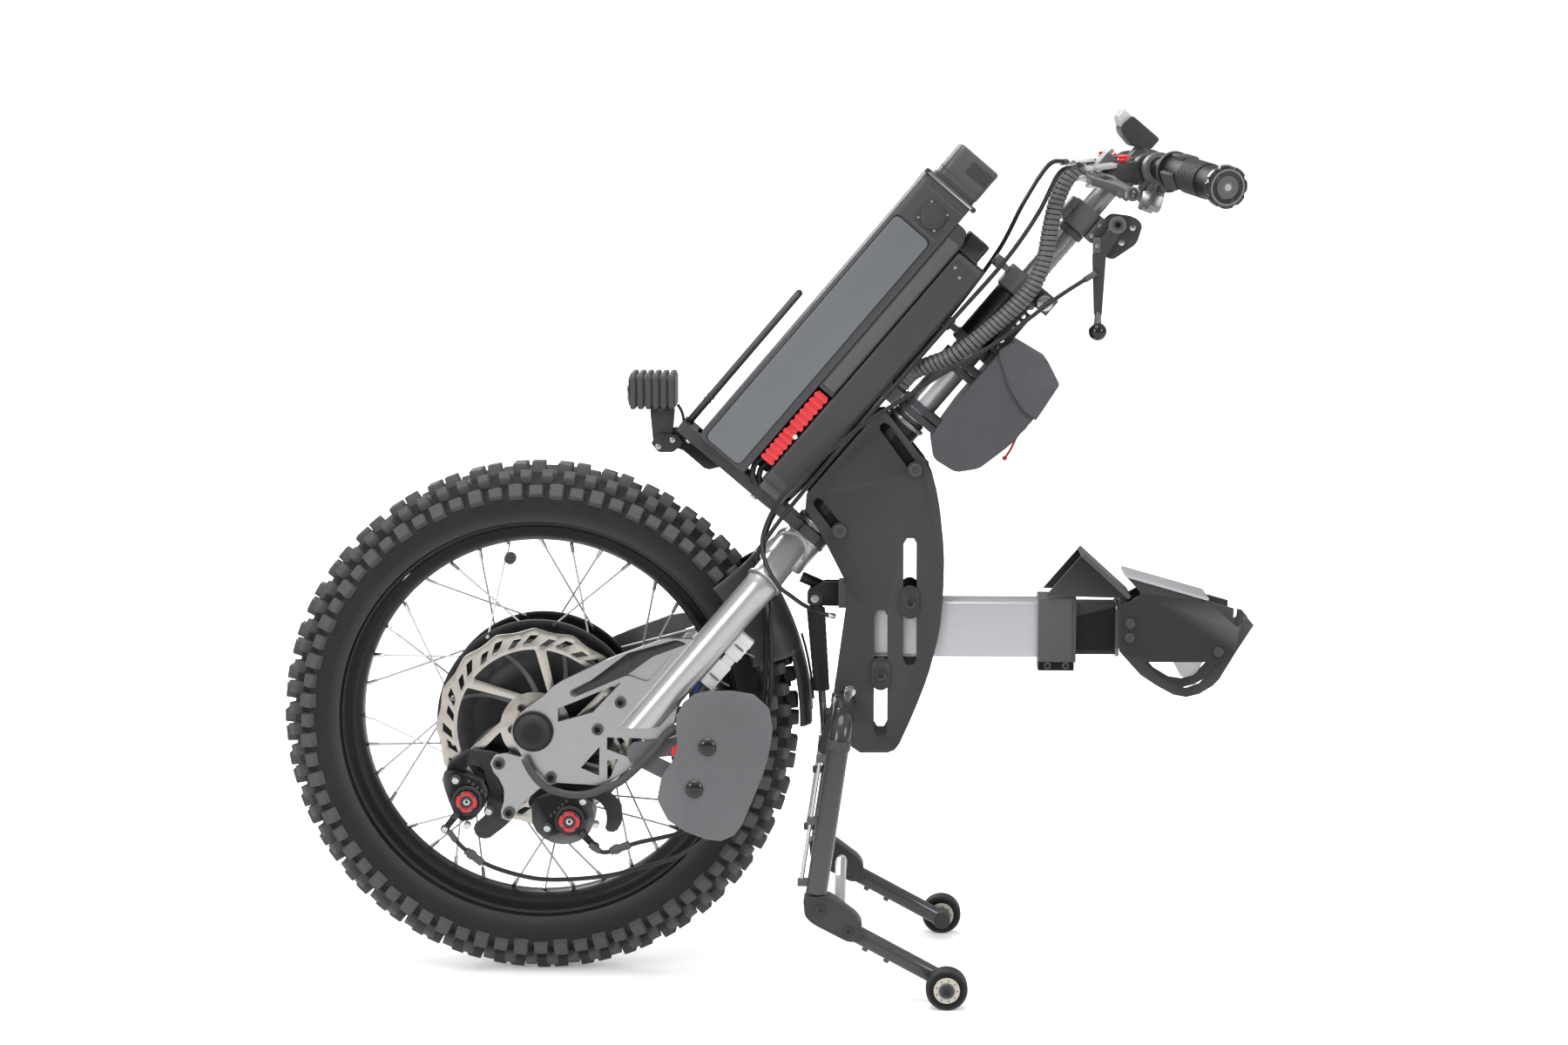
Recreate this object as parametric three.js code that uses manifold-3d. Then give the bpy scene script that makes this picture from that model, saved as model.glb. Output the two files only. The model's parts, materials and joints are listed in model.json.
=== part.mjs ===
// A powered handcycle front end: a motor wheel in a fork, a battery and handlebar on its
// steering column, and a frame that docks it to a wheelchair and parks it on a roller stand.
// Millimetres, +Z up, the wheel leads towards -X and the rider sits towards +X.
import * as THREE from 'three';
import { mergeVertices } from 'three/addons/utils/BufferGeometryUtils.js';
import Module from 'manifold-3d';

const wasm = await Module();
wasm.setup();

// Fits and facets
const seatGap = 0.3;
const overrun = 2;
const sink = 1;
const coarseSides = 8;
const roundSides = 8;
const smoothSides = 12;
const wheelSegments = 32;
const cornerSteps = 1;
const bendSteps = 2;
const slotSteps = 3;

// Wheel
const wheelRadius = 273;
const tyreHalfWidth = 36;
const treadDepth = 9;
const tyreBeadRadius = 206;
const tyreBeadHalfWidth = 21;
const lugCount = 16;
const shoulderLugLength = 42;
const shoulderLugWidth = 13;
const centreLugLength = 50;
const centreLugWidth = 15;
const shoulderLean = 0.62;
const rimHalfWidth = 24;
const rimInnerRadius = 190;
const rimInnerHalfWidth = 10;
const spokeCount = 36;
const spokeRadius = 1.3;
const spokeSides = 3;
const spokeLacingAngle = 0.36;
const hubFlangeRadius = 108;
const hubFlangeThickness = 4;
const hubHalfWidth = 30;
const hubDrumRadius = 98;
const hubCoverRadius = 88;
const hubCoverDepth = 22;
const hubCoverNoseRadius = 45;
const hubRibCount = 4;
const hubRibWidth = 5;
const hubRibHeight = 4;
const rotorSeatRadius = 30;
const rotorRadius = 104.5;
const rotorBandWidth = 21;
const rotorThickness = 2.2;
const rotorY = 62.6;
const rotorWaves = 12;
const rotorWaveDepth = 1.6;
const rotorArms = 6;
const rotorArmWidth = 9;
const axleRadius = 7.5;
const axleClearance = 0.4;
const capRadius = 20;
const capDepth = 13;
const capFillet = 4;

// Steering axis, measured from the axle along and across the axis
const headAngle = THREE.MathUtils.degToRad(49.5);
const forkOffset = 87.8;
const crownHeight = 342.5;

// Fork
const legRadius = 17;
const legHalfSpacing = 81.5;
const legAcross = 8;
const legBendDrop = 68;
const legTopDrop = 30;
const legTopHalfSpacing = 16;
const legFootDrop = 282;
const legFootHeight = 6;
const crownRadius = 21;
const crownDepth = 36;
const crownTopDrop = 13.3;
const steererRadius = 14.3;
const steererTop = 168;

// Dropout plates, outlines as shares of their box round the axle
const dropoutThickness = 8;
const dropoutY = 82;
const dropoutFront = 24;
const dropoutLength = 196;
const dropoutBelow = 57;
const dropoutHeight = 154.7;
const dropoutRound = 6;
const dropoutPocketDepth = 3;
const dropoutShares = [
  [0.015, 0.427], [0.071, 0.511], [0.148, 0.569], [0.25, 0.695], [0.541, 0.87], [0.82, 1],
  [0.98, 1], [1, 0.963], [0.888, 0.562], [0.862, 0.362], [0.699, 0.175], [0.5, 0],
  [0.224, 0.019], [0.092, 0.136], [0, 0.33],
];
const dropoutPocketShares = [
  [0.31, 0.646], [0.832, 0.95], [0.867, 0.899], [0.733, 0.705], [0.622, 0.756], [0.334, 0.595],
];
const dropoutWindowShares = [
  [[0.255, 0.524], [0.342, 0.569], [0.592, 0.705], [0.439, 0.498], [0.255, 0.433]],
  [[0.513, 0.33], [0.712, 0.324], [0.697, 0.266], [0.632, 0.193], [0.513, 0.249]],
  [[0.474, 0.266], [0.47, 0.069], [0.373, 0.12]],
  [[0.513, 0.17], [0.571, 0.181], [0.531, 0.058], [0.513, 0.045]],
];

// Mudguard: half its section as sideways and radius, from the crown out to the skirt's edge
const guardSection = [[0, 287.5], [14, 286], [26, 281], [36, 272.5], [43, 258], [45, 236]];
const guardThickness = 2.5;
const guardTailHalfWidth = 31;
const guardTopAngle = THREE.MathUtils.degToRad(50);
const guardSkirtAngle = THREE.MathUtils.degToRad(17);
const guardTailAngle = THREE.MathUtils.degToRad(-1);
const guardSteps = 9;
const guardBossRadius = 6;
const guardBossDrop = 102;

// Side covers on the fork, outline as shares of their box behind the axle
const coverThickness = 6;
const coverY = 103;
const coverStart = 128;
const coverLength = 122;
const coverBelow = 111;
const coverHeight = 158;
const coverRound = 14;
const coverBossRadius = 7;
const coverBossHeight = 2;
const coverArmWidth = 18;
const coverArmThickness = 4;
const coverBoltShares = [[0.44, 0.63], [0.33, 0.35]];
const coverShares = [
  [0.189, 0.873], [0.279, 0.956], [0.393, 0.994], [0.738, 1], [0.918, 0.949], [1, 0.816],
  [0.975, 0.639], [0.934, 0.494], [0.713, 0.076], [0.615, 0.013], [0.484, 0], [0.172, 0.089],
  [0.041, 0.196], [0, 0.361], [0.107, 0.494], [0.197, 0.589], [0.172, 0.759],
];

// Brake carrier and calipers on the near side, outlines as shares of their boxes
const carrierThickness = 4.6;
const carrierFront = 46;
const carrierLength = 74;
const carrierBelow = 98;
const carrierHeight = 80;
const carrierRound = 5;
const carrierShares = [
  [0, 0.85], [0.162, 0.925], [0.486, 0.85], [0.73, 1], [1, 0.8], [1, 0.525], [0.73, 0.475],
  [0.514, 0.3], [0.378, 0.175], [0.351, 0.037], [0.189, 0], [0.122, 0.1], [0.203, 0.325],
  [0.162, 0.525], [0, 0.7],
];
const mountThickness = 5;
const mountRound = 3;
const caliperThickness = 30;
const caliperY = 65;
const caliperSlot = 4.4;
const caliperRound = 5;
const adjusterRadius = 11.5;
const adjusterHeight = 8;
const armThickness = 4;
const armRingRadius = 16;
const armWidth = 9;
const armReach = 38;
const armTipRadius = 5;
const leftBrake = {
  centre: [-70, -75],
  armAngle: THREE.MathUtils.degToRad(232),
  front: 92, length: 70, below: 118, height: 96,
  mountShares: [
    [0.857, 0.917], [0.714, 0.969], [0.314, 1], [0, 0.833], [0.029, 0.688], [0.171, 0.677],
    [0.343, 0.833], [0.543, 0.792], [0.6, 0.625], [0.6, 0.438], [0.571, 0.271], [0.371, 0.146],
    [0.429, 0.021], [0.6, 0], [0.857, 0.146], [1, 0.25], [1, 0.354], [0.886, 0.375],
    [0.8, 0.5], [0.829, 0.667], [0.886, 0.792],
  ],
  bodyShares: [
    [-0.08, 0.72], [0.02, 0.79], [0.2, 0.75], [0.46, 0.7], [0.62, 0.62], [0.6, 0.46],
    [0.5, 0.3], [0.31, 0.2], [0.14, 0.24], [0, 0.5],
  ],
};
const rightBrake = {
  centre: [37, -95],
  armAngle: THREE.MathUtils.degToRad(313),
  front: 9, length: 100, below: 110, height: 56,
  mountShares: [
    [0.29, 1], [0.43, 1], [0.65, 0.964], [0.83, 0.821], [0.99, 0.571], [1, 0.214], [0.93, 0],
    [0.81, 0.036], [0.84, 0.25], [0.82, 0.464], [0.73, 0.643], [0.59, 0.679], [0.39, 0.679],
    [0.19, 0.643], [0.07, 0.429], [0, 0.536], [0.09, 0.821],
  ],
  bodyShares: [
    [0.05, 0.6], [0.2, 0.78], [0.42, 0.83], [0.62, 0.72], [0.72, 0.45], [0.7, 0.12],
    [0.6, -0.1], [0.42, -0.22], [0.22, -0.15], [0.07, 0.1],
  ],
};

// Steering column, heights along the steering axis from the crown point
const columnRadius = 16.5;
const columnBase = 152;
const columnTop = 262;
const upperTubeRadius = 12;
const upperTubeBase = 190;
const upperTubeTop = 496;
const clampRadius = 20.5;
const clampBase = 246;
const clampTop = 345;
const clampEarLength = 26;
const clampEarThickness = 10;
const clampEarHeight = 20;
const clampBoltRadius = 6;
const clampBoltHead = 3;
const clampLeverRadius = 9.5;
const clampLeverAcross = 24;
const clampLeverReach = 25;

// Head tube and side plates
const headTubeRadius = 19.9;
const headTubeBase = 2;
const headTubeTop = 149;
const plateInnerY = 20.3;
const plateThickness = 8;
const plateFront = 275.6;
const plateLength = 149.8;
const plateBase = 240.4;
const plateHeight = 363.9;
const plateRound = 9;
const plateShares = [
  [0.555, 1], [0.61, 0.981], [0.898, 0.829], [0.965, 0.725], [1, 0.587], [0.996, 0.471],
  [0.971, 0.354], [0.889, 0.222], [0.786, 0.112], [0.684, 0.018], [0.639, 0.001], [0.358, 0],
  [0.226, 0.15], [0.336, 0.481], [0.15, 0.631], [0, 0.733],
];
const tiltSlotRadius = 5.5;
const tiltSlotShares = [[[0.58, 0.945], [0.795, 0.825]], [[0.12, 0.728], [0.271, 0.648]]];
const tiltBoltRadius = 3.6;
const tiltBoltHead = 7;
const tiltBoltHeadHeight = 5;
const heightSlotRadius = 7;
const heightSlotSpan = 136;
const heightSlotShares = [[0.763, 0.4424], [0.56, 0.2337]];
const heightBoltRadius = 4;
const heightBoltHead = 6.5;
const heightBoltHeadHeight = 6;
const washerLength = 33;
const washerWidth = 20;
const washerThickness = 3;
const heightBoltLift = 6;
const tiltBlockHalfLength = 12;
const tiltBlockMargin = 9;

// Docking arm
const armHalfWidth = 20;
const armHeight = 60;
const armWall = 3;
const armCentreHeight = 371.5;
const armStart = 338;
const armEnd = 545;
const armLugLength = 28;
const armLugMargin = 10;
const innerTubeInside = 145;
const innerTubeReach = 62.3;
const innerTubeStart = armEnd - innerTubeInside;
const innerTubeEnd = armEnd + innerTubeReach;
const innerTubeWall = 3;
const bandOverlap = 20.5;
const bandStart = armEnd - bandOverlap;
const bandLength = 38;
const bandWall = 3.5;
const bandFlangeDrop = 11;
const bandFlangeHalfWidth = 14;
const bandBoltRadius = 3.5;
const bandBoltHeight = 3;

// Docking coupler, outlines as shares of the cheek's box
const cheekInnerY = 25;
const cheekThickness = 5;
const cheekLength = 140.5;
const cheekBelowArm = 69.1;
const cheekBase = armCentreHeight - cheekBelowArm;
const cheekHeight = 125.4;
const cheekRound = 3;
const cheekShares = [
  [0.061, 1], [0.659, 0.809], [0.85, 0.749], [0.848, 0.624], [0.881, 0.588], [0.916, 0.61],
  [0.922, 0.675], [0.957, 0.668], [1, 0.61], [0.872, 0.382], [0.753, 0.153], [0.702, 0.094],
  [0.607, 0.027], [0.51, 0], [0.414, 0.018], [0.283, 0.098], [0.166, 0.186], [0.054, 0.325],
  [0.008, 0.384], [0, 0.766], [0.086, 0.81], [0.157, 0.854], [0.156, 0.884],
];
const cheekWindowShares = [
  [0.196, 0.293], [0.732, 0.297], [0.688, 0.211], [0.606, 0.115], [0.51, 0.074],
  [0.412, 0.092], [0.302, 0.165],
];
const cheekBoltShares = [[0.085, 0.62], [0.085, 0.5], [0.742, 0.385]];
const cheekBoltRadius = 5.5;
const cheekBoltHeight = 2.5;
const endBlockLength = 18;
const endBlockShares = [0.72, 0.4];
const wedgeSaddleShares = [0.004, 0.06];
const wedgeShares = [[-0.54, 0.848], [-0.277, 1.191], [0.076, 0.832]];
const wedgePlateThickness = 3;
const roofThickness = 3;
const roofOverhang = 3;
const roofShares = [[0.042, 1.0085], [0.66, 0.812]];
const latchHalfWidth = 6;
const latchPinRadius = 5;
const latchShares = [
  [0.79, 0.44], [0.66, 0.52], [0.375, 0.75], [0.247, 0.9], [0.183, 0.89], [0.233, 0.71],
  [0.318, 0.55], [0.404, 0.3], [0.489, 0.125], [0.589, 0.155], [0.66, 0.285], [0.79, 0.33],
];

// Roller stand
const standPivotX = 321;
const standPivotZ = 294;
const standTubeRadius = 11;
const standHalfSpacing = 126;
const standBend = 26;
const standFootX = 294.5;
const standFootZ = 114.6;
const standStripRadius = 2;
const standStripAhead = 17;
const standClipSize = 7;
const kneeFront = 280;
const kneeLength = 61.8;
const kneeBase = 65;
const kneeHeight = 49.2;
const kneeThickness = 26;
const kneeRound = 5;
const kneeShares = [
  [0.042, 1], [0.419, 0.986], [0.434, 0.762], [0.985, 0.358], [1, 0.114], [0.827, 0],
  [0.073, 0.478], [0, 0.72],
];
const footTubeRadius = 9;
const footStartShares = [0.8, 0.2];
const rollerX = 428.2;
const rollerRadius = 21.5;
const rollerWidth = 21;
const rollerHalfSpacing = 150.5;
const rollerAxleRadius = 5;
const rollerHubRadius = 13;
const rollerRecess = 2;
const footEyeRadius = 9.5;
const rollerCapRadius = 7;
const rollerCapHeight = 2;
const braceRadius = 6;
const braceX = 318;
const braceZ = 88;
const braceRise = 18;

// Stand strut
const strutTopX = 290;
const strutTopZ = 402;
const strutLugX = 301;
const strutLugZ = 249;
const strutBodyRadius = 8.5;
const strutBodyTop = 14;
const strutBodyLength = 86;
const strutRodRadius = 4;
const strutEyeRadius = 8;
const strutEyeHalfWidth = 4.6;
const crankInnerY = 9.2;
const crankThickness = 6;
const crankSpacerReach = 15;
const crankSpacerRadius = 4;
const strutPinRadius = 3;
const strutEarThickness = 4;
const strutRodInset = 30;
const bracketBlockX = 333;
const bracketBlockLength = 18;
const bracketBlockHeight = 26;
const bracketStubRadius = 6;
const bracketStubAcross = 24;
const bracketStubDrop = 49;

// Battery, rack and controller, across and along the steering axis
const rackFront = 177;
const rackHalfWidth = 31;
const rackThickness = 12;
const rackTop = -1.3;
const rackTaperStart = 60;
const rackRingRadius = 22;
const rackHoleLength = 34;
const rackHoleHalfWidth = 20;
const guardRodRadius = 3.5;
const guardRodTop = 176;
const guardRodAcross = 172;
const batteryFront = 155;
const batteryDepth = 60;
const batteryHalfWidth = 45;
const batteryTop = 361;
const batteryRound = 7;
const panelInset = 2;
const panelMargin = 6;
const panelTop = 306;
const panelBase = 5;
const batteryCapHeight = 42;
const batteryCapInset = 5;
const batteryCapHalfWidth = 38;
const handleSlotLength = 26;
const handleSlotHeight = 13;
const portRadius = 14;
const portSquare = 24;
const portHeight = 2.5;
const controllerFront = 76;
const controllerRear = 40;
const controllerHalfWidth = 42;
const controllerBase = 10;
const controllerTop = 318;
const controllerSpine = 6;
const controllerPlugTop = 341;
const controllerPlugHalfWidth = 30;
const controllerPlugFront = 80;
const controllerPlugRear = 52;
const glandFront = 22;
const glandBase = 153;
const glandTop = 170;
const glandNearY = 34;
const glandFarY = 13;
const plugBase = 25;
const plugTop = 115;
const plugHalfWidth = 14;
const plugY = 27;
const plugRibs = 12;
const plugRibDepth = 2;

// Lamp, from the rack's front edge
const lampPivotAhead = 159.2;
const lampPivotAbove = 92.58;
const lampPivotInset = 32;
const lampLength = 48;
const lampHeight = 38;
const lampHalfWidth = 28;
const lampFins = 6;
const lampFinDepth = 3;
const lampLensInset = 2.4;
const lampRise = 33;
const lampEarRadius = 9;
const lampEarThickness = 4;
const lampEarHalfGap = 3.5;
const lampArmWidth = 13;
const lampEarRound = 4;
const rackNoseThickness = 6;
const rackNoseRound = 3;
const rackRound = 4;
const rackNoseShares = [
  [1.073, 2.26], [1.056, 3.08], [0.983, 3.08], [0.904, 2.1], [0.706, 2.1], [0.64, 0.9], [1, 0.9],
];

// Pouch on the column, outline as shares of its box
const pouchFront = 22;
const pouchDepth = 75;
const pouchBase = 138;
const pouchHeight = 154;
const pouchHalfWidth = 42;
const pouchRound = 9;
const pouchShares = [
  [0.02, 0.88], [0.2, 0.97], [0.59, 1], [0.91, 0.93], [1, 0.67], [0.92, 0.34], [0.73, 0.11],
  [0.64, 0.02], [0.28, 0], [0, 0.06], [0.05, 0.7],
];
const strapWidth = 14;
const strapThickness = 1.8;
const strapHeights = [164, 228];

// Handlebar, across, out and along the steering axis
const barRadius = 11;
const barStations = [[0, 0, 482], [0, 40, 484], [4, 108, 497], [18.6, 170, 513], [63.9, 300, 531]];
const gripRadius = 16.5;
const gripLength = 122;
const gripFlangeRadius = 19;
const gripFlangeLength = 5;
const gripRingRadius = 20.5;
const gripRingLength = 8;
const gripRings = 2;
const gripGrooveDepth = 1.2;
const stemRadius = 17;
const stemCollar = 5;
const stemHalfWidth = 22;
const leverMountY = 128;
const leverPerchReach = 58;
const leverPerchDrop = 0.78;
const leverSplay = 0.08;
const leverPerchWidth = 16;
const leverPerchHeight = 12;
const leverMountRing = 15.5;
const leverMountWidth = 12;
const leverPivotRadius = 4;
const leverPinRadius = 2.5;
const leverLength = 118;
const leverWidth = 13;
const leverThickness = 8;
const leverBallRadius = 7;
const leverWindowShares = [[0.14, 0.34], [0.4, 0.3], [0.4, -0.22], [0.2, -0.26]];
const leverShares = [
  [-0.08, 0.5], [0.12, 0.72], [0.5, 0.52], [0.82, 0.2], [1, 0.3], [1, -0.3], [0.8, -0.3],
  [0.45, -0.62], [0.1, -0.7], [-0.08, -0.5],
];
const lockButtonRadius = 5;
const lockButtonHeight = 5;
const lockButtonTravel = 1.5;
const lockStemRadius = 3;
const displayFront = 42;
const displayDepth = 46;
const displayHalfWidth = 36;
const displayBase = 520;
const displayHeight = 17;
const displayRound = 5;
const displayLegWidth = 12;
const throttleY = 152;
const throttleRingRadius = 16;
const throttleRingWidth = 10;
const throttlePaddleReach = 40;
const throttlePaddleWidth = 17;
const throttlePaddleLength = 24;
const throttlePaddleThickness = 9;

// Docking release lever on the upper column
const releaseBlockBase = 412;
const releaseBlockHeight = 28;
const releaseBlockFront = 14;
const releaseBlockRear = 24;
const releaseBlockHalfWidth = 15;
const releasePlateThickness = 4;
const releasePlateShares = [[20, 449], [40, 462], [51, 461], [59, 442], [51, 413], [33, 409], [18, 420]];
const releasePivotAcross = 31;
const releasePivotAlong = 444;
const releaseLeverThickness = 5;
const releasePinHead = 3;
const releasePlateRound = 4;
const releaseLeverRound = 3;
const releaseKneeSet = 2;
const releaseLeverWidth = 13;
const releaseLeverForward = 20;
const releaseLeverKneeDrop = 27;
const releaseLeverDrop = 98;
const releaseBallRadius = 9.5;
const releaseBallDrop = 110;

// Cords, as points along their real routes in the steering frame: across, sideways, along
const brakeCableRadius = 2.4;
const brakeCableSteps = 36;
const releaseCableSteps = 22;
const motorCableSteps = 18;
const releaseCableRadius = 2.4;
const motorCableRadius = 4;
const motorPlugLength = 68;
const motorPlugThickness = 14;
const hoseCrestRadius = 8.8;
const hoseValleyRadius = 7.9;
const hoseBoreRadius = 6.2;
const hoseRibs = 32;
const hoseSides = 8;
const hoseBoreStride = 5;

// Lengths worked out from the sizes above
const sinHead = Math.sin(headAngle);
const cosHead = Math.cos(headAngle);
const headX = forkOffset * sinHead + crownHeight * cosHead;
const headZ = wheelRadius - forkOffset * cosHead + crownHeight * sinHead;
const lampPivotX = headX - lampPivotAhead;
const lampPivotZ = headZ + lampPivotAbove;
const lampFront = lampPivotX - lampPivotInset;
const lampBase = lampPivotZ + lampRise;
const cheekStart = innerTubeEnd;
const partRear = cheekStart + cheekLength;
const partMiddle = (partRear - wheelRadius) / 2;
const hubBoreRadius = axleRadius + axleClearance;
const plateOuterY = plateInnerY + plateThickness;
const dropoutInnerY = dropoutY - dropoutThickness / 2;
const dropoutOuterY = dropoutY + dropoutThickness / 2;
const steelLook = { color: 0xb9bcc0, roughness: 0.35, metalness: 0.9 };
const silverLook = { color: 0xb4b8bc, roughness: 0.45, metalness: 0.6 };
const blackLook = { color: 0x1c1d1f, roughness: 0.5, metalness: 0.3 };
const graphiteLook = { color: 0x3a3b3e, roughness: 0.6, metalness: 0.3 };
const rubberLook = { color: 0x17181a, roughness: 0.85, metalness: 0 };
const redLook = { color: 0xd81820, roughness: 0.4, metalness: 0.1 };
const fabricLook = { color: 0x3b3e43, roughness: 0.95, metalness: 0 };

// Nested frames of the assembly
const handcycle = new THREE.Group();
handcycle.position.x = -partMiddle;
const axleFrame = new THREE.Group();
axleFrame.position.z = wheelRadius;
handcycle.add(axleFrame);
const headFrame = new THREE.Group();
headFrame.position.set(headX, 0, headZ);
headFrame.rotation.y = Math.PI / 2 - headAngle;
handcycle.add(headFrame);
axleFrame.updateMatrix();
headFrame.updateMatrix();
const headToAxle = axleFrame.matrix.clone().invert().multiply(headFrame.matrix);
const axleToHead = headToAxle.clone().invert();
const groundToHead = headFrame.matrix.clone().invert();

// A closed geometry as a solid that can be joined and cut
function solid(geometry) {
  const bare = geometry.clone();
  bare.deleteAttribute('normal');
  bare.deleteAttribute('uv');
  const welded = mergeVertices(bare);
  const corners = welded.index.array;
  const triangles = [];
  for (let i = 0; i < corners.length; i += 3) {
    const [a, b, c] = corners.slice(i, i + 3);
    if (a !== b && b !== c && c !== a) triangles.push(a, b, c);
  }
  const vertProperties = new Float32Array(welded.attributes.position.array);
  const triVerts = new Uint32Array(triangles);
  return new wasm.Manifold(new wasm.Mesh({ numProp: 3, vertProperties, triVerts }));
}

function join(...bodies) {
  return bodies.reduce((sum, body) => sum.add(body));
}

function cut(body, ...tools) {
  return tools.reduce((rest, tool) => rest.subtract(tool), body);
}

function moved(body, matrix) {
  return body.transform(matrix.elements);
}

function shifted(body, x, y, z) {
  return moved(body, new THREE.Matrix4().makeTranslation(x, y, z));
}

function turnedAboutY(body, angle) {
  return moved(body, new THREE.Matrix4().makeRotationY(angle));
}

function mirrored(body) {
  return moved(body, new THREE.Matrix4().makeScale(1, -1, 1));
}

// A finished solid as a named mesh in one of the frames
function place(frame, name, body, look) {
  const result = body.getMesh();
  const geometry = new THREE.BufferGeometry();
  geometry.setAttribute('position', new THREE.BufferAttribute(result.vertProperties, 3));
  geometry.setIndex(new THREE.BufferAttribute(result.triVerts, 1));
  geometry.computeVertexNormals();
  const mesh = new THREE.Mesh(geometry, new THREE.MeshStandardMaterial(look));
  mesh.name = name;
  frame.add(mesh);
}

// An outline whose corners are rounded, each fillet limited by its two edges
function outline(points, round = 0, Kind = THREE.Shape) {
  const shape = new Kind();
  const corners = points.map(([x, y]) => new THREE.Vector2(x, y));
  if (THREE.ShapeUtils.area(corners) < 0) corners.reverse();
  corners.forEach((corner, i) => {
    const back = corners.at(i - 1).clone().sub(corner);
    const onward = corners[(i + 1) % corners.length].clone().sub(corner);
    const reach = Math.min(round, back.length() * 0.45, onward.length() * 0.45);
    const start = corner.clone().addScaledVector(back.normalize(), reach);
    const end = corner.clone().addScaledVector(onward.normalize(), reach);
    if (i === 0) shape.moveTo(start.x, start.y);
    else shape.lineTo(start.x, start.y);
    if (reach > 0) shape.quadraticCurveTo(corner.x, corner.y, end.x, end.y);
  });
  shape.closePath();
  return shape;
}

function scaled(shares, left, width, base, height) {
  return shares.map(([across, up]) => [left + across * width, base + up * height]);
}

// The corner radius of a faceted bore whose flats clear a rod
function boreFor(radius, sides) {
  return (radius + seatGap) / Math.cos(Math.PI / sides);
}

// A plate whose outline lies in X and Z, its thickness centred on a place in Y
function slab(shape, thickness, middle = 0) {
  const options = { depth: thickness, bevelEnabled: false, curveSegments: cornerSteps };
  const geometry = new THREE.ExtrudeGeometry(shape, options);
  geometry.rotateX(Math.PI / 2);
  geometry.translate(0, middle + thickness / 2, 0);
  return solid(geometry);
}

// A plate whose outline lies in X and Y, standing between two heights
function deck(shape, low, high) {
  const options = { depth: high - low, bevelEnabled: false, curveSegments: cornerSteps };
  const geometry = new THREE.ExtrudeGeometry(shape, options);
  geometry.translate(0, 0, low);
  return solid(geometry);
}

function box(xs, ys, zs) {
  const geometry = new THREE.BoxGeometry(xs[1] - xs[0], ys[1] - ys[0], zs[1] - zs[0]);
  geometry.translate((xs[0] + xs[1]) / 2, (ys[0] + ys[1]) / 2, (zs[0] + zs[1]) / 2);
  return solid(geometry);
}

function rod(from, to, radius, sides = roundSides, endRadius = radius) {
  const start = new THREE.Vector3(...from);
  const run = new THREE.Vector3(...to).sub(start);
  const geometry = new THREE.CylinderGeometry(endRadius, radius, run.length(), sides);
  const up = new THREE.Vector3(0, 1, 0);
  geometry.applyQuaternion(new THREE.Quaternion().setFromUnitVectors(up, run.clone().normalize()));
  const middle = start.addScaledVector(run, 1 / 2);
  geometry.translate(middle.x, middle.y, middle.z);
  return solid(geometry);
}

function ball(at, radius, sides = roundSides) {
  const geometry = new THREE.SphereGeometry(radius, sides, sides / 2);
  geometry.translate(...at);
  return solid(geometry);
}

// A solid of revolution about Y from a closed profile of radius and height
function turned(profile, segments) {
  const loop = profile.map(([radius, height]) => new THREE.Vector2(radius, height));
  const area = THREE.ShapeUtils.area(loop);
  const ordered = area > 0 ? loop : loop.reverse();
  const closed = ordered[0].x > 0 || ordered.at(-1).x > 0 ? [...ordered, ordered[0].clone()] : ordered;
  return solid(new THREE.LatheGeometry(closed, segments));
}

function turnedAboutZ(profile, segments) {
  const upright = new THREE.Matrix4().makeRotationX(Math.PI / 2);
  return moved(turned(profile, segments), upright);
}

// A path whose rings stand exactly at its stations
class StationPath extends THREE.Curve {
  constructor(stations) {
    super();
    this.stations = stations;
  }

  getPoint(share) {
    return this.stations[Math.round(share * (this.stations.length - 1))].clone();
  }

  getPointAt(share) {
    return this.getPoint(share);
  }

  getTangentAt(share) {
    const i = Math.round(share * (this.stations.length - 1));
    const before = this.stations[Math.max(i - 1, 0)];
    const after = this.stations[Math.min(i + 1, this.stations.length - 1)];
    return after.clone().sub(before).normalize();
  }
}

function disc(radius, sides) {
  const shape = new THREE.Shape();
  for (let i = 0; i < sides; i += 1) {
    const angle = (i / sides) * Math.PI * 2;
    const point = [radius * Math.cos(angle), radius * Math.sin(angle)];
    if (i === 0) shape.moveTo(...point);
    else shape.lineTo(...point);
  }
  shape.closePath();
  return shape;
}

function swept(stations, radius, sides) {
  const extrudePath = new StationPath(stations);
  const options = { steps: stations.length - 1, bevelEnabled: false, extrudePath };
  return solid(new THREE.ExtrudeGeometry(disc(radius, sides), options));
}

// A tube through corner points, each inner corner rounded to a bend
function bentTube(corners, bend, radius, sides = roundSides) {
  const points = corners.map((corner) => new THREE.Vector3(...corner));
  const stations = [points[0]];
  points.slice(1, -1).forEach((corner, i) => {
    const back = points[i].clone().sub(corner);
    const onward = points[i + 2].clone().sub(corner);
    const reach = Math.min(bend, back.length() * 0.45, onward.length() * 0.45);
    const start = corner.clone().addScaledVector(back.normalize(), reach);
    const end = corner.clone().addScaledVector(onward.normalize(), reach);
    stations.push(...new THREE.QuadraticBezierCurve3(start, corner, end).getPoints(bendSteps));
  });
  stations.push(points.at(-1));
  return swept(stations, radius, sides);
}

// A cord as a smooth tube through its route
function cord(route, radius, steps) {
  const points = route.map((point) => new THREE.Vector3(...point));
  const curve = new THREE.CatmullRomCurve3(points, false, 'centripetal');
  return swept(curve.getSpacedPoints(steps), radius, coarseSides);
}

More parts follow.
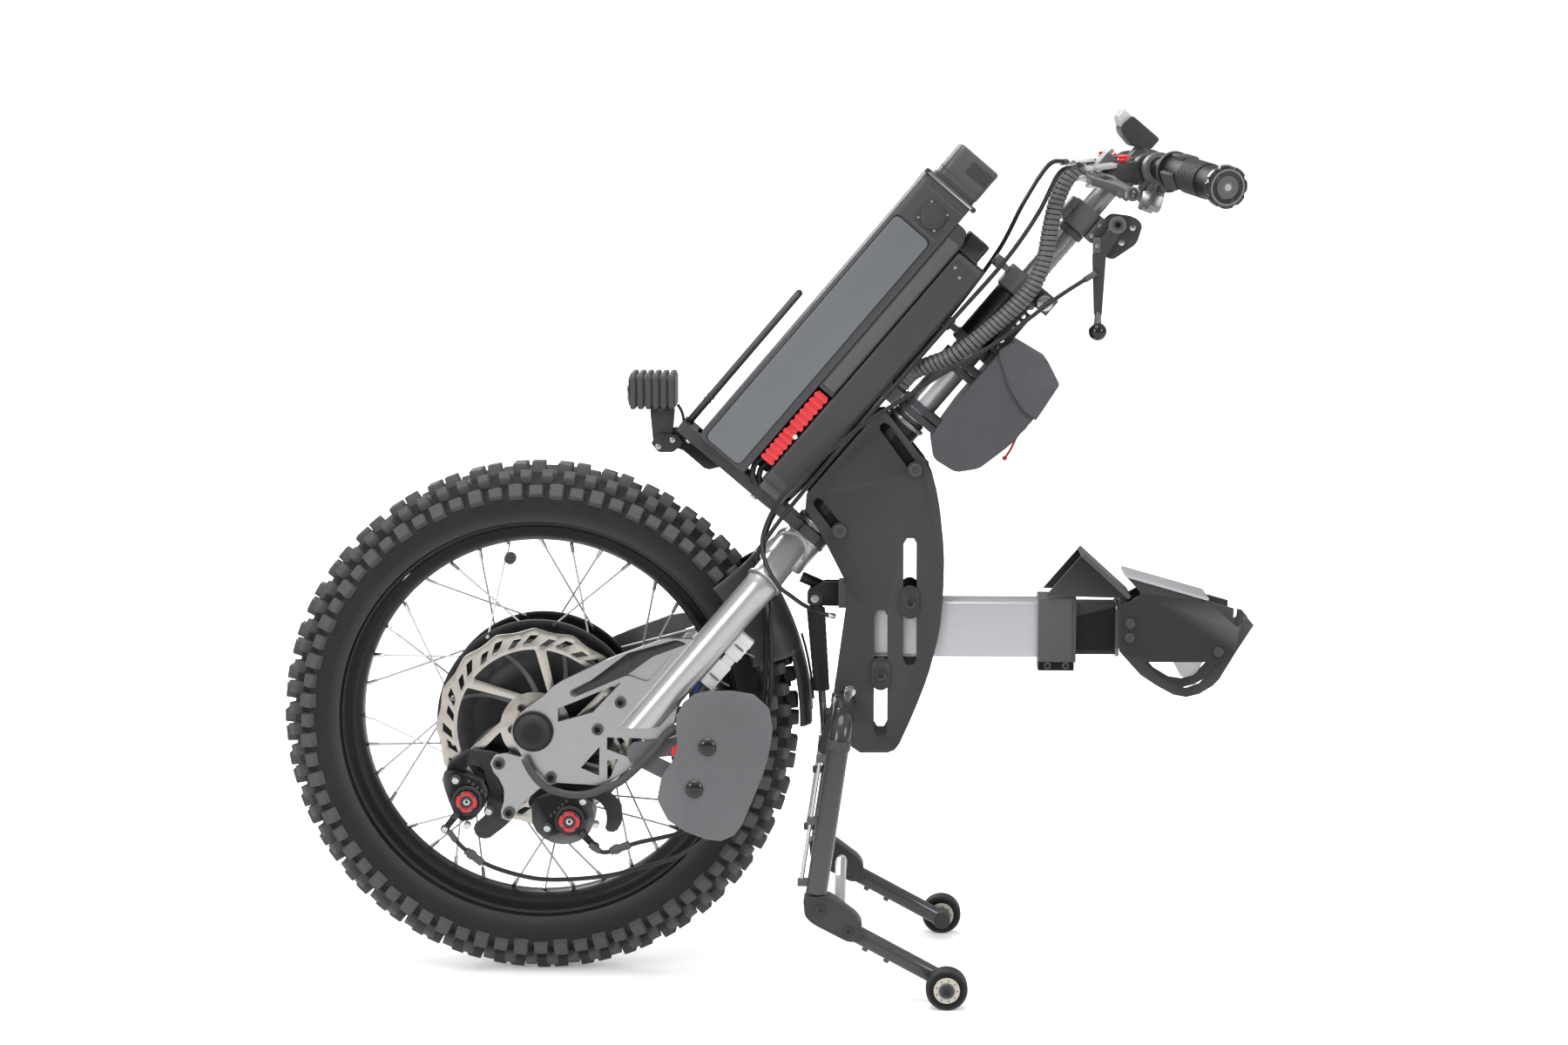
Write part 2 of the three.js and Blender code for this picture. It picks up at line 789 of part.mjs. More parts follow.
function slotOutline(from, to, radius) {
  const lean = Math.atan2(to[1] - from[1], to[0] - from[0]);
  const points = [];
  [to, from].forEach(([x, y], end) => {
    for (let i = 0; i <= slotSteps; i += 1) {
      const angle = lean + Math.PI * (end + i / slotSteps - 1 / 2);
      points.push(new THREE.Vector2(x + radius * Math.cos(angle), y + radius * Math.sin(angle)));
    }
  });
  const path = new THREE.Path(points);
  path.closePath();
  return path;
}

function roundHole(x, y, radius) {
  const path = new THREE.Path();
  path.setFromPoints(disc(radius, roundSides).getPoints().map((point) => point.add({ x, y })));
  path.closePath();
  return path;
}

// The tyre: a solid carcass with a centre row and two shoulder rows of lugs
function makeTyre() {
  const crown = wheelRadius - treadDepth;
  const section = crown - tyreBeadRadius;
  const half = [
    [tyreBeadRadius, tyreBeadHalfWidth],
    [tyreBeadRadius + section * 0.2, tyreHalfWidth * 0.86],
    [tyreBeadRadius + section * 0.5, tyreHalfWidth],
    [tyreBeadRadius + section * 0.78, tyreHalfWidth * 0.9],
    [tyreBeadRadius + section * 0.95, tyreHalfWidth * 0.55],
    [crown, 0],
  ];
  const others = half.slice(0, -1).map(([radius, y]) => [radius, -y]).reverse();
  const carcass = turned([...half, ...others], wheelSegments);
  const lugs = [];
  for (let i = 0; i < lugCount; i += 1) {
    const angle = (i / lugCount) * Math.PI * 2;
    const side = i % 2 ? 1 : -1;
    const low = crown - treadDepth;
    const centreY = side * centreLugWidth * 0.4;
    const lug = box(
      [low, wheelRadius],
      [centreY - centreLugWidth / 2, centreY + centreLugWidth / 2],
      [-centreLugLength / 2, centreLugLength / 2],
    );
    lugs.push(turnedAboutY(lug, angle));
  }
  const halfPitch = Math.PI / lugCount;
  const lugReach = [tyreHalfWidth * 0.1, tyreHalfWidth * 0.1 + shoulderLugWidth * 1.9];
  const shoulder = box(
    lugReach,
    [-shoulderLugWidth / 2, shoulderLugWidth / 2],
    [-shoulderLugLength / 2, shoulderLugLength / 2],
  );
  for (let i = 0; i < lugCount; i += 1) {
    for (const side of [-1, 1]) {
      const angle = (i / lugCount) * Math.PI * 2 + halfPitch;
      const leaned = moved(shoulder, new THREE.Matrix4().makeRotationZ(side * shoulderLean));
      const out = shifted(leaned, crown - tyreHalfWidth * 0.72, side * tyreHalfWidth * 0.42, 0);
      lugs.push(turnedAboutY(out, angle));
    }
  }
  return join(carcass, wasm.Manifold.union(lugs));
}

function makeRim() {
  const outer = tyreBeadRadius - seatGap;
  const wall = outer - (outer - rimInnerRadius) * 0.4;
  return turned([
    [outer, -rimHalfWidth], [outer, rimHalfWidth], [wall, rimHalfWidth],
    [rimInnerRadius, rimInnerHalfWidth], [rimInnerRadius, -rimInnerHalfWidth], [wall, -rimHalfWidth],
  ], wheelSegments);
}

// Spokes from both hub flanges, leading and trailing in turn
function makeSpokes() {
  const spokes = [];
  const hubRing = hubFlangeRadius - hubFlangeThickness;
  const rimRing = rimInnerRadius - seatGap - spokeRadius;
  const perFlange = spokeCount / 2;
  for (let i = 0; i < spokeCount; i += 1) {
    const side = i % 2 ? 1 : -1;
    const rimAngle = (i / spokeCount) * Math.PI * 2;
    const lacing = (Math.floor(i / 2) % 2 ? 1 : -1) * spokeLacingAngle;
    const hubAngle = (Math.floor(i / 2) / perFlange) * Math.PI * 2 + lacing;
    const offset = hubFlangeThickness * 0.32 * Math.sign(lacing);
    const flangeY = side * (hubHalfWidth - hubFlangeThickness / 2 + offset);
    const from = [hubRing * Math.cos(hubAngle), flangeY, hubRing * Math.sin(hubAngle)];
    const to = [rimRing * Math.cos(rimAngle), 0, rimRing * Math.sin(rimAngle)];
    spokes.push(rod(from, to, spokeRadius, spokeSides));
  }
  return wasm.Manifold.union(spokes);
}

// The hub motor: a flanged drum, dished covers with swept ribs and the rotor's seat
function makeHub() {
  const flangeIn = hubHalfWidth - hubFlangeThickness;
  const coverY = hubHalfWidth + hubCoverDepth;
  const seatY = rotorY - rotorThickness / 2 - seatGap;
  const drum = turned([
    [hubBoreRadius, -seatY], [rotorSeatRadius, -seatY], [rotorSeatRadius, -coverY],
    [hubCoverNoseRadius, -coverY], [hubCoverRadius, -hubHalfWidth - hubCoverDepth / 3],
    [hubCoverRadius, -hubHalfWidth], [hubFlangeRadius, -hubHalfWidth], [hubFlangeRadius, -flangeIn],
    [hubDrumRadius, -flangeIn], [hubDrumRadius, flangeIn], [hubFlangeRadius, flangeIn],
    [hubFlangeRadius, hubHalfWidth], [hubCoverRadius, hubHalfWidth],
    [hubCoverRadius, hubHalfWidth + hubCoverDepth / 3], [hubCoverNoseRadius, coverY],
    [rotorSeatRadius, coverY], [rotorSeatRadius, seatY], [hubBoreRadius, seatY],
  ], wheelSegments * 5 / 8);
  const rise = hubCoverDepth * 2 / 3;
  const run = hubCoverRadius - hubCoverNoseRadius;
  const rib = outline([
    [rotorSeatRadius - overrun, coverY - hubRibHeight], [hubCoverNoseRadius, coverY - hubRibHeight],
    [hubCoverRadius, coverY - hubRibHeight - rise], [hubCoverRadius, coverY - rise],
    [hubCoverNoseRadius + run * 0.1, coverY + hubRibHeight], [rotorSeatRadius - overrun, coverY + hubRibHeight],
  ]);
  const blade = moved(slab(rib, hubRibWidth), new THREE.Matrix4().makeRotationX(Math.PI / 2));
  const ribs = [];
  for (let i = 0; i < hubRibCount; i += 1) {
    const angle = (i / hubRibCount) * Math.PI * 2;
    ribs.push(turnedAboutY(mirrored(blade), angle));
  }
  return join(drum, wasm.Manifold.union(ribs), makeSpokes());
}

// The brake rotor: a wavy band on swept arms
function makeRotor() {
  const shape = new THREE.Shape();
  const steps = rotorWaves * 3;
  for (let i = 0; i < steps; i += 1) {
    const angle = (i / steps) * Math.PI * 2;
    const radius = rotorRadius - rotorWaveDepth * (1 - Math.cos(angle * rotorWaves)) / 2;
    const point = [radius * Math.cos(angle), radius * Math.sin(angle)];
    if (i === 0) shape.moveTo(...point);
    else shape.lineTo(...point);
  }
  shape.closePath();
  const bandInner = rotorRadius - rotorBandWidth;
  shape.holes.push(roundHole(0, 0, hubBoreRadius + overrun));
  const options = { depth: rotorThickness, bevelEnabled: false, curveSegments: 2 };
  const geometry = new THREE.ExtrudeGeometry(shape, options);
  geometry.rotateX(Math.PI / 2);
  geometry.translate(0, -rotorY + rotorThickness / 2, 0);
  const plate = solid(geometry);
  const gaps = [];
  const seatEdge = rotorSeatRadius + rotorArmWidth / 2;
  const sweep = 0.5;
  for (let i = 0; i < rotorArms; i += 1) {
    const start = (i / rotorArms) * Math.PI * 2;
    const end = ((i + 1) / rotorArms) * Math.PI * 2;
    const innerHalf = rotorArmWidth / 2 / seatEdge;
    const outerHalf = rotorArmWidth / 2 / bandInner;
    const points = [];
    for (let k = 0; k <= 3; k += 1) {
      const angle = start + innerHalf + (end - start - 2 * innerHalf) * (k / 3);
      points.push([seatEdge * Math.cos(angle), seatEdge * Math.sin(angle)]);
    }
    for (let k = 6; k >= 0; k -= 1) {
      const angle = start + sweep + outerHalf + (end - start - 2 * outerHalf) * (k / 6);
      points.push([bandInner * Math.cos(angle), bandInner * Math.sin(angle)]);
    }
    gaps.push(slab(outline(points), rotorThickness + overrun, -rotorY));
  }
  return cut(plate, wasm.Manifold.union(gaps));
}

// The axle with a domed cap nut at each end
function makeAxle() {
  const capIn = dropoutOuterY + seatGap;
  const capOut = capIn + capDepth;
  const edge = capRadius - capFillet;
  return turned([
    [0, -capOut], [edge, -capOut], [capRadius, -capOut + capFillet], [capRadius, -capIn],
    [axleRadius, -capIn], [axleRadius, capIn], [capRadius, capIn],
    [capRadius, capOut - capFillet], [edge, capOut], [0, capOut],
  ], smoothSides);
}

// The fork: two legs bent in to a crown that carries the steerer
function legPath(side) {
  return [
    [-legAcross, side * legHalfSpacing, -legFootDrop],
    [-legAcross, side * legHalfSpacing, -legBendDrop],
    [-legAcross * 0.75, side * legTopHalfSpacing, -legTopDrop],
  ];
}

function makeLeg(side, grow) {
  const [foot, bend, top] = legPath(side);
  const radius = legRadius + grow;
  const leg = bentTube([foot, bend, top], legRadius, radius, smoothSides);
  const ground = legFootHeight - grow;
  const reach = crownHeight;
  const below = box([-reach, reach], [-reach, reach], [ground - reach, ground]);
  return cut(leg, moved(below, axleToHead));
}

function makeFork() {
  const crown = rod([0, 0, -crownTopDrop - crownDepth], [0, 0, -crownTopDrop], crownRadius, smoothSides);
  const steerer = rod([0, 0, -crownTopDrop - sink], [0, 0, steererTop], steererRadius, smoothSides);
  return join(crown, steerer, makeLeg(-1, 0), makeLeg(1, 0));
}

// A dropout plate with its pocket and windows, notched round the leg
function makeDropout(side) {
  const fit = (shares) => scaled(shares, -dropoutFront, dropoutLength, -dropoutBelow, dropoutHeight);
  const shape = outline(fit(dropoutShares), dropoutRound);
  dropoutWindowShares.forEach((window) => shape.holes.push(outline(fit(window), 0, THREE.Path)));
  shape.holes.push(roundHole(0, 0, boreFor(axleRadius, roundSides)));
  const plate = slab(shape, dropoutThickness, side * dropoutY);
  const pocket = outline(fit(dropoutPocketShares), dropoutRound / 2);
  const pocketY = side * (dropoutOuterY - dropoutPocketDepth / 2 + overrun / 2);
  const recess = slab(pocket, dropoutPocketDepth + overrun, pocketY);
  return cut(plate, recess, moved(makeLeg(side, seatGap), headToAxle));
}

// The mudguard: a rounded channel behind the tyre with a narrow tail, bossed to the legs
function makeMudguard() {
  const outer = guardSection;
  const inner = outer.map(([y, radius], i) => {
    const thinning = guardThickness * (i / 3);
    return [Math.max(y - thinning, 0), radius - guardThickness];
  });
  inner[outer.length - 1][1] = outer.at(-1)[1];
  const mirror = (points) => points.slice(1).map(([y, radius]) => [-y, radius]).reverse();
  const loop = [...mirror(outer), ...outer, ...inner.slice().reverse(), ...mirror(inner).reverse()];
  const profile = loop.map(([y, radius]) => new THREE.Vector2(radius, y));
  if (THREE.ShapeUtils.area(profile) < 0) profile.reverse();
  const ring = solid(new THREE.LatheGeometry([...profile, profile[0].clone()], wheelSegments));
  const edge = guardTailHalfWidth;
  const channel = ring.intersect(guardSector(guardTailAngle, guardTopAngle, [-wheelRadius, wheelRadius]));
  const trims = [-1, 1].map((side) => guardSector(
    guardTailAngle * 3, guardSkirtAngle, side < 0 ? [-edge * 2, -edge] : [edge, edge * 2],
  ));
  const bossEnd = legHalfSpacing - legRadius - seatGap;
  const bosses = [-1, 1].map((side) => moved(rod(
    [-legAcross, side * (outer.at(-2)[0] - sink), -guardBossDrop],
    [-legAcross, side * bossEnd, -guardBossDrop],
    guardBossRadius,
  ), headToAxle));
  return join(cut(channel, ...trims), ...bosses);
}

function guardSector(from, to, ys) {
  const reach = guardSection[0][1] * 1.2;
  const points = [[0, 0]];
  for (let i = 0; i <= guardSteps; i += 1) {
    const angle = from + (to - from) * (i / guardSteps);
    points.push([reach * Math.cos(angle), reach * Math.sin(angle)]);
  }
  return slab(outline(points), ys[1] - ys[0], (ys[0] + ys[1]) / 2);
}

// A side cover with its two bolt heads and the arm that holds it to the dropout
function makeSideCover(side) {
  const points = scaled(coverShares, coverStart, coverLength, -coverBelow, coverHeight);
  const cover = slab(outline(points, coverRound), coverThickness, side * coverY);
  const bolts = scaled(coverBoltShares, coverStart, coverLength, -coverBelow, coverHeight);
  const outerY = coverY + coverThickness / 2;
  const innerY = coverY - coverThickness / 2;
  const armOuterY = dropoutOuterY + seatGap + coverArmThickness;
  const heads = bolts.map(([x, z]) => rod(
    [x, side * (innerY + sink), z], [x, side * (outerY + coverBossHeight), z], coverBossRadius,
  ));
  const posts = bolts.map(([x, z]) => rod(
    [x, side * (armOuterY - sink), z], [x, side * (innerY + sink), z], coverBossRadius * 0.7, coarseSides,
  ));
  const anchor = [dropoutLength * 0.5, -dropoutBelow * 0.35];
  const arms = bolts.map(([x, z]) => {
    const lean = Math.atan2(z - anchor[1], x - anchor[0]);
    const across = [Math.sin(lean) * coverArmWidth / 2, -Math.cos(lean) * coverArmWidth / 2];
    const strip = [
      [anchor[0] - across[0], anchor[1] - across[1]], [anchor[0] + across[0], anchor[1] + across[1]],
      [x + across[0], z + across[1]], [x - across[0], z - across[1]],
    ];
    const armY = dropoutOuterY + seatGap + coverArmThickness / 2;
    return slab(outline(strip, coverArmWidth * 0.4), coverArmThickness, side * armY);
  });
  return join(cover, ...heads, ...posts, ...arms);
}

// The star-shaped carrier that bolts both calipers to the near dropout
function makeCarrier() {
  const points = scaled(carrierShares, -carrierFront, carrierLength, -carrierBelow, carrierHeight);
  const y = dropoutInnerY - seatGap - carrierThickness / 2;
  return slab(outline(points, carrierRound), carrierThickness, -y);
}

// A caliper: its mount, a body that straddles the rotor and the pad adjuster
function makeCaliper(brake) {
  const fit = (shares) => scaled(shares, -brake.front, brake.length, -brake.below, brake.height);
  const mountOuter = dropoutInnerY - seatGap - carrierThickness - seatGap;
  const mountY = -mountOuter + mountThickness / 2;
  const mount = slab(outline(fit(brake.mountShares), mountRound), mountThickness, mountY);
  const body = slab(outline(fit(brake.bodyShares), caliperRound), caliperThickness, -caliperY);
  const carrier = scaled(carrierShares, -carrierFront, carrierLength, -carrierBelow, carrierHeight);
  const carrierSpace = slab(
    outline(carrier, carrierRound), caliperThickness, -mountOuter - caliperThickness / 2 + overrun / 4,
  );
  const [low, high] = [-rotorY - caliperSlot / 2, -rotorY + caliperSlot / 2];
  const slot = rod([0, low, 0], [0, high, 0], rotorRadius + overrun, wheelSegments);
  const face = caliperY + caliperThickness / 2;
  const [x, z] = brake.centre;
  const knob = rod([x, -face + sink, z], [x, -face - adjusterHeight, z], adjusterRadius, smoothSides);
  const whole = join(cut(body, carrierSpace), mount);
  return join(cut(whole, slot), knob);
}

// The cable arm that turns round a caliper's adjuster
function makeCaliperArm(brake) {
  const face = caliperY + caliperThickness / 2;
  const y = -face - seatGap - armThickness / 2;
  const [x, z] = brake.centre;
  const tip = [x + armReach * Math.cos(brake.armAngle), z + armReach * Math.sin(brake.armAngle)];
  const across = [Math.sin(brake.armAngle) * armWidth / 2, -Math.cos(brake.armAngle) * armWidth / 2];
  const bar = outline([
    [x - across[0], z - across[1]], [x + across[0], z + across[1]],
    [tip[0] + across[0] * 0.7, tip[1] + across[1] * 0.7],
    [tip[0] - across[0] * 0.7, tip[1] - across[1] * 0.7],
  ]);
  const half = armThickness / 2;
  const ring = rod([x, y - half, z], [x, y + half, z], armRingRadius, smoothSides);
  const end = rod([tip[0], y - half, tip[1]], [tip[0], y + half, tip[1]], armTipRadius);
  const boreRadius = boreFor(adjusterRadius, smoothSides);
  const bore = rod([x, y - armThickness, z], [x, y + armThickness, z], boreRadius, smoothSides);
  return cut(join(slab(bar, armThickness, y), ring, end), bore);
}

// The head tube with the two lug blocks whose bolts clamp it between the plates
function makeHeadTube() {
  const tube = rod([0, 0, headTubeBase], [0, 0, headTubeTop], headTubeRadius, smoothSides);
  const boreRadius = boreFor(steererRadius, smoothSides);
  const bore = rod([0, 0, 0], [0, 0, headTubeTop + overrun], boreRadius, smoothSides);
  const boltY = plateOuterY + seatGap;
  const parts = tiltBoltPlaces().map(([x, z]) => {
    const at = new THREE.Vector3(x, 0, z).applyMatrix4(groundToHead);
    const lug = box(
      [0, at.x + tiltBlockMargin],
      [-headTubeRadius, headTubeRadius],
      [at.z - tiltBlockHalfLength, at.z + tiltBlockHalfLength],
    );
    const bolt = rod([at.x, -boltY, at.z], [at.x, boltY, at.z], tiltBoltRadius);
    const heads = [-1, 1].map((side) => rod(
      [at.x, side * boltY, at.z], [at.x, side * (boltY + tiltBoltHeadHeight), at.z], tiltBoltHead,
    ));
    return join(lug, bolt, ...heads);
  });
  return cut(join(tube, ...parts), bore);
}

function tiltBoltPlaces() {
  return tiltSlotShares.map((ends) => scaled(ends, plateFront, plateLength, plateBase, plateHeight)[1]);
}

function heightSlotMiddles() {
  return scaled(heightSlotShares, plateFront, plateLength, plateBase, plateHeight);
}

// A side plate with tilt slots, height slots and the stand's bearing hole
function makeSidePlate(side) {
  const fit = (shares) => scaled(shares, plateFront, plateLength, plateBase, plateHeight);
  const shape = outline(fit(plateShares), plateRound);
  tiltSlotShares.forEach((ends) => shape.holes.push(slotOutline(...fit(ends), tiltSlotRadius)));
  const reach = heightSlotSpan / 2 - heightSlotRadius;
  heightSlotMiddles().forEach(([x, z]) => {
    shape.holes.push(slotOutline([x, z - reach], [x, z + reach], heightSlotRadius));
  });
  const plate = slab(shape, plateThickness, side * (plateInnerY + plateThickness / 2));
  const far = side * (plateOuterY + overrun);
  const near = side * (plateInnerY - overrun);
  const bearing = rod([standPivotX, near, standPivotZ], [standPivotX, far, standPivotZ],
    boreFor(standTubeRadius, roundSides), roundSides);
  return cut(plate, bearing);
}

// The arm's outer tube, carried on two lugs whose bolts slide in the height slots
function makeArmOuterTube() {
  const low = armCentreHeight - armHeight / 2;
  const high = armCentreHeight + armHeight / 2;
  const tube = box([armStart, armEnd], [-armHalfWidth, armHalfWidth], [low, high]);
  const [upper, lower] = heightSlotMiddles().map(([x]) => x);
  const bolts = [[upper, high + heightBoltLift], [lower, low - heightBoltLift * 1.8]];
  const lugs = bolts.map(([x, z]) => box(
    [x - armLugLength / 2, x + armLugLength / 2], [-armHalfWidth, armHalfWidth],
    [Math.min(z - armLugMargin, high - sink), Math.max(z + armLugMargin, low + sink)],
  ));
  const inner = armHalfWidth - armWall;
  const bore = box([armStart - overrun, armEnd + overrun], [-inner, inner], [low + armWall, high - armWall]);
  const studs = bolts.map(([x, z]) => makeHeightBolt(x, z));
  return join(cut(join(tube, ...lugs), bore), ...studs);
}

function makeHeightBolt(x, z) {
  const face = plateOuterY + seatGap;
  const parts = [-1, 1].map((side) => {
    const reach = washerLength / 2 - washerWidth / 2;
    const shape = new THREE.Shape(slotOutline([x, z - reach], [x, z + reach], washerWidth / 2).getPoints());
    const washer = slab(shape, washerThickness, side * (face + washerThickness / 2));
    const studFoot = side * (armHalfWidth - armWall / 2);
    const stud = rod([x, studFoot, z], [x, side * (face + sink), z], heightBoltRadius);
    const outer = face + washerThickness + heightBoltHeadHeight;
    return join(washer, stud, rod([x, side * (face + sink), z], [x, side * outer, z], heightBoltHead));
  });
  return join(...parts);
}

function makeBandClamp() {
  const halfHeight = armHeight / 2 + seatGap;
  const halfWidth = armHalfWidth + seatGap;
  const low = armCentreHeight - halfHeight - bandWall;
  const xs = [bandStart, bandStart + bandLength];
  const high = armCentreHeight + halfHeight + bandWall;
  const band = box(xs, [-halfWidth - bandWall, halfWidth + bandWall], [low, high]);
  const flange = box(xs, [-bandFlangeHalfWidth, bandFlangeHalfWidth], [low - bandFlangeDrop, low + sink]);
  const bolts = [0.26, 0.76].map((share) => {
    const x = bandStart + bandLength * share;
    const z = low - bandFlangeDrop / 2;
    const end = bandFlangeHalfWidth + bandBoltHeight;
    return rod([x, -end, z], [x, end, z], bandBoltRadius, coarseSides);
  });
  const bore = box([xs[0] - overrun, xs[1] + overrun], [-halfWidth, halfWidth],
    [armCentreHeight - halfHeight, armCentreHeight + halfHeight]);
  return cut(join(band, flange, ...bolts), bore);
}

// The sliding inner tube with the end block that the coupler's cheeks bolt to
function makeArmInnerTube() {
  const halfWidth = armHalfWidth - armWall - seatGap;
  const halfHeight = armHeight / 2 - armWall - seatGap;
  const zs = [armCentreHeight - halfHeight, armCentreHeight + halfHeight];
  const tube = box([innerTubeStart, innerTubeEnd], [-halfWidth, halfWidth], zs);
  const inner = halfWidth - innerTubeWall;
  const bore = box([innerTubeStart - overrun, innerTubeEnd - innerTubeWall], [-inner, inner],
    [zs[0] + innerTubeWall, zs[1] - innerTubeWall]);
  const blockY = cheekInnerY - seatGap;
  const [high, low] = endBlockShares.map((share) => cheekBase + share * cheekHeight);
  const blockXs = [innerTubeEnd - innerTubeWall, innerTubeEnd + endBlockLength];
  const block = box(blockXs, [-blockY, blockY], [low, high]);
  return join(cut(tube, bore), block);
}

function fitCheek(shares) {
  return scaled(shares, cheekStart, cheekLength, cheekBase, cheekHeight);
}

function makeCheek(side) {
  const shape = outline(fitCheek(cheekShares));
  shape.holes.push(outline(fitCheek(cheekWindowShares), 0, THREE.Path));
  const plate = slab(shape, cheekThickness, side * (cheekInnerY + cheekThickness / 2));
  const outer = cheekInnerY + cheekThickness;
  const bolts = fitCheek(cheekBoltShares).map(([x, z]) => rod(
    [x, side * (outer - sink), z], [x, side * (outer + cheekBoltHeight), z], cheekBoltRadius,
  ));
  return join(plate, ...bolts);
}

// The front half of the docking funnel: two gussets joined by a sloping plate
function makeGuideWedge() {
  const [foot, apex, heel] = fitCheek(wedgeShares);
  const gussetY = cheekInnerY + cheekThickness / 2;
  const gussets = [-1, 1].map((side) => slab(outline([foot, apex, heel]), cheekThickness, side * gussetY));
  const run = new THREE.Vector2(heel[0] - apex[0], heel[1] - apex[1]).normalize();
  const lift = [-run.y * wedgePlateThickness, run.x * wedgePlateThickness];
  const plate = outline([
    [apex[0] - lift[0] / 2, apex[1] - lift[1] / 2], [heel[0] - lift[0] / 2, heel[1] - lift[1] / 2],
    [heel[0] + lift[0], heel[1] + lift[1]], [apex[0] + lift[0], apex[1] + lift[1]],
  ]);
  const width = (cheekInnerY + cheekThickness + sink) * 2;
  const saddleY = cheekInnerY - seatGap;
  const saddle = box(
    wedgeSaddleShares.map((share) => cheekStart + share * cheekLength), [-saddleY, saddleY],
    [cheekBase + endBlockShares[0] * cheekHeight + seatGap, heel[1] + wedgePlateThickness],
  );
  return join(...gussets, slab(plate, width), saddle);
}

// The roof plate that lies on the cheeks' upper edges
function makeRoofPlate() {
  const [front, rear] = fitCheek(roofShares);
  const run = new THREE.Vector2(rear[0] - front[0], rear[1] - front[1]).normalize();
  const rise = [-run.y * roofThickness, run.x * roofThickness];
  const seat = seatGap * 1.5;
  const points = [
    [front[0], front[1] + seat], [rear[0], rear[1] + seat],
    [rear[0] + rise[0], rear[1] + rise[1] + seat], [front[0] + rise[0], front[1] + rise[1] + seat],
  ];
  return slab(outline(points), (cheekInnerY + cheekThickness + roofOverhang) * 2);
}

// The latch that swings between the cheeks on a cross pin
function makeLatch() {
  const hook = slab(outline(fitCheek(latchShares), cheekRound), latchHalfWidth * 2);
  const [x, z] = fitCheek([cheekBoltShares[2]])[0];
  const end = cheekInnerY - seatGap;
  return join(hook, rod([x, -end, z], [x, end, z], latchPinRadius));
}

// The stand: two bent tubes whose crank arms meet at a spacer below the strut's eye
function makeStandTube() {
  const [dx, dz] = [strutLugX - standPivotX, strutLugZ - standPivotZ];
  const reach = 1 + crankSpacerReach / Math.hypot(dx, dz);
  const spacer = [standPivotX + dx * reach, standPivotZ + dz * reach];
  const halves = [-1, 1].map((side) => {
    const y = side * standHalfSpacing;
    const tube = bentTube([
      [standFootX, y, standFootZ], [standPivotX, y, standPivotZ],
      [standPivotX, side * crankInnerY, standPivotZ],
    ], standBend, standTubeRadius);
    const along = (share) => [
      standFootX + (standPivotX - standFootX) * share - standStripAhead, y,
      standFootZ + (standPivotZ - standFootZ) * share,
    ];
    const strip = rod(along(0.04), along(0.8), standStripRadius, coarseSides);
    const clips = [0.06, 0.42, 0.78].map((share) => {
      const [x, , z] = along(share);
      const size = standClipSize / 2;
      return box([x - size, x + standStripAhead], [y - size, y + size], [z - size, z + size]);
    });
    const arm = outline([
      [standPivotX + standTubeRadius, standPivotZ], [standPivotX - standTubeRadius, standPivotZ + sink],
      [spacer[0] - crankThickness, spacer[1]], [spacer[0] + crankThickness, spacer[1] - crankThickness],
    ], crankThickness);
    const crank = slab(arm, crankThickness, side * (crankInnerY + crankThickness / 2));
    return join(tube, strip, ...clips, crank);
  });
  const end = crankInnerY + sink;
  const bar = rod([spacer[0], -end, spacer[1]], [spacer[0], end, spacer[1]], crankSpacerRadius);
  return join(...halves, bar);
}

// A knee with the lower leg and the roller's axle
function makeStandFoot(side) {
  const points = scaled(kneeShares, kneeFront, kneeLength, kneeBase, kneeHeight);
  const knee = slab(outline(points, kneeRound), kneeThickness, side * standHalfSpacing);
  const socket = rod(
    [standFootX, side * standHalfSpacing, standFootZ - sink],
    [standPivotX, side * standHalfSpacing, standPivotZ],
    boreFor(standTubeRadius, roundSides),
  );
  const [start] = scaled([footStartShares], kneeFront, kneeLength, kneeBase, kneeHeight);
  const y = side * standHalfSpacing;
  const tube = rod([start[0], y, start[1]], [rollerX, y, rollerRadius], footTubeRadius);
  const inner = rollerHalfSpacing - rollerWidth / 2;
  const outer = rollerHalfSpacing + rollerWidth / 2;
  const eyeIn = standHalfSpacing - footTubeRadius;
  const root = [rollerX, side * eyeIn, rollerRadius];
  const eye = rod(root, [rollerX, side * (inner - seatGap), rollerRadius], footEyeRadius);
  const pin = rod(root, [rollerX, side * (outer + seatGap + sink), rollerRadius], rollerAxleRadius);
  const cap = rod(
    [rollerX, side * (outer + seatGap), rollerRadius],
    [rollerX, side * (outer + seatGap + rollerCapHeight), rollerRadius], rollerCapRadius,
  );
  return join(cut(knee, socket), tube, eye, pin, cap);
}

function makeRoller(side) {
  const half = rollerWidth / 2;
  const wheel = turned([
    [rollerAxleRadius + seatGap, -half], [rollerHubRadius, -half], [rollerHubRadius, -half + rollerRecess],
    [rollerRadius * 0.8, -half + rollerRecess], [rollerRadius * 0.84, -half],
    [rollerRadius, -half + rollerRecess],
    [rollerRadius, half - rollerRecess], [rollerRadius * 0.84, half], [rollerAxleRadius + seatGap, half],
  ], smoothSides);
  return shifted(wheel, rollerX, side * rollerHalfSpacing, rollerRadius);
}

function makeStandBrace() {
  const end = standHalfSpacing - kneeThickness / 2 - seatGap;
  const bend = end - braceRise;
  const top = braceZ + braceRise * 2;
  return bentTube([
    [braceX, -end, braceZ], [braceX, -bend, braceZ], [braceX, 0, top],
    [braceX, bend, braceZ], [braceX, end, braceZ],
  ], standHalfSpacing, braceRadius);
}

// The strut: a cylinder hung from the frame's bracket and a rod reaching the stand's lug
function strutPoint(distance) {
  const run = new THREE.Vector3(strutLugX - strutTopX, 0, strutLugZ - strutTopZ).normalize();
  return [strutTopX + run.x * distance, 0, strutTopZ + run.z * distance];
}

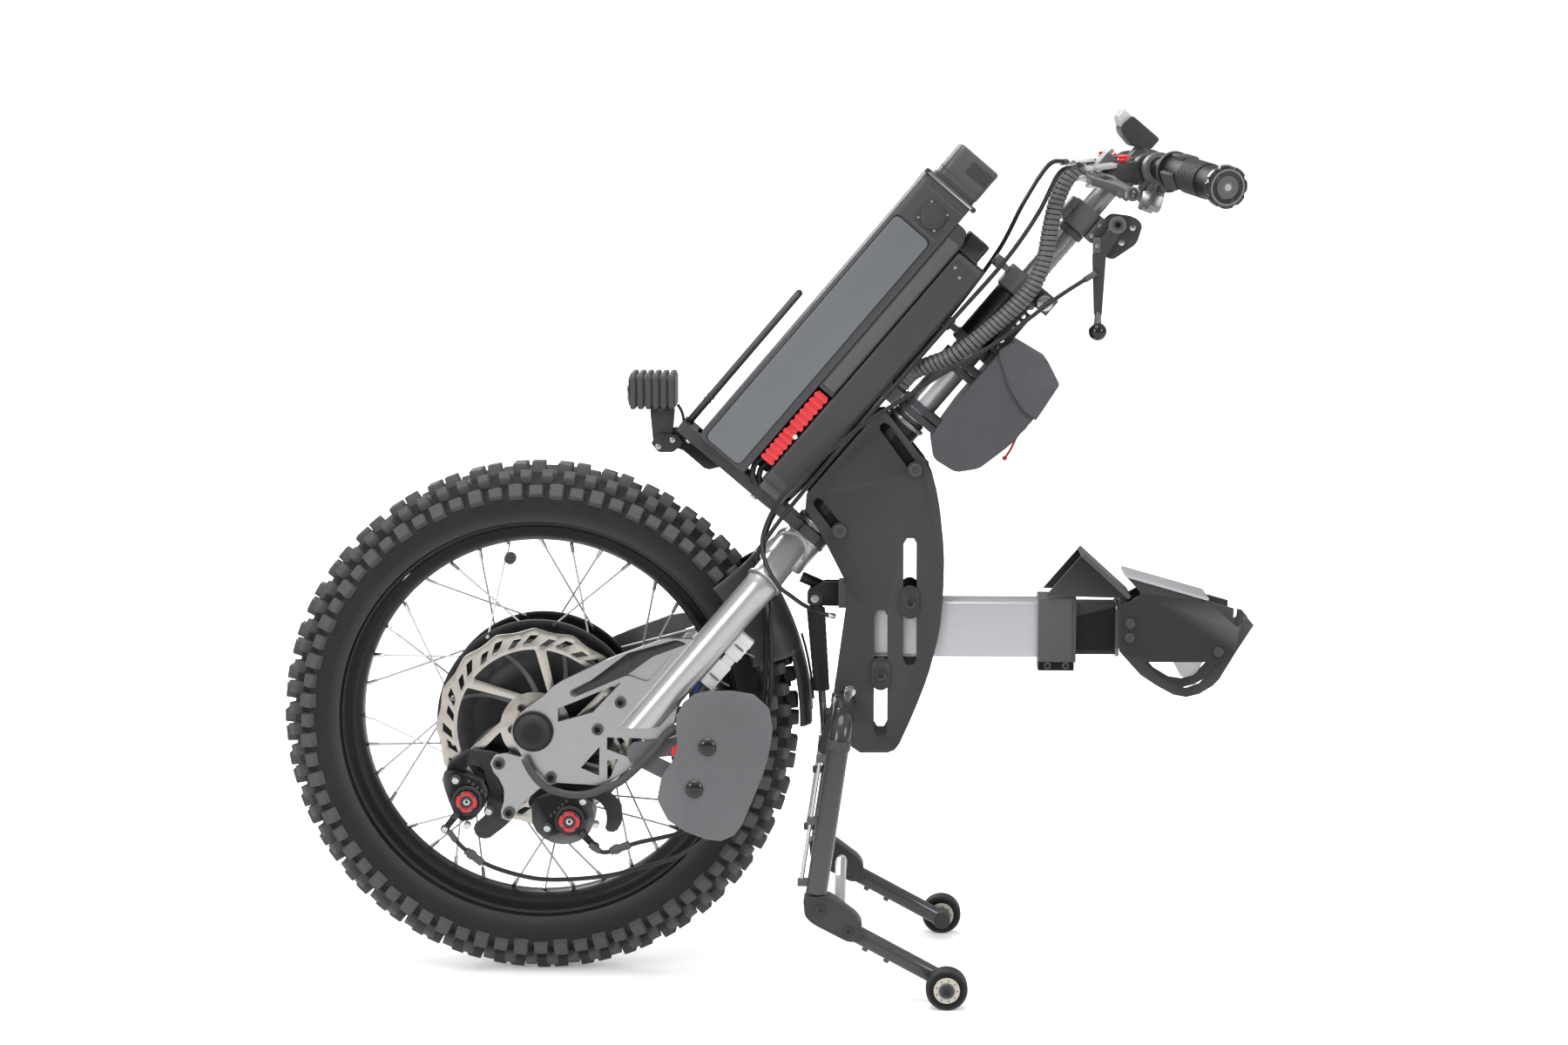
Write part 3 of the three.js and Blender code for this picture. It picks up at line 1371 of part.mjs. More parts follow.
function makeStrutBody() {
  const end = strutBodyTop + strutBodyLength;
  const tube = rod(strutPoint(strutBodyTop), strutPoint(end), strutBodyRadius);
  const neck = rod(strutPoint(0), strutPoint(strutBodyTop + sink), strutEyeHalfWidth, coarseSides);
  const half = strutEyeHalfWidth;
  const eye = rod([strutTopX, -half, strutTopZ], [strutTopX, half, strutTopZ], strutEyeRadius);
  const hole = rod([strutTopX, -half - overrun, strutTopZ], [strutTopX, half + overrun, strutTopZ],
    boreFor(strutPinRadius, roundSides));
  const boreStart = strutPoint(strutBodyTop + strutBodyRadius);
  const bore = rod(boreStart, strutPoint(end + overrun), boreFor(strutRodRadius, roundSides));
  return cut(join(tube, neck, eye), hole, bore);
}

function makeStrutRod() {
  const length = Math.hypot(strutLugX - strutTopX, strutLugZ - strutTopZ);
  const start = strutBodyTop + strutBodyRadius + strutRodInset;
  const half = crankInnerY - seatGap;
  const eye = rod([strutLugX, -half, strutLugZ], [strutLugX, half, strutLugZ], strutEyeRadius - sink);
  return join(rod(strutPoint(start), strutPoint(length), strutRodRadius), eye);
}

function makeStrutBracket() {
  const halfY = plateInnerY - seatGap;
  const zs = [strutTopZ - bracketBlockHeight / 3, strutTopZ + bracketBlockHeight * 2 / 3];
  const block = box([bracketBlockX - bracketBlockLength, bracketBlockX], [-halfY, halfY], zs);
  const earY = strutEyeHalfWidth + seatGap + strutEarThickness / 2;
  const ear = [
    [strutTopX - strutEyeRadius, strutTopZ - strutEyeRadius], [bracketBlockX - sink, zs[0]],
    [bracketBlockX - sink, zs[1]], [strutTopX + strutEyeRadius, zs[1]],
    [strutTopX - strutEyeRadius, strutTopZ + strutEyeRadius],
  ];
  const ears = [-1, 1].map((end) => slab(outline(ear, strutPinRadius), strutEarThickness, end * earY));
  const pinEnd = earY + strutEarThickness / 2;
  const pin = rod([strutTopX, -pinEnd, strutTopZ], [strutTopX, pinEnd, strutTopZ], strutPinRadius);
  const stubStart = new THREE.Vector3(bracketStubAcross, 0, -bracketStubDrop).applyMatrix4(headFrame.matrix);
  const stubEnd = [strutTopX + bracketStubRadius, 0, strutTopZ + strutEyeRadius * 1.6];
  const stub = rod(stubStart.toArray(), stubEnd, bracketStubRadius);
  return join(block, ...ears, pin, stub);
}

// The rack: a pierced tray clamped on the steerer, the guard rod and the lamp's nose plate
function makeRack() {
  const low = rackTop - rackThickness;
  const shape = outline([
    [-rackFront, -rackHalfWidth], [-rackTaperStart, -rackHalfWidth],
    [-rackRingRadius / 2, -rackRingRadius * 0.8],
    [0, -rackRingRadius * 0.5], [0, rackRingRadius * 0.5],
    [-rackRingRadius / 2, rackRingRadius * 0.8], [-rackTaperStart, rackHalfWidth], [-rackFront, rackHalfWidth],
  ], rackRound);
  const tray = deck(shape, low, rackTop);
  const ring = rod([0, 0, low], [0, 0, rackTop], rackRingRadius, smoothSides);
  const boreRadius = boreFor(steererRadius, smoothSides);
  const bore = rod([0, 0, low - overrun], [0, 0, rackTop + overrun], boreRadius, smoothSides);
  const holes = [0.3, 0.75].map((share) => {
    const x = -rackFront + (rackFront - rackTaperStart) * share;
    return box([x - rackHoleLength / 2, x + rackHoleLength / 2], [-rackHoleHalfWidth, rackHoleHalfWidth],
      [low - overrun, rackTop + overrun]);
  });
  const guard = bentTube([
    [-guardRodAcross, 0, low + rackThickness / 2], [-guardRodAcross, 0, guardRodTop],
  ], guardRodRadius, guardRodRadius, coarseSides);
  const noseShape = outline(rackNoseShares.map(([across, down]) => [-rackFront * across, low * down]), rackNoseRound);
  const pivot = new THREE.Vector3(lampPivotX, 0, lampPivotZ).applyMatrix4(groundToHead);
  noseShape.holes.push(roundHole(pivot.x, pivot.z, boreFor(leverPivotRadius, roundSides)));
  const nose = slab(noseShape, rackNoseThickness);
  return join(cut(join(tray, ring), bore, ...holes), guard, nose);
}

// The battery case with its side panels, charge port and carrying cap
function makeBattery() {
  const low = rackTop + seatGap;
  const front = -batteryFront;
  const rear = -batteryFront + batteryDepth;
  const section = outline([
    [front, -batteryHalfWidth], [rear, -batteryHalfWidth], [rear, batteryHalfWidth], [front, batteryHalfWidth],
  ], batteryRound);
  const body = deck(section, low, batteryTop);
  const recesses = [-1, 1].map((side) => box(
    [front + panelMargin, rear - panelMargin],
    side < 0 ? [-batteryHalfWidth - overrun, -batteryHalfWidth + panelInset]
      : [batteryHalfWidth - panelInset, batteryHalfWidth + overrun],
    [panelBase, panelTop],
  ));
  const portX = front + batteryDepth / 2;
  const portZ = (panelTop + batteryTop) / 2 - panelMargin;
  const square = portSquare / 2 + sink;
  const port = join(
    box([portX - square, portX + square], [-batteryHalfWidth - portHeight / 2, -batteryHalfWidth + sink],
      [portZ - square, portZ + square]),
    rod(
      [portX, -batteryHalfWidth, portZ], [portX, -batteryHalfWidth - portHeight, portZ],
      portRadius - overrun, smoothSides,
    ),
  );
  const cap = box(
    [front + batteryCapInset, rear - batteryCapInset / 2], [-batteryCapHalfWidth, batteryCapHalfWidth],
    [batteryTop - sink, batteryTop + batteryCapHeight],
  );
  const slotZ = batteryTop + batteryCapHeight - handleSlotHeight * 1.4;
  const slot = box(
    [portX - handleSlotLength / 2, portX + handleSlotLength / 2],
    [-batteryCapHalfWidth * 0.7, batteryCapHalfWidth * 0.7],
    [slotZ, batteryTop + batteryCapHeight + overrun],
  );
  return join(cut(body, ...recesses), port, cut(cap, slot));
}

// The controller box with its plug block above and the hose gland behind
function makeController() {
  const half = controllerHalfWidth;
  const section = outline([
    [-controllerFront, -half], [-controllerRear - controllerSpine, -half],
    [-controllerRear, -half + controllerSpine], [-controllerRear, half - controllerSpine],
    [-controllerRear - controllerSpine, half], [-controllerFront, half],
  ], controllerSpine / 2);
  const body = deck(section, controllerBase, controllerTop);
  const plug = box([-controllerPlugFront, -controllerPlugRear], [-controllerPlugHalfWidth, controllerPlugHalfWidth],
    [controllerTop - sink, controllerPlugTop]);
  const gland = box([-controllerRear - sink, -glandFront], [-glandNearY, -glandFarY], [glandBase, glandTop]);
  const foot = box([-controllerFront * 0.9, -controllerRear - controllerSpine], [-half * 0.4, half * 0.4],
    [rackTop + seatGap, controllerBase + sink]);
  return join(body, plug, gland, foot);
}

// The ribbed battery plug between the battery and the controller
function makePowerPlug() {
  const front = -batteryFront + batteryDepth + seatGap;
  const rear = -controllerFront - seatGap;
  const depth = rear - front;
  const coreYs = [-plugY - plugHalfWidth, -plugY + plugHalfWidth];
  const core = box([front, rear - depth * 0.12], coreYs, [plugBase, plugTop]);
  const pitch = (plugTop - plugBase) / plugRibs;
  const ribs = [];
  for (let i = 0; i < plugRibs; i += 1) {
    const z = plugBase + pitch * (i + 0.5);
    const reach = plugY + plugHalfWidth + plugRibDepth;
    const rib = box([front, rear], [-reach, -plugY], [z - pitch * 0.32, z + pitch * 0.32]);
    if (i !== plugRibs / 2) ribs.push(rib);
  }
  return join(core, ...ribs);
}

// The lower column, sleeved on the steerer and bored for the upper tube
function makeLowerColumn() {
  return turnedAboutZ([
    [steererRadius + seatGap, columnBase], [columnRadius, columnBase], [columnRadius, columnTop],
    [upperTubeRadius + seatGap, columnTop], [upperTubeRadius + seatGap, steererTop + overrun],
    [steererRadius + seatGap, steererTop + overrun],
  ], smoothSides);
}

// The telescope clamp with its two bolted ears and its quick lever
function makeColumnClamp() {
  const sleeve = turnedAboutZ([
    [columnRadius + seatGap, clampBase], [clampRadius, clampBase], [clampRadius, clampTop],
    [upperTubeRadius + seatGap, clampTop], [upperTubeRadius + seatGap, columnTop + overrun],
    [columnRadius + seatGap, columnTop + overrun],
  ], smoothSides);
  const lowEar = clampBase + clampEarHeight / 2;
  const highEar = clampTop - clampEarHeight / 2;
  const ears = [lowEar, highEar].map((z) => {
    const reach = -clampRadius - clampEarLength * (z === highEar ? 1 : 0.45);
    const ear = box([reach, -clampRadius + overrun], [-clampEarThickness, clampEarThickness],
      [z - clampEarHeight / 2, z + clampEarHeight / 2]);
    const bolt = rod([reach + clampBoltRadius, -clampEarThickness - clampBoltHead, z],
      [reach + clampBoltRadius, clampEarThickness + clampBoltHead, z], clampBoltRadius, coarseSides);
    return join(ear, bolt);
  });
  const leverZ = clampTop - clampLeverRadius;
  const lever = rod([clampLeverAcross, -clampLeverReach, leverZ], [clampLeverAcross, clampLeverReach, leverZ],
    clampLeverRadius, roundSides);
  const bore = rod([0, 0, clampBase], [0, 0, clampTop + overrun], upperTubeRadius + seatGap, smoothSides);
  const lowRadius = columnRadius + seatGap;
  const lowBore = rod([0, 0, clampBase - overrun], [0, 0, columnTop + overrun], lowRadius, smoothSides);
  return cut(join(sleeve, ...ears, lever), bore, lowBore);
}

// The pouch, closed flap up, on two straps round the column
function makePouch() {
  const points = scaled(pouchShares, pouchFront, pouchDepth, pouchBase, pouchHeight);
  const bag = slab(outline(points, pouchRound), pouchHalfWidth * 2);
  const inner = columnRadius + seatGap;
  const straps = strapHeights.map((z) => {
    const low = z - strapWidth / 2;
    const high = z + strapWidth / 2;
    const loop = rod([0, 0, low], [0, 0, high], inner + strapThickness, smoothSides);
    const tab = box([0, pouchFront + strapThickness * 3], [-strapWidth / 2, strapWidth / 2], [low, high]);
    const bore = rod([0, 0, low - overrun], [0, 0, high + overrun], inner, smoothSides);
    return cut(join(loop, tab), bore);
  });
  return join(bag, ...straps);
}

// Handlebar places, and a frame for each hand's controls
function barPoint(side, y) {
  const index = barStations.findIndex(([, out]) => out >= y);
  const [a, b] = [barStations[index - 1], barStations[index]];
  const share = (y - a[1]) / (b[1] - a[1]);
  const point = a.map((value, k) => value + (b[k] - value) * share);
  return new THREE.Vector3(point[0], side * point[1], point[2]);
}

function barDirection(side, y) {
  return barPoint(side, y + 1).sub(barPoint(side, y)).normalize();
}

function makeHandlebar() {
  const far = barStations.slice(1);
  const corners = [...far.map(([x, y, z]) => [x, -y, z]).reverse(), ...far];
  const bar = bentTube(corners, barRadius, barRadius);
  const stemTop = barStations[0][2] + sink;
  const stem = rod([0, -stemHalfWidth, stemTop], [0, stemHalfWidth, stemTop], stemRadius);
  const socket = rod([0, 0, barStations[0][2] - stemRadius], [0, 0, upperTubeTop + seatGap],
    upperTubeRadius + seatGap, smoothSides);
  const collar = rod([0, 0, barStations[0][2] - stemRadius], [0, 0, upperTubeTop + seatGap],
    upperTubeRadius + stemCollar, smoothSides);
  const legs = [-1, 1].map((side) => box(
    [-displayLegWidth / 2, displayLegWidth / 2],
    side < 0 ? [-stemHalfWidth, -stemHalfWidth + displayLegWidth / 2] : [stemHalfWidth - displayLegWidth / 2, stemHalfWidth],
    [barStations[0][2], displayBase - seatGap],
  ));
  const perches = [-1, 1].map((side) => makePerch(side));
  return join(cut(join(bar, stem, collar, ...legs), socket), ...perches);
}

// A brake perch reaching ahead of the bar, slotted for its lever
function perchAim() {
  return new THREE.Vector3(-Math.cos(leverPerchDrop), 0, -Math.sin(leverPerchDrop));
}

function leverFrame(side) {
  const out = barDirection(side, barStations.at(-1)[1] - gripLength);
  const aim = perchAim();
  const hinge = new THREE.Vector3().crossVectors(out, aim).normalize();
  const ahead = new THREE.Vector3().crossVectors(hinge, out).normalize();
  const pivot = barPoint(side, leverMountY).addScaledVector(ahead, leverPerchReach);
  return { out, ahead, hinge, pivot };
}

function makePerch(side) {
  const { out, ahead, hinge, pivot } = leverFrame(side);
  const at = barPoint(side, leverMountY);
  const half = leverMountWidth / 2;
  const along = barDirection(side, leverMountY);
  const ring = rod(
    at.clone().addScaledVector(along, -half).toArray(), at.clone().addScaledVector(along, half).toArray(),
    leverMountRing,
  );
  const basis = new THREE.Matrix4().makeBasis(out, hinge, ahead).setPosition(at);
  const height = leverPerchHeight / 2 + leverThickness / 2;
  const arm = box([-half, half], [-height, height], [barRadius, leverPerchReach + leverPivotRadius * 2]);
  const slotHalf = leverThickness / 2 + seatGap;
  const slot = box([-leverPerchWidth, leverPerchWidth], [-slotHalf, slotHalf],
    [leverPerchReach * 0.66, leverPerchReach * 1.5]);
  const end = height + sink;
  const pin = rod(
    pivot.clone().addScaledVector(hinge, -end).toArray(), pivot.clone().addScaledVector(hinge, end).toArray(),
    leverPinRadius, coarseSides,
  );
  const { from, top } = lockButtonPlace(side);
  const well = rod(
    from.clone().addScaledVector(top, -lockButtonTravel - sink).toArray(),
    from.clone().addScaledVector(top, lockButtonHeight).toArray(), boreFor(lockStemRadius, coarseSides), coarseSides,
  );
  return join(cut(join(ring, moved(cut(arm, slot), basis)), well), pin);
}

function lockButtonPlace(side) {
  const { ahead, hinge } = leverFrame(side);
  const top = hinge.clone().multiplyScalar(side);
  const base = leverPerchHeight / 2 + leverThickness / 2;
  const from = barPoint(side, leverMountY).addScaledVector(ahead, leverPerchReach * 0.45).addScaledVector(top, base);
  return { from, top };
}

// A brake lever blade with its window and ball end
function makeBrakeLever(side) {
  const { out, ahead, hinge, pivot } = leverFrame(side);
  const points = leverShares.map(([along, across]) => [along * leverLength, across * leverWidth]);
  const shape = outline(points, leverWidth * 0.3);
  const window = leverWindowShares.map(([along, across]) => [along * leverLength, across * leverWidth]);
  shape.holes.push(outline(window, 1, THREE.Path));
  shape.holes.push(roundHole(0, 0, boreFor(leverPinRadius, roundSides)));
  const blade = join(slab(shape, leverThickness), ball([leverLength, 0, 0], leverBallRadius));
  const basis = new THREE.Matrix4().makeBasis(out, hinge, ahead).setPosition(pivot);
  return moved(blade, basis.multiply(new THREE.Matrix4().makeRotationY(-leverSplay)));
}

// A parking lock button whose stem sinks in a well of the perch
function makeLockButton(side) {
  const { from, top } = lockButtonPlace(side);
  const at = (height) => from.clone().addScaledVector(top, height).toArray();
  const base = lockButtonTravel + seatGap;
  return join(
    rod(at(-seatGap), at(base + sink), lockStemRadius, coarseSides),
    rod(at(base), at(base + lockButtonHeight), lockButtonRadius),
  );
}

// A grip along the bar's straight end, ringed and closed by its end clamp
function makeGrip(side) {
  const last = barStations.at(-1);
  const end = new THREE.Vector3(last[0], side * last[1], last[2]);
  const out = barDirection(side, leverMountY + gripLength / 2 + leverMountWidth);
  const at = (distance) => end.clone().addScaledVector(out, -distance).toArray();
  const full = gripLength;
  const body = rod(at(full), at(gripRingLength - sink), gripRadius, roundSides);
  const flange = rod(at(full), at(full - gripFlangeLength), gripFlangeRadius, roundSides);
  const ring = rod(at(gripRingLength), at(0), gripRingRadius, roundSides);
  const bore = rod(at(full + overrun), at(-overrun), boreFor(barRadius, wheelSegments), wheelSegments);
  const pitch = (full - gripRingLength - gripFlangeLength) / (gripRings + 1);
  const bands = [];
  for (let i = 1; i <= gripRings; i += 1) {
    const middle = gripRingLength + pitch * i;
    const [outer, inner] = [at(middle + pitch * 0.25), at(middle - pitch * 0.25)];
    bands.push(rod(outer, inner, gripRadius + gripGrooveDepth, roundSides));
  }
  return cut(join(body, flange, ring, ...bands), bore);
}

function makeDisplay() {
  const points = [
    [-displayFront, displayBase + displayHeight * 0.35], [-displayFront * 0.7, displayBase],
    [displayDepth - displayFront, displayBase], [displayDepth - displayFront, displayBase + displayHeight],
    [-displayFront, displayBase + displayHeight],
  ];
  return slab(outline(points, displayRound), displayHalfWidth * 2);
}

// The thumb throttle: a ring on the bar with its paddle below
function makeThrottle() {
  const at = barPoint(-1, throttleY);
  const out = barDirection(-1, throttleY);
  const half = throttleRingWidth / 2;
  const ring = rod(at.clone().addScaledVector(out, -half).toArray(), at.clone().addScaledVector(out, half).toArray(),
    throttleRingRadius, roundSides);
  const bore = rod(at.clone().addScaledVector(out, -half - overrun).toArray(),
    at.clone().addScaledVector(out, half + overrun).toArray(), boreFor(barRadius, roundSides), roundSides);
  const down = new THREE.Vector3(0.35, 0, -0.94);
  const hinge = new THREE.Vector3().crossVectors(down, out).normalize();
  const below = new THREE.Vector3().crossVectors(out, hinge).normalize();
  const basis = new THREE.Matrix4().makeBasis(out, hinge, below).setPosition(at);
  const paddle = box([-half, -half + throttlePaddleLength], [-throttlePaddleThickness / 2, throttlePaddleThickness / 2],
    [throttlePaddleReach - throttlePaddleWidth, throttlePaddleReach]);
  const neck = box([-half, half], [-throttlePaddleThickness / 2, throttlePaddleThickness / 2],
    [barRadius + overrun, throttlePaddleReach]);
  return cut(join(ring, moved(join(paddle, neck), basis)), bore);
}

// The upper tube with the block and plate that carry the release lever
function makeUpperColumn() {
  const tube = rod([0, 0, upperTubeBase], [0, 0, upperTubeTop], upperTubeRadius, smoothSides);
  const half = releaseBlockHalfWidth;
  const block = box([-releaseBlockFront, releaseBlockRear], [-half, half],
    [releaseBlockBase, releaseBlockBase + releaseBlockHeight]);
  const plateY = -half - releasePlateThickness / 2 + sink;
  const plate = slab(outline(releasePlateShares, releasePlateRound), releasePlateThickness, plateY);
  const far = -half - releasePlateThickness - releaseLeverThickness - seatGap * 2;
  const pin = rod([releasePivotAcross, plateY, releasePivotAlong], [releasePivotAcross, far - overrun, releasePivotAlong],
    leverPivotRadius);
  const head = rod([releasePivotAcross, far, releasePivotAlong], [releasePivotAcross, far - releasePinHead, releasePivotAlong],
    leverPivotRadius * 1.6);
  return join(tube, block, plate, pin, head);
}

// The release lever: a cranked bar hanging from its pivot to a ball knob
function makeReleaseLever() {
  const pivot = new THREE.Vector3(releasePivotAcross, 0, releasePivotAlong).applyMatrix4(headFrame.matrix);
  const half = releaseLeverWidth / 2;
  const knee = [pivot.x - releaseLeverForward, pivot.z - releaseLeverKneeDrop];
  const points = [
    [pivot.x - half, pivot.z + half], [pivot.x + half, pivot.z + half], [pivot.x + half, pivot.z - half],
    [knee[0] + half, knee[1]], [knee[0] + half + releaseKneeSet, pivot.z - releaseLeverDrop],
    [knee[0] - half + releaseKneeSet, pivot.z - releaseLeverDrop], [knee[0] - half, knee[1]],
  ];
  const plateOuter = releaseBlockHalfWidth + releasePlateThickness - sink;
  const y = -plateOuter - seatGap - releaseLeverThickness / 2;
  const bar = slab(outline(points, releaseLeverRound), releaseLeverThickness, y);
  const knob = ball([knee[0] + releaseKneeSet, y, pivot.z - releaseBallDrop], releaseBallRadius, roundSides);
  const neck = rod(
    [knee[0] + releaseKneeSet, y, pivot.z - releaseLeverDrop + overrun],
    [knee[0] + releaseKneeSet, y, pivot.z - releaseBallDrop], releaseLeverThickness / 2, coarseSides,
  );
  const hole = rod(
    [pivot.x, y - releaseLeverThickness, pivot.z], [pivot.x, y + releaseLeverThickness, pivot.z],
    boreFor(leverPivotRadius, roundSides),
  );
  return moved(cut(join(bar, knob, neck), hole), groundToHead);
}

// The finned lamp on its tilting bracket
function makeLamp() {
  const top = lampBase + lampHeight;
  const zs = [lampBase - overrun, top + overrun];
  const body = box([lampFront, lampFront + lampLength], [-lampHalfWidth, lampHalfWidth], [lampBase, top]);
  const pitch = lampLength / lampFins;
  const cuts = [];
  for (let i = 1; i < lampFins; i += 1) {
    const x = lampFront + pitch * i;
    const xs = [x - pitch * 0.2, x + pitch * 0.2];
    const reach = lampHalfWidth + overrun;
    cuts.push(box(xs, [-reach, -lampHalfWidth + lampFinDepth], zs));
    cuts.push(box(xs, [lampHalfWidth - lampFinDepth, reach], zs));
    cuts.push(box(xs, [-reach, reach], [top - lampFinDepth, top + overrun]));
  }
  const lens = box([lampFront - lampLensInset, lampFront + sink], [-lampHalfWidth * 0.85, lampHalfWidth * 0.85],
    [lampBase + lampHeight * 0.1, lampBase + lampHeight * 0.9]);
  const earY = lampEarHalfGap + lampEarThickness / 2;
  const ear = outline([
    [lampPivotX - lampEarRadius, lampPivotZ - lampEarRadius],
    [lampPivotX + lampEarRadius, lampPivotZ - lampEarRadius],
    [lampPivotX + lampArmWidth, lampBase + sink], [lampPivotX - lampArmWidth, lampBase + sink],
  ], lampEarRound);
  const ears = [-1, 1].map((side) => slab(ear, lampEarThickness, side * earY));
  const end = lampEarHalfGap + lampEarThickness + overrun;
  const bolt = rod([lampPivotX, -end, lampPivotZ], [lampPivotX, end, lampPivotZ], leverPivotRadius);
  return join(cut(body, ...cuts), lens, ...ears, bolt);
}

// A ribbed hose: one skin of crests and valleys outside, a smooth bore inside
function makeHose(route) {
  const points = route.map((point) => new THREE.Vector3(...point));
  const curve = new THREE.CatmullRomCurve3(points, false, 'centripetal');
  const rings = hoseRibs * 2 + 1;
  const centres = curve.getSpacedPoints(rings - 1);
  const frames = curve.computeFrenetFrames(rings - 1, false);
  const positions = [];
  const indices = [];
  const addRing = (i, radius) => {
    const first = positions.length / 3;
    for (let k = 0; k < hoseSides; k += 1) {
      const angle = (k / hoseSides) * Math.PI * 2;
      const point = centres[i].clone()
        .addScaledVector(frames.normals[i], radius * Math.cos(angle))
        .addScaledVector(frames.binormals[i], radius * Math.sin(angle));
      positions.push(point.x, point.y, point.z);
    }
    return first;
  };
  const span = (a, b) => {
    for (let k = 0; k < hoseSides; k += 1) {
      const next = (k + 1) % hoseSides;
      indices.push(a + k, b + k, b + next, a + k, b + next, a + next);
    }
  };
  const outer = centres.map((_, i) => addRing(i, i % 2 ? hoseCrestRadius : hoseValleyRadius));
  const stations = centres.map((_, i) => i).filter((i) => i % (hoseBoreStride * 2) === 0 || i === rings - 1);
  const inner = stations.map((i) => addRing(i, hoseBoreRadius));
  for (let i = 1; i < outer.length; i += 1) span(outer[i], outer[i - 1]);
  for (let i = 1; i < inner.length; i += 1) span(inner[i - 1], inner[i]);
  span(outer[0], inner[0]);
  span(inner.at(-1), outer.at(-1));
  const geometry = new THREE.BufferGeometry();
  geometry.setAttribute('position', new THREE.Float32BufferAttribute(positions, 3));
  geometry.setIndex(indices);
  return solid(geometry);
}

// Routes of the cords: the low ends round the axle, the rest in the steering frame
const leftBrakeLow = [
  [-89, -87.4, -106], [-80, -87.5, -118], [-67, -86.6, -130], [-48, -81, -144], [-2, -74, -159], [31, -70, -161],
  [75, -68, -157], [113, -66, -148], [142, -66, -139], [168, -66, -124], [196, -66, -96], [221, -64, -54],
  [237, -60, -13], [244, -56, 24], [246, -54.5, 69], [245, -54.5, 105],
];
const leftBrakeHigh = [
  [14, -54, -84], [-8, -38, -72], [-28, -38, -57], [-33, -38.5, -30], [-35.5, -41, 20], [-35.5, -41, 150],
  [-35, -41, 251], [-34, -41, 347], [-40, -44, 400], [-52, -70, 446], [-44, -106, 462],
];
const rightBrakeLow = [
  [58, -88.6, -119], [72, -89.4, -127], [90, -85, -123], [110, -80, -118], [132, -76, -114], [155, -72, -108],
  [182, -70, -86], [214, -66, -40], [230, -60, -4], [237, -52, 23], [240, -48.5, 68], [240, -48.5, 104],
];
const rightBrakeHigh = [
  [7, -44, -88], [8, -20, -62], [-22, 24, -58], [-38, 38, -25], [-35.5, 41, 20], [-35.5, 41, 150],
  [-35, 40, 250], [-42, 36, 347], [-54, 44, 400], [-58, 72, 448], [-44, 106, 462],
];
const releaseRoute = [
  [46, -26, 392], [32, -40, 349], [13, -50, 269], [-8, -52, 210], [-23, -52, 159], [-33, -53, 128],
  [-41, -54, 86], [-48, -56, 42], [-49, -60, -1], [-38, -74, -35], [-24, -88, -48], [-8, -99, -55],
  [6, -99, -59], [21, -88, -60], [39, -70, -61], [56, -48, -60], [68, -38, -57], [75, -32, -54],
];
const motorLow = [
  [-8, -95, -27], [-4, -95, -36], [3, -95, -47], [14, -95, -57], [26, -95, -62], [42, -95, -65], [57, -95, -64],
  [74, -95, -58], [89, -95, -52], [107, -95, -37], [127, -95, -16], [140, -95, 0],
];
const motorHigh = [[24, -93, -234], [20, -84, -210], [17, -79, -188]];
const hoseRoute = [
  [-30, -23.5, 170.5], [-30, -23.5, 190], [-23, -29, 208], [-9, -36, 236], [0, -36, 274], [5, -36, 312],
  [5, -36, 341], [-3, -35, 367], [-22, -33, 400], [-34, -31, 424], [-40, -30, 446], [-40, -30, 464],
];

function routeToHead(low, high) {
  const start = low.map((point) => new THREE.Vector3(...point).applyMatrix4(axleToHead).toArray());
  return [...start, ...high];
}

function makeMotorCable() {
  const cable = cord(routeToHead(motorLow, motorHigh), motorCableRadius, motorCableSteps);
  const end = motorHigh.at(-1);
  const half = motorPlugThickness / 2;
  const plug = box(
    [end[0] - half, end[0] + half], [end[1] - half, end[1] + half], [end[2] - sink, end[2] + motorPlugLength],
  );
  return join(cable, plug);
}

// Assembly: the wheel
place(axleFrame, 'tyre', makeTyre(), rubberLook);
place(axleFrame, 'rim', makeRim(), blackLook);
place(axleFrame, 'hub_motor', makeHub(), blackLook);
place(axleFrame, 'brake_rotor', makeRotor(), steelLook);

// Assembly: the fork and what it carries
place(headFrame, 'fork', makeFork(), silverLook);
place(axleFrame, 'dropout_near', makeDropout(-1), silverLook);
place(axleFrame, 'dropout_far', makeDropout(1), silverLook);
place(axleFrame, 'axle', makeAxle(), blackLook);
place(axleFrame, 'mudguard', makeMudguard(), blackLook);
place(axleFrame, 'side_cover_near', makeSideCover(-1), graphiteLook);
place(axleFrame, 'side_cover_far', makeSideCover(1), graphiteLook);
place(axleFrame, 'caliper_carrier', makeCarrier(), silverLook);
place(axleFrame, 'caliper_left', makeCaliper(leftBrake), blackLook);
place(axleFrame, 'caliper_right', makeCaliper(rightBrake), blackLook);
place(axleFrame, 'caliper_arm_left', makeCaliperArm(leftBrake), blackLook);
place(axleFrame, 'caliper_arm_right', makeCaliperArm(rightBrake), blackLook);
place(headFrame, 'rack', makeRack(), blackLook);
place(headFrame, 'battery', makeBattery(), blackLook);
place(headFrame, 'controller', makeController(), graphiteLook);
place(headFrame, 'power_plug', makePowerPlug(), redLook);
place(handcycle, 'lamp', makeLamp(), blackLook);
place(headFrame, 'lower_column', makeLowerColumn(), silverLook);
place(headFrame, 'column_clamp', makeColumnClamp(), blackLook);
place(headFrame, 'pouch', makePouch(), fabricLook);

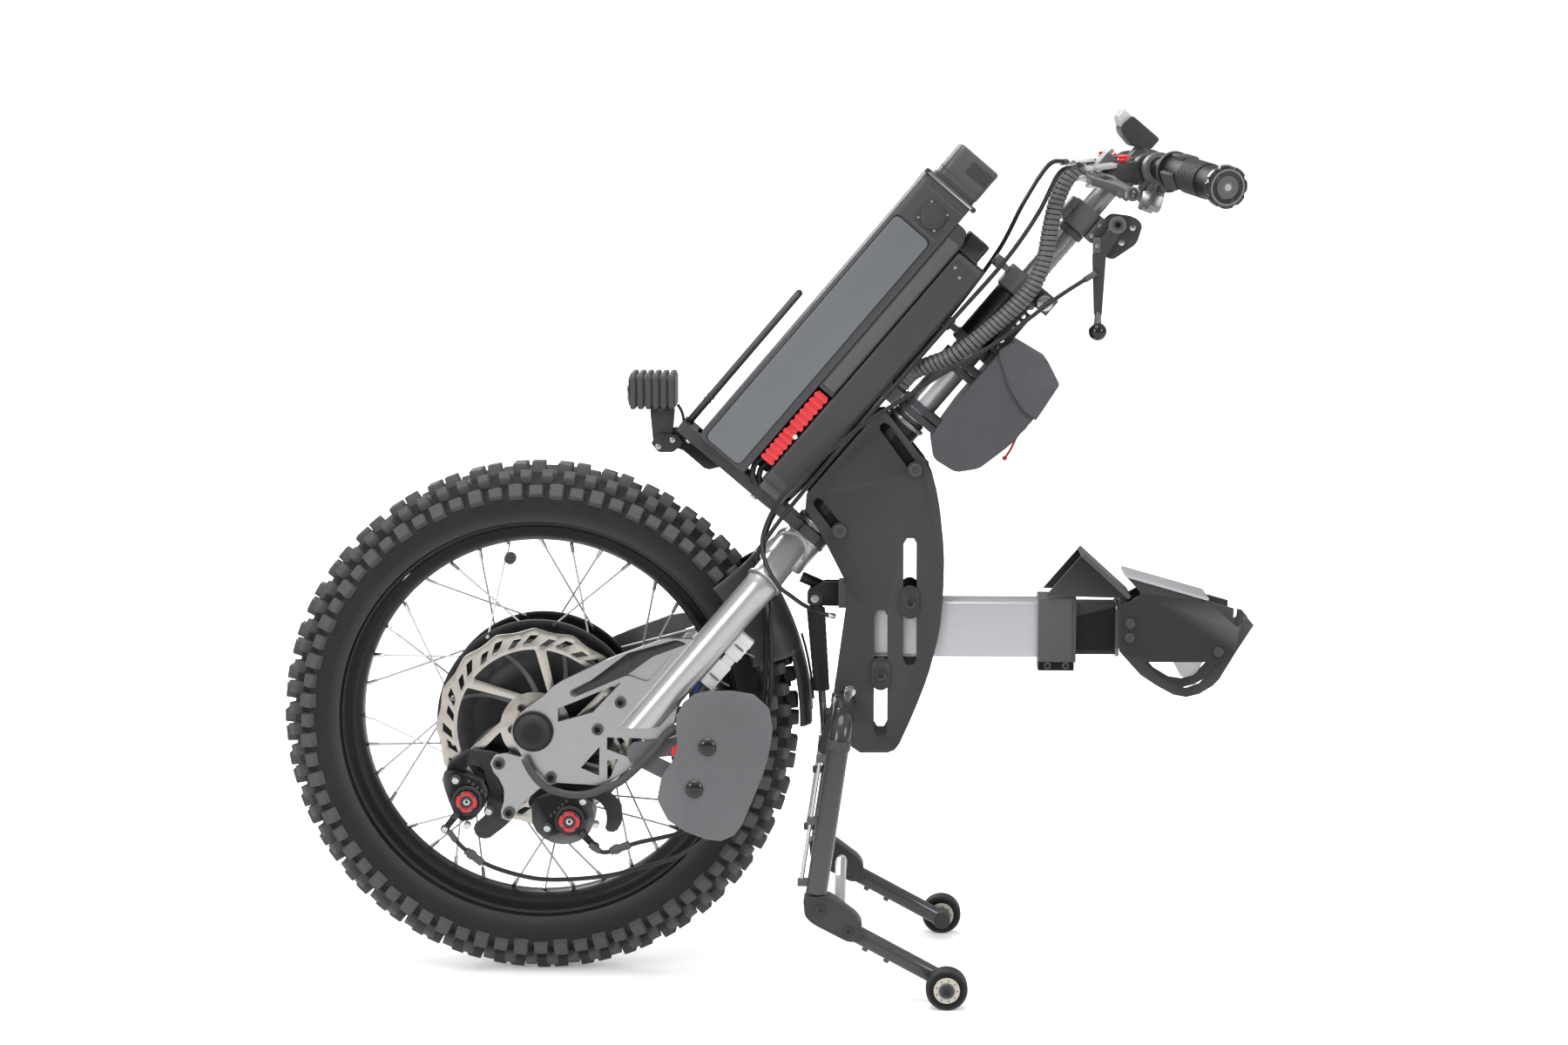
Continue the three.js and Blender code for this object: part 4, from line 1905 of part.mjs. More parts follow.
// Assembly: the upper column and its controls
place(headFrame, 'upper_column', makeUpperColumn(), silverLook);
place(headFrame, 'handlebar', makeHandlebar(), blackLook);
place(headFrame, 'display', makeDisplay(), blackLook);
place(headFrame, 'throttle', makeThrottle(), graphiteLook);
place(headFrame, 'release_lever', makeReleaseLever(), blackLook);
for (const [side, name] of [[-1, 'near'], [1, 'far']]) {
  place(headFrame, `grip_${name}`, makeGrip(side), rubberLook);
  place(headFrame, `brake_lever_${name}`, makeBrakeLever(side), graphiteLook);
  place(headFrame, `lock_button_${name}`, makeLockButton(side), redLook);
}

// Assembly: the cords
const leftRoute = routeToHead(leftBrakeLow, leftBrakeHigh);
const rightRoute = routeToHead(rightBrakeLow, rightBrakeHigh);
place(headFrame, 'brake_cable_left', cord(leftRoute, brakeCableRadius, brakeCableSteps), blackLook);
place(headFrame, 'brake_cable_right', cord(rightRoute, brakeCableRadius, brakeCableSteps), blackLook);
place(headFrame, 'release_cable', cord(releaseRoute, releaseCableRadius, releaseCableSteps), blackLook);
place(headFrame, 'motor_cable', makeMotorCable(), graphiteLook);
place(headFrame, 'cable_hose', makeHose(hoseRoute), blackLook);

// Assembly: the docking frame, arm and coupler
place(headFrame, 'head_tube', makeHeadTube(), blackLook);
place(handcycle, 'side_plate_near', makeSidePlate(-1), graphiteLook);
place(handcycle, 'side_plate_far', makeSidePlate(1), graphiteLook);
place(handcycle, 'strut_bracket', makeStrutBracket(), blackLook);
place(handcycle, 'arm_outer_tube', makeArmOuterTube(), silverLook);
place(handcycle, 'arm_band_clamp', makeBandClamp(), blackLook);
place(handcycle, 'arm_inner_tube', makeArmInnerTube(), blackLook);
place(handcycle, 'coupler_cheek_near', makeCheek(-1), graphiteLook);
place(handcycle, 'coupler_cheek_far', makeCheek(1), graphiteLook);
place(handcycle, 'guide_wedge', makeGuideWedge(), blackLook);
place(handcycle, 'roof_plate', makeRoofPlate(), steelLook);
place(handcycle, 'coupler_latch', makeLatch(), steelLook);

// Assembly: the roller stand
place(handcycle, 'stand_tube', makeStandTube(), blackLook);
place(handcycle, 'stand_brace', makeStandBrace(), steelLook);
place(handcycle, 'strut_body', makeStrutBody(), blackLook);
place(handcycle, 'strut_rod', makeStrutRod(), steelLook);
for (const [side, name] of [[-1, 'near'], [1, 'far']]) {
  place(handcycle, `stand_foot_${name}`, makeStandFoot(side), blackLook);
  place(handcycle, `stand_roller_${name}`, makeRoller(side), rubberLook);
}

export default handcycle;
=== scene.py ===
# %% [markdown]
# # A powered handcycle front unit
# It clips to a wheelchair: a driven wheel in a fork, with battery, handlebar and docking arm, parked on a
# small roller stand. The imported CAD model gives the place, size and joint of every solid. This file makes
# the finished surfaces, the tread, the cables and the cloth, and photographs it in a white studio.

# %% Load the frame
import json
import math

import bmesh
import bpy
from mathutils import Matrix, Vector


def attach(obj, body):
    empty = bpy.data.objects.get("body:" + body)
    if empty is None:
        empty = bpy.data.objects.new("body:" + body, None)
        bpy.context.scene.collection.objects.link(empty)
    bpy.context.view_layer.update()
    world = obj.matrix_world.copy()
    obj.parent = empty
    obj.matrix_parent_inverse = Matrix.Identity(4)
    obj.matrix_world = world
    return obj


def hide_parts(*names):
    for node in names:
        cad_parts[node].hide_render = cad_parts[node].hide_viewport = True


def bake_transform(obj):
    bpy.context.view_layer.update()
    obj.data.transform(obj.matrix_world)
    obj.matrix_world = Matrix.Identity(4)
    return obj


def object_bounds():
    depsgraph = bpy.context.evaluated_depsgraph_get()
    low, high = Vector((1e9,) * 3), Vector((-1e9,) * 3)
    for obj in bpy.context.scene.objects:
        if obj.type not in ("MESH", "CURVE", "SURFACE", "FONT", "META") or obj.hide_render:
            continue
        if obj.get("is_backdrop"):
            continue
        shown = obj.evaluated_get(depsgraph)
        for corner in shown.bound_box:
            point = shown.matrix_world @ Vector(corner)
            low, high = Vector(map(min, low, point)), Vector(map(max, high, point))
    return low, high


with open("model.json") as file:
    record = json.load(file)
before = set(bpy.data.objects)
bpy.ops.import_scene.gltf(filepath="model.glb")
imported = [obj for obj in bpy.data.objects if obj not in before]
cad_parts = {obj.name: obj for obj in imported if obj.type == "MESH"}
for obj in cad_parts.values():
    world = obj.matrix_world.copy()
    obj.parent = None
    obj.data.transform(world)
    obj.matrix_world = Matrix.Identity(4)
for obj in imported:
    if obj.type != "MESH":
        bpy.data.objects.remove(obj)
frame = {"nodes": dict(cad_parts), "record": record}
cad_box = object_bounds()
record = frame["record"]
joints = {joint["name"]: joint for joint in record["behaviour"]["joints"]}

# %% [markdown]
# Three local frames make the numbers readable. One has its origin on the wheel's axle, one on the ground
# below it, and one at the fork's crown with Z along the steering axis. Pieces are modelled in millimetres
# in one of them, and a matrix carries their vertices into the row frame in metres.

# %% Local frames
millimetres = Matrix.Scale(0.001, 4)
axle_place = Vector(joints["wheel_spin"]["pos_m"])
crown_place = Vector(joints["steering"]["pos_m"])
steering_axis = Vector(joints["steering"]["axis"]).normalized()
across_axis = Vector((steering_axis.z, 0, -steering_axis.x))
AXLE = Matrix.Translation(axle_place) @ millimetres
GROUND = Matrix.Translation((axle_place.x, 0, 0)) @ millimetres
steering_turn = Matrix((across_axis, Vector((0, 1, 0)), steering_axis)).transposed().to_4x4()
STEER = Matrix.Translation(crown_place) @ steering_turn @ millimetres
steer_to_axle = AXLE.inverted() @ STEER
print("axle at", [round(v, 4) for v in axle_place], "crown at", [round(v, 4) for v in crown_place])

# %% [markdown]
# The camera stands where the photographer stood: a little above the handlebar, 3.2 m to the side, with a
# long lens that looks slightly down. Its place was solved from the wheel's ellipse and the two rollers.

# %% Camera
camera_back = 3.2212
camera_height = 0.9065
camera_ahead = 0.361
camera_yaw = 0.0322
camera_pitch = 0.1313
lens_pixels = 3548
photo_width = 1800
sensor_width = 36
look = Vector((
    -math.sin(camera_yaw) * math.cos(camera_pitch),
    math.cos(camera_yaw) * math.cos(camera_pitch),
    -math.sin(camera_pitch),
))
camera_data = bpy.data.cameras.new("camera")
camera_data.sensor_width = sensor_width
camera_data.lens = lens_pixels / photo_width * sensor_width
camera = bpy.data.objects.new("camera", camera_data)
camera.location = (axle_place.x + camera_ahead, -camera_back, camera_height)
camera.rotation_mode = "QUATERNION"
camera.rotation_quaternion = look.to_track_quat("-Z", "Y")
camera_data.clip_end = 100
bpy.context.scene.collection.objects.link(camera)
bpy.context.scene.camera = camera
print("lens", round(camera_data.lens, 2), "mm")

# %% [markdown]
# Product photographs of this kind are lit by big soft boxes from above and both sides. Area lamps stand in
# for them, because a lamp's size sets how soft its shadow is. A curved sheet could be the backdrop, but a
# world and a floor that are white wherever the camera looks need no seam, and only the shadow stays.

# %% Studio
object_middle = (0, 0, 0.45)
soft_boxes = {
    "top box": ((-0.2, -0.6, 3.2), 2.2, 58),
    "front box": ((-2.4, -3.0, 1.9), 1.6, 60),
    "side box": ((2.8, -1.8, 1.6), 1.4, 40),
    "rim box": ((-1.2, 2.8, 2.2), 1.6, 44),
}
sky_heights, sky_light = (-0.05, 0.8), (0.1, 0.85)
floor_half = 40
white, paper_seen_by_light = (1, 1, 1, 1), 0.75
shadow_radii, shadow_glow = (0.5, 1.1), 0.24
bounced_glow = 0.15


def add_node(tree, kind, inputs=(), **settings):
    """A shader node, with each input set to a value or linked to another node's output."""
    node = tree.nodes.new("ShaderNode" + kind)
    for name, value in settings.items():
        setattr(node, name, value)
    for label, value in dict(inputs).items():
        if isinstance(value, bpy.types.NodeSocket):
            tree.links.new(value, node.inputs[label])
        else:
            node.inputs[label].default_value = value
    return node


def soft_box(name, place, width, power):
    data = bpy.data.lights.new(name, "AREA")
    data.shape = "DISK"
    data.size = width
    data.energy = power
    lamp = bpy.data.objects.new(name, data)
    lamp.location = place
    lamp.rotation_mode = "QUATERNION"
    lamp.rotation_quaternion = (Vector(object_middle) - Vector(place)).to_track_quat("-Z", "Y")
    bpy.context.scene.collection.objects.link(lamp)


def white_world():
    """White where the camera looks, and for other rays a sky that is darker near the horizon."""
    world = bpy.data.worlds.new("white studio")
    bpy.context.scene.world = world
    world.use_nodes = True
    tree = world.node_tree
    tree.nodes.clear()
    ray = add_node(tree, "LightPath").outputs
    rays = {0: ray["Is Camera Ray"], 1: ray["Is Transmission Ray"]}
    seen = add_node(tree, "Math", rays, operation="MAXIMUM")
    aim = add_node(tree, "TexCoord").outputs["Generated"]
    height = add_node(tree, "SeparateXYZ", {0: aim}).outputs["Z"]
    sky = add_node(tree, "MapRange", enumerate((height, *sky_heights, *sky_light)))
    soft = add_node(tree, "Background", {"Color": white, "Strength": sky.outputs[0]})
    plain = add_node(tree, "Background", {"Color": white, "Strength": 1})
    mix = add_node(tree, "MixShader", enumerate((seen.outputs[0], soft.outputs[0], plain.outputs[0])))
    add_node(tree, "OutputWorld", {"Surface": mix.outputs[0]})


def white_floor():
    """White paper whose own glow fades in round the object, so that the contact shadow stays."""
    plan = bmesh.new()
    bmesh.ops.create_grid(plan, x_segments=1, y_segments=1, size=floor_half)
    mesh = bpy.data.meshes.new("floor")
    plan.to_mesh(mesh)
    plan.free()
    floor = bpy.data.objects.new("floor", mesh)
    bpy.context.scene.collection.objects.link(floor)
    paper = bpy.data.materials.new("white paper")
    paper.use_nodes = True
    tree = paper.node_tree
    shader = tree.nodes["Principled BSDF"]
    shader.inputs["Roughness"].default_value = 0.9
    shader.inputs["Specular IOR Level"].default_value = 0
    ray = add_node(tree, "LightPath").outputs["Is Camera Ray"]
    tones = {0: ray, 6: (*[paper_seen_by_light] * 3, 1), 7: white}
    tree.links.new(add_node(tree, "Mix", tones, data_type="RGBA").outputs[2], shader.inputs["Base Color"])
    place = add_node(tree, "TexCoord").outputs["Object"]
    reach = add_node(tree, "VectorMath", {0: place}, operation="LENGTH").outputs["Value"]
    shares = enumerate((ray, 1 - bounced_glow, bounced_glow))
    seen = add_node(tree, "Math", shares, operation="MULTIPLY_ADD").outputs[0]
    fade = add_node(tree, "MapRange", enumerate((reach, *shadow_radii, shadow_glow, seen)))
    glow = add_node(tree, "Emission", {"Strength": fade.outputs[0]})
    both = add_node(tree, "AddShader", {0: shader.outputs[0], 1: glow.outputs[0]})
    tree.links.new(both.outputs[0], tree.nodes["Material Output"].inputs["Surface"])
    mesh.materials.append(paper)
    floor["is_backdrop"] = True


for box_name, (box_place, box_width, box_power) in soft_boxes.items():
    soft_box(box_name, box_place, box_width, box_power)
white_world()
white_floor()
bpy.context.scene.view_settings.view_transform = "Standard"
print("studio:", len(soft_boxes), "soft boxes")

# %% [markdown]
# Every hard surface has some fine unevenness: powder coat is pebbled, cast metal mottled, plastic grained.
# An image could carry that, but noise in the object's own coordinates has no seams and needs no
# unwrapping. Each effect is one node group, and a material gives it its own colours, size and depth.

# %% Node helpers
socket_kinds = {"Colour": "Color", "Shade": "Color", "Direction": "Vector", "Normal": "Vector"}


def group(name, inputs, outputs):
    """An empty node group, with the sockets of its input node and its output node."""
    tree = bpy.data.node_groups.new(name, "ShaderNodeTree")
    for way, labels in (("INPUT", inputs), ("OUTPUT", outputs)):
        for label in labels:
            kind = "NodeSocket" + socket_kinds.get(label, "Float")
            tree.interface.new_socket(label, in_out=way, socket_type=kind)
    return tree, tree.nodes.new("NodeGroupInput").outputs, tree.nodes.new("NodeGroupOutput").inputs


def maths(tree, operation, a, b):
    return add_node(tree, "Math", {0: a, 1: b}, operation=operation).outputs[0]


def noise_of(tree, coords, scale, detail=3):
    return add_node(tree, "TexNoise", {"Vector": coords, "Scale": scale, "Detail": detail}).outputs["Fac"]


def colour_mix(tree, amount, a, b):
    return add_node(tree, "Mix", {0: amount, 6: a, 7: b}, data_type="RGBA").outputs[2]


def bump_of(tree, height, distance):
    return add_node(tree, "Bump", {"Strength": 1, "Distance": distance, "Height": height}).outputs["Normal"]


def object_coordinates(tree):
    return add_node(tree, "TexCoord").outputs["Object"]


print("socket kinds:", socket_kinds)

# %% Node groups for coats, brushed metal and cloth
# Sharp edges, found by pointiness, are mixed towards a pale grey: a painted highlight.
edge_highlight_from, edge_highlight_to, painted_highlight_tone = 0.51, 0.6, (0.5, 0.5, 0.52, 1)
brush_swing, brush_depth = 0.3, 0.00004
thread_wobble, crease_weight = 0.6, 4


def make_grain():
    """A pebbled coat, cloudy in colour, with a painted highlight that makes its sharp edges paler."""
    tree, given, result = group(
        "fine grain", ("Colour", "Shade", "Size", "Roughness", "Spread", "Depth", "Edge"),
        ("Colour", "Roughness", "Normal"),
    )
    coords = object_coordinates(tree)
    cloud = noise_of(tree, coords, 9, 4)
    pebble = noise_of(tree, coords, given["Size"], 3)
    base = colour_mix(tree, cloud, given["Shade"], given["Colour"])
    # Painted highlight: the pointiness of sharp edges lightens the colour.
    edges = add_node(tree, "NewGeometry").outputs["Pointiness"]
    edge_highlight = add_node(tree, "MapRange", {0: edges, 1: edge_highlight_from, 2: edge_highlight_to}).outputs[0]
    edge_highlight = maths(tree, "MULTIPLY", edge_highlight, given["Edge"])
    tree.links.new(colour_mix(tree, edge_highlight, base, painted_highlight_tone), result["Colour"])
    swing = maths(tree, "MULTIPLY", maths(tree, "SUBTRACT", pebble, 0.5), given["Spread"])
    tree.links.new(maths(tree, "ADD", swing, given["Roughness"]), result["Roughness"])
    tree.links.new(bump_of(tree, pebble, given["Depth"]), result["Normal"])
    return tree


def make_brushing():
    """Fine lines drawn out along one direction, as a brush or a cutter leaves them."""
    tree, given, result = group(
        "brushing", ("Colour", "Shade", "Direction", "Roughness"), ("Colour", "Roughness", "Normal"),
    )
    coords = object_coordinates(tree)
    drawn_out = {0: coords, 1: given["Direction"]}
    stretch = add_node(tree, "VectorMath", drawn_out, operation="MULTIPLY").outputs[0]
    lines = noise_of(tree, stretch, 1, 4)
    shade = maths(tree, "MULTIPLY", maths(tree, "ADD", lines, noise_of(tree, coords, 14, 3)), 0.5)
    tree.links.new(colour_mix(tree, shade, given["Shade"], given["Colour"]), result["Colour"])
    swing = maths(tree, "MULTIPLY", maths(tree, "SUBTRACT", shade, 0.5), brush_swing)
    tree.links.new(maths(tree, "ADD", swing, given["Roughness"]), result["Roughness"])
    tree.links.new(bump_of(tree, lines, brush_depth), result["Normal"])
    return tree


def make_weave():
    """Threads that cross, with soft creases in the cloth."""
    tree, given, result = group("weave", ("Colour", "Shade", "Threads", "Depth"), ("Colour", "Normal"))
    coords = object_coordinates(tree)
    thread = {"Vector": coords, "Scale": given["Threads"], "Distortion": thread_wobble}
    bands = [
        add_node(tree, "TexWave", thread, bands_direction=direction).outputs["Fac"]
        for direction in ("X", "Y", "Z")
    ]
    threads = maths(tree, "MAXIMUM", maths(tree, "MULTIPLY", bands[0], bands[1]), bands[2])
    cloud = noise_of(tree, coords, 30, 4)
    tone = maths(tree, "ADD", maths(tree, "MULTIPLY", threads, 0.5), maths(tree, "MULTIPLY", cloud, 0.5))
    tree.links.new(colour_mix(tree, tone, given["Shade"], given["Colour"]), result["Colour"])
    crease = maths(tree, "MULTIPLY", noise_of(tree, coords, 45, 2), crease_weight)
    height = maths(tree, "ADD", threads, crease)
    tree.links.new(bump_of(tree, height, given["Depth"]), result["Normal"])
    return tree


GRAIN, BRUSHING, WEAVE = make_grain(), make_brushing(), make_weave()
print("node groups:", [tree.name for tree in (GRAIN, BRUSHING, WEAVE)])

# %% [markdown]
# Each finish on the object is a small material that places one of the groups. Uniform values such as
# metalness and coat are set on the shader itself, so that they survive an export.

# %% Materials
coat_roughness = 0.12
metal_reflection, paint_reflection = 0.5, 0.18


def grey(value, tint=0.0):
    return value, value, value * (1 + tint), 1


def start_material(name, metallic=0.0, coat=0.0, sheen=0.0):
    material = bpy.data.materials.new(name)
    material.use_nodes = True
    shader = material.node_tree.nodes["Principled BSDF"]
    values = {
        "Metallic": metallic, "Coat Weight": coat, "Coat Roughness": coat_roughness, "Sheen Weight": sheen,
        "Specular IOR Level": metal_reflection if metallic else paint_reflection,
    }
    for label, value in values.items():
        shader.inputs[label].default_value = value
    return material, shader


def place_group(material, shader, tree, values):
    nodes, links = material.node_tree.nodes, material.node_tree.links
    node = nodes.new("ShaderNodeGroup")
    node.node_tree = tree
    for label, value in values.items():
        node.inputs[label].default_value = value
    links.new(node.outputs["Colour"], shader.inputs["Base Color"])
    if "Roughness" in node.outputs:
        links.new(node.outputs["Roughness"], shader.inputs["Roughness"])
    links.new(node.outputs["Normal"], shader.inputs["Normal"])
    return material


# edge sets how strongly sharp edges get the painted highlight.
def grained(name, colour, shade, roughness, size=500, depth=0.00006, spread=0.12, edge=0.25, **kind):
    material, shader = start_material(name, **kind)
    return place_group(material, shader, GRAIN, {
        "Colour": colour, "Shade": shade, "Size": size, "Roughness": roughness,
        "Spread": spread, "Depth": depth, "Edge": edge,
    })


def brushed(name, colour, shade, roughness, direction=(4, 300, 300), metallic=1.0):
    material, shader = start_material(name, metallic=metallic)
    return place_group(material, shader, BRUSHING, {
        "Colour": colour, "Shade": shade, "Direction": direction, "Roughness": roughness,
    })


def woven(name, colour, shade, threads=900, depth=0.0003, roughness=0.85):
    material, shader = start_material(name, sheen=0.2)
    shader.inputs["Roughness"].default_value = roughness
    return place_group(material, shader, WEAVE, {
        "Colour": colour, "Shade": shade, "Threads": threads, "Depth": depth,
    })


satin_black = grained("satin black coat", grey(0.006, 0.06), grey(0.004, 0.06), 0.36, 700, 0.00003)
matt_black = grained("matt black coat", grey(0.008, 0.06), grey(0.005, 0.06), 0.5, 900, 0.00005)
plate_black = grained("pebbled plate coat", grey(0.03, 0.1), grey(0.021, 0.1), 0.5, 1100, 0.00005, edge=0.2)
gloss_black = grained(
    "gloss black moulding", grey(0.003), grey(0.002), 0.16, 200, 0.00001, coat=0.5, edge=0.1,
)
silver_coat = grained(
    "silver frame coat", grey(0.46, 0.03), grey(0.38, 0.03), 0.32, 1500, 0.00001,
    metallic=0.65, coat=0.35, edge=0.1,
)
dark_silver = grained(
    "dark anodised tube", grey(0.2, 0.03), grey(0.14, 0.03), 0.3, 1500, 0.00001,
    metallic=0.7, coat=0.2, edge=0.1,
)
machined = brushed("machined aluminium", grey(0.42, 0.02), grey(0.3, 0.02), 0.36, (60, 60, 60))
steel = brushed("brushed steel", grey(0.5), grey(0.36), 0.28, (8, 240, 240))
bright_steel = brushed("bright steel", grey(0.6), grey(0.45), 0.18, (30, 30, 30))
arm_silver = brushed(
    "anodised arm", grey(0.48, 0.04), grey(0.41, 0.04), 0.42, (3, 200, 200), metallic=0.55,
)
rotor_steel = brushed("warm rotor steel", (0.52, 0.49, 0.44, 1), (0.38, 0.355, 0.32, 1), 0.3, (60, 60, 60))
tyre_rubber = grained("tyre rubber", grey(0.022, 0.06), grey(0.012, 0.06), 0.6, 600, 0.00012, 0.2, 0.12)
soft_rubber = grained("grip rubber", grey(0.008), grey(0.005), 0.5, 900, 0.00005, edge=0.15)
cover_grain = grained("sintered cover", grey(0.15, 0.06), grey(0.1, 0.06), 0.8, 1700, 0.00035, 0.2, 0.15)
panel_grey = grained(
    "battery side panel", (0.128, 0.137, 0.147, 1), (0.11, 0.119, 0.129, 1), 0.3, 300, 0.00001,
    coat=0.3, edge=0.1,
)
red_plastic = grained(
    "red moulding", (0.72, 0.012, 0.022, 1), (0.55, 0.008, 0.014, 1), 0.3, 300, 0.00002, edge=0.1, coat=0.3,
)
red_metal = grained(
    "red anodising", (0.62, 0.012, 0.02, 1), (0.42, 0.006, 0.012, 1), 0.24, 300, 0.00001,
    metallic=0.6, edge=0.2,
)
cable_black = grained("cable sheath", grey(0.008), grey(0.005), 0.34, 900, 0.00001, edge=0.1, coat=0.2)
white_plastic = grained("white connector", grey(0.62), grey(0.5), 0.45, 300, 0.00002, edge=0.1)
blue_wire = grained("blue wire", (0.02, 0.1, 0.5, 1), (0.01, 0.06, 0.35, 1), 0.4, 300, 0.00001, edge=0.1)
yellow_wire = grained("yellow wire", (0.75, 0.5, 0.02, 1), (0.6, 0.4, 0.02, 1), 0.4, 300, 0.00001, edge=0.1)
lens_glass = grained("smoked lens", grey(0.02), grey(0.012), 0.08, 200, 0.00001, coat=1.0, edge=0.0)
display_front = grained("pale display bezel", grey(0.5), grey(0.42), 0.35, 300, 0.00001, edge=0.1)
pouch_cloth = woven("pouch nylon", grey(0.12, 0.1), grey(0.05, 0.1), 700, 0.00022)
red_cord = woven("red cord", (0.7, 0.02, 0.03, 1), (0.4, 0.01, 0.02, 1), 1500, 0.0002)
sleeve_cloth = woven("strut sleeve", grey(0.035), grey(0.015), 900, 0.0002, 0.7)
print("materials:", len(bpy.data.materials))

# %% [markdown]
# Most parts are turned, sawn from bar or drilled, so the first helpers make such blanks. Real edges are
# never sharp, so soften() bevels every edge that is steeper than an angle.

# %% Turned and sawn blanks
def turned(profile, steps=64, axis="Y", centre=(0, 0, 0)):
    """A solid of revolution from pairs of radius and height."""
    bm = bmesh.new()
    if axis == "Y":
        verts = [bm.verts.new((radius, height, 0)) for radius, height in profile]
    else:
        verts = [bm.verts.new((radius, 0, height)) for radius, height in profile]
    pairs = list(zip(verts, verts[1:]))
    if profile[0][0] > 0 or profile[-1][0] > 0:
        pairs.append((verts[-1], verts[0]))
    edges = [bm.edges.new(pair) for pair in pairs]
    direction = (0, 1, 0) if axis == "Y" else (0, 0, 1)
    bmesh.ops.spin(
        bm, geom=verts + edges, cent=(0, 0, 0), axis=direction, angle=math.tau, steps=steps, use_merge=True,
    )
    bmesh.ops.remove_doubles(bm, verts=bm.verts, dist=0.0005)
    bmesh.ops.translate(bm, vec=Vector(centre), verts=bm.verts)
    bmesh.ops.recalc_face_normals(bm, faces=bm.faces)
    return bm


def both_ends(half):
    """A profile's half, from the middle outwards, with its mirror image before it."""
    return [(radius, -y) for radius, y in reversed(half)] + half


def aimed(at, out):
    """The placing that points a shape's Z along a direction."""
    return Matrix.Translation(at) @ Vector(out).to_track_quat("Z", "Y").to_matrix().to_4x4()


def soften(bm, width, segments=2, angle=30):
    limit = math.radians(angle)
    edges = [edge for edge in bm.edges if len(edge.link_faces) == 2 and edge.calc_face_angle() > limit]
    if width > 0 and edges:
        bmesh.ops.bevel(
            bm, geom=edges, offset=width, offset_type="OFFSET", segments=segments, profile=0.5,
            affect="EDGES", material=-1, clamp_overlap=True,
        )
    return bm


def rod(start, end, radius, end_radius=None, sides=24, soft=0.0):
    """A round bar between two points, its rims rounded."""
    start, end = Vector(start), Vector(end)
    bm = bmesh.new()
    bmesh.ops.create_cone(
        bm, cap_ends=True, segments=sides, radius1=radius,
        radius2=radius if end_radius is None else end_radius, depth=(end - start).length,
    )
    soften(bm, soft, 2, 60)
    bmesh.ops.transform(bm, matrix=aimed((start + end) / 2, end - start), verts=bm.verts)
    return bm


def block(xs, ys, zs, soft=0.0, segments=2):
    bm = bmesh.new()
    bmesh.ops.create_cube(bm, size=1)
    bmesh.ops.scale(bm, vec=(xs[1] - xs[0], ys[1] - ys[0], zs[1] - zs[0]), verts=bm.verts)
    middle = ((xs[0] + xs[1]) / 2, (ys[0] + ys[1]) / 2, (zs[0] + zs[1]) / 2)
    bmesh.ops.translate(bm, vec=middle, verts=bm.verts)
    return soften(bm, soft, segments)


def ball(centre, radius, detail=3):
    bm = bmesh.new()
    bmesh.ops.create_icosphere(bm, subdivisions=detail, radius=radius)
    bmesh.ops.translate(bm, vec=Vector(centre), verts=bm.verts)
    return bm


def polar(radius, angle, x=0.0, z=0.0):
    """A point in X and Z, at a distance and an angle from a centre."""
    return x + radius * math.cos(angle), z + radius * math.sin(angle)


def on_ring(radius, y, angle):
    """A point on a circle round the Y axis."""
    return Vector((radius * math.cos(angle), y, radius * math.sin(angle)))


print("blanks: turned, rod, block and ball")

# %% [markdown]
# Brackets and side plates are laser-cut sheet. Outline and holes are filled with triangles in one step,
# which leaves no seams between the holes, and then extruded. Cases and square tubes are extruded outlines
# too, but along the other axis and with rounded corners.

# %% Plates, cases and square tubes
def rounded_loop(points, radius, steps=4):
    """Corner points of an outline with each corner rounded to an arc-like curve."""
    corners = [Vector(point) for point in points]
    loop = []
    for index, corner in enumerate(corners):
        back = corners[index - 1] - corner
        onward = corners[(index + 1) % len(corners)] - corner
        reach = min(radius, back.length * 0.45, onward.length * 0.45)
        first, last = corner + back.normalized() * reach, corner + onward.normalized() * reach
        for step in range(steps + 1):
            t = step / steps
            loop.append(first * (1 - t) ** 2 + corner * 2 * t * (1 - t) + last * t ** 2)
    return loop


def plate(points, middle, thickness, corner=0.0, holes=(), soft=0.5, steps=4):
    """A flat plate in X and Z with holes, its thickness along Y, its rims softened."""
    bm = bmesh.new()
    edges = []
    outer = rounded_loop(points, corner, steps) if corner else [Vector(point) for point in points]
    for loop in (outer, *holes):
        verts = [bm.verts.new((point[0], middle - thickness / 2, point[1])) for point in loop]
        edges += [bm.edges.new((verts[i - 1], verts[i])) for i in range(len(verts))]
    bmesh.ops.triangle_fill(bm, use_beauty=True, use_dissolve=False, edges=edges)
    sheet = bmesh.ops.extrude_face_region(bm, geom=bm.faces[:])
    top = [item for item in sheet["geom"] if isinstance(item, bmesh.types.BMVert)]
    bmesh.ops.translate(bm, vec=(0, thickness, 0), verts=top)
    bmesh.ops.recalc_face_normals(bm, faces=bm.faces)
    return soften(bm, soft, 2, 50)


def oval(start, end, radius, steps=10):
    """The outline of a slot between two centres."""
    lean = math.atan2(end[1] - start[1], end[0] - start[0])
    loop = []
    for centre, turn in ((end, -math.pi / 2), (start, math.pi / 2)):
        loop += [polar(radius, lean + turn + math.pi * step / steps, *centre) for step in range(steps + 1)]
    return loop


def circle(x, z, radius, steps=24):
    return [polar(radius, math.tau * i / steps, x, z) for i in range(steps)]


def notched_ring(radius, notch, count):
    """A circle with evenly spaced notches, as on a knurled ring."""
    loop = []
    steps = count * 12
    for i in range(steps):
        angle = i / steps * math.tau
        near_notch = abs(math.cos(angle * count / 2)) < 0.32
        loop.append(polar(radius - (notch if near_notch else 0), angle))
    return loop


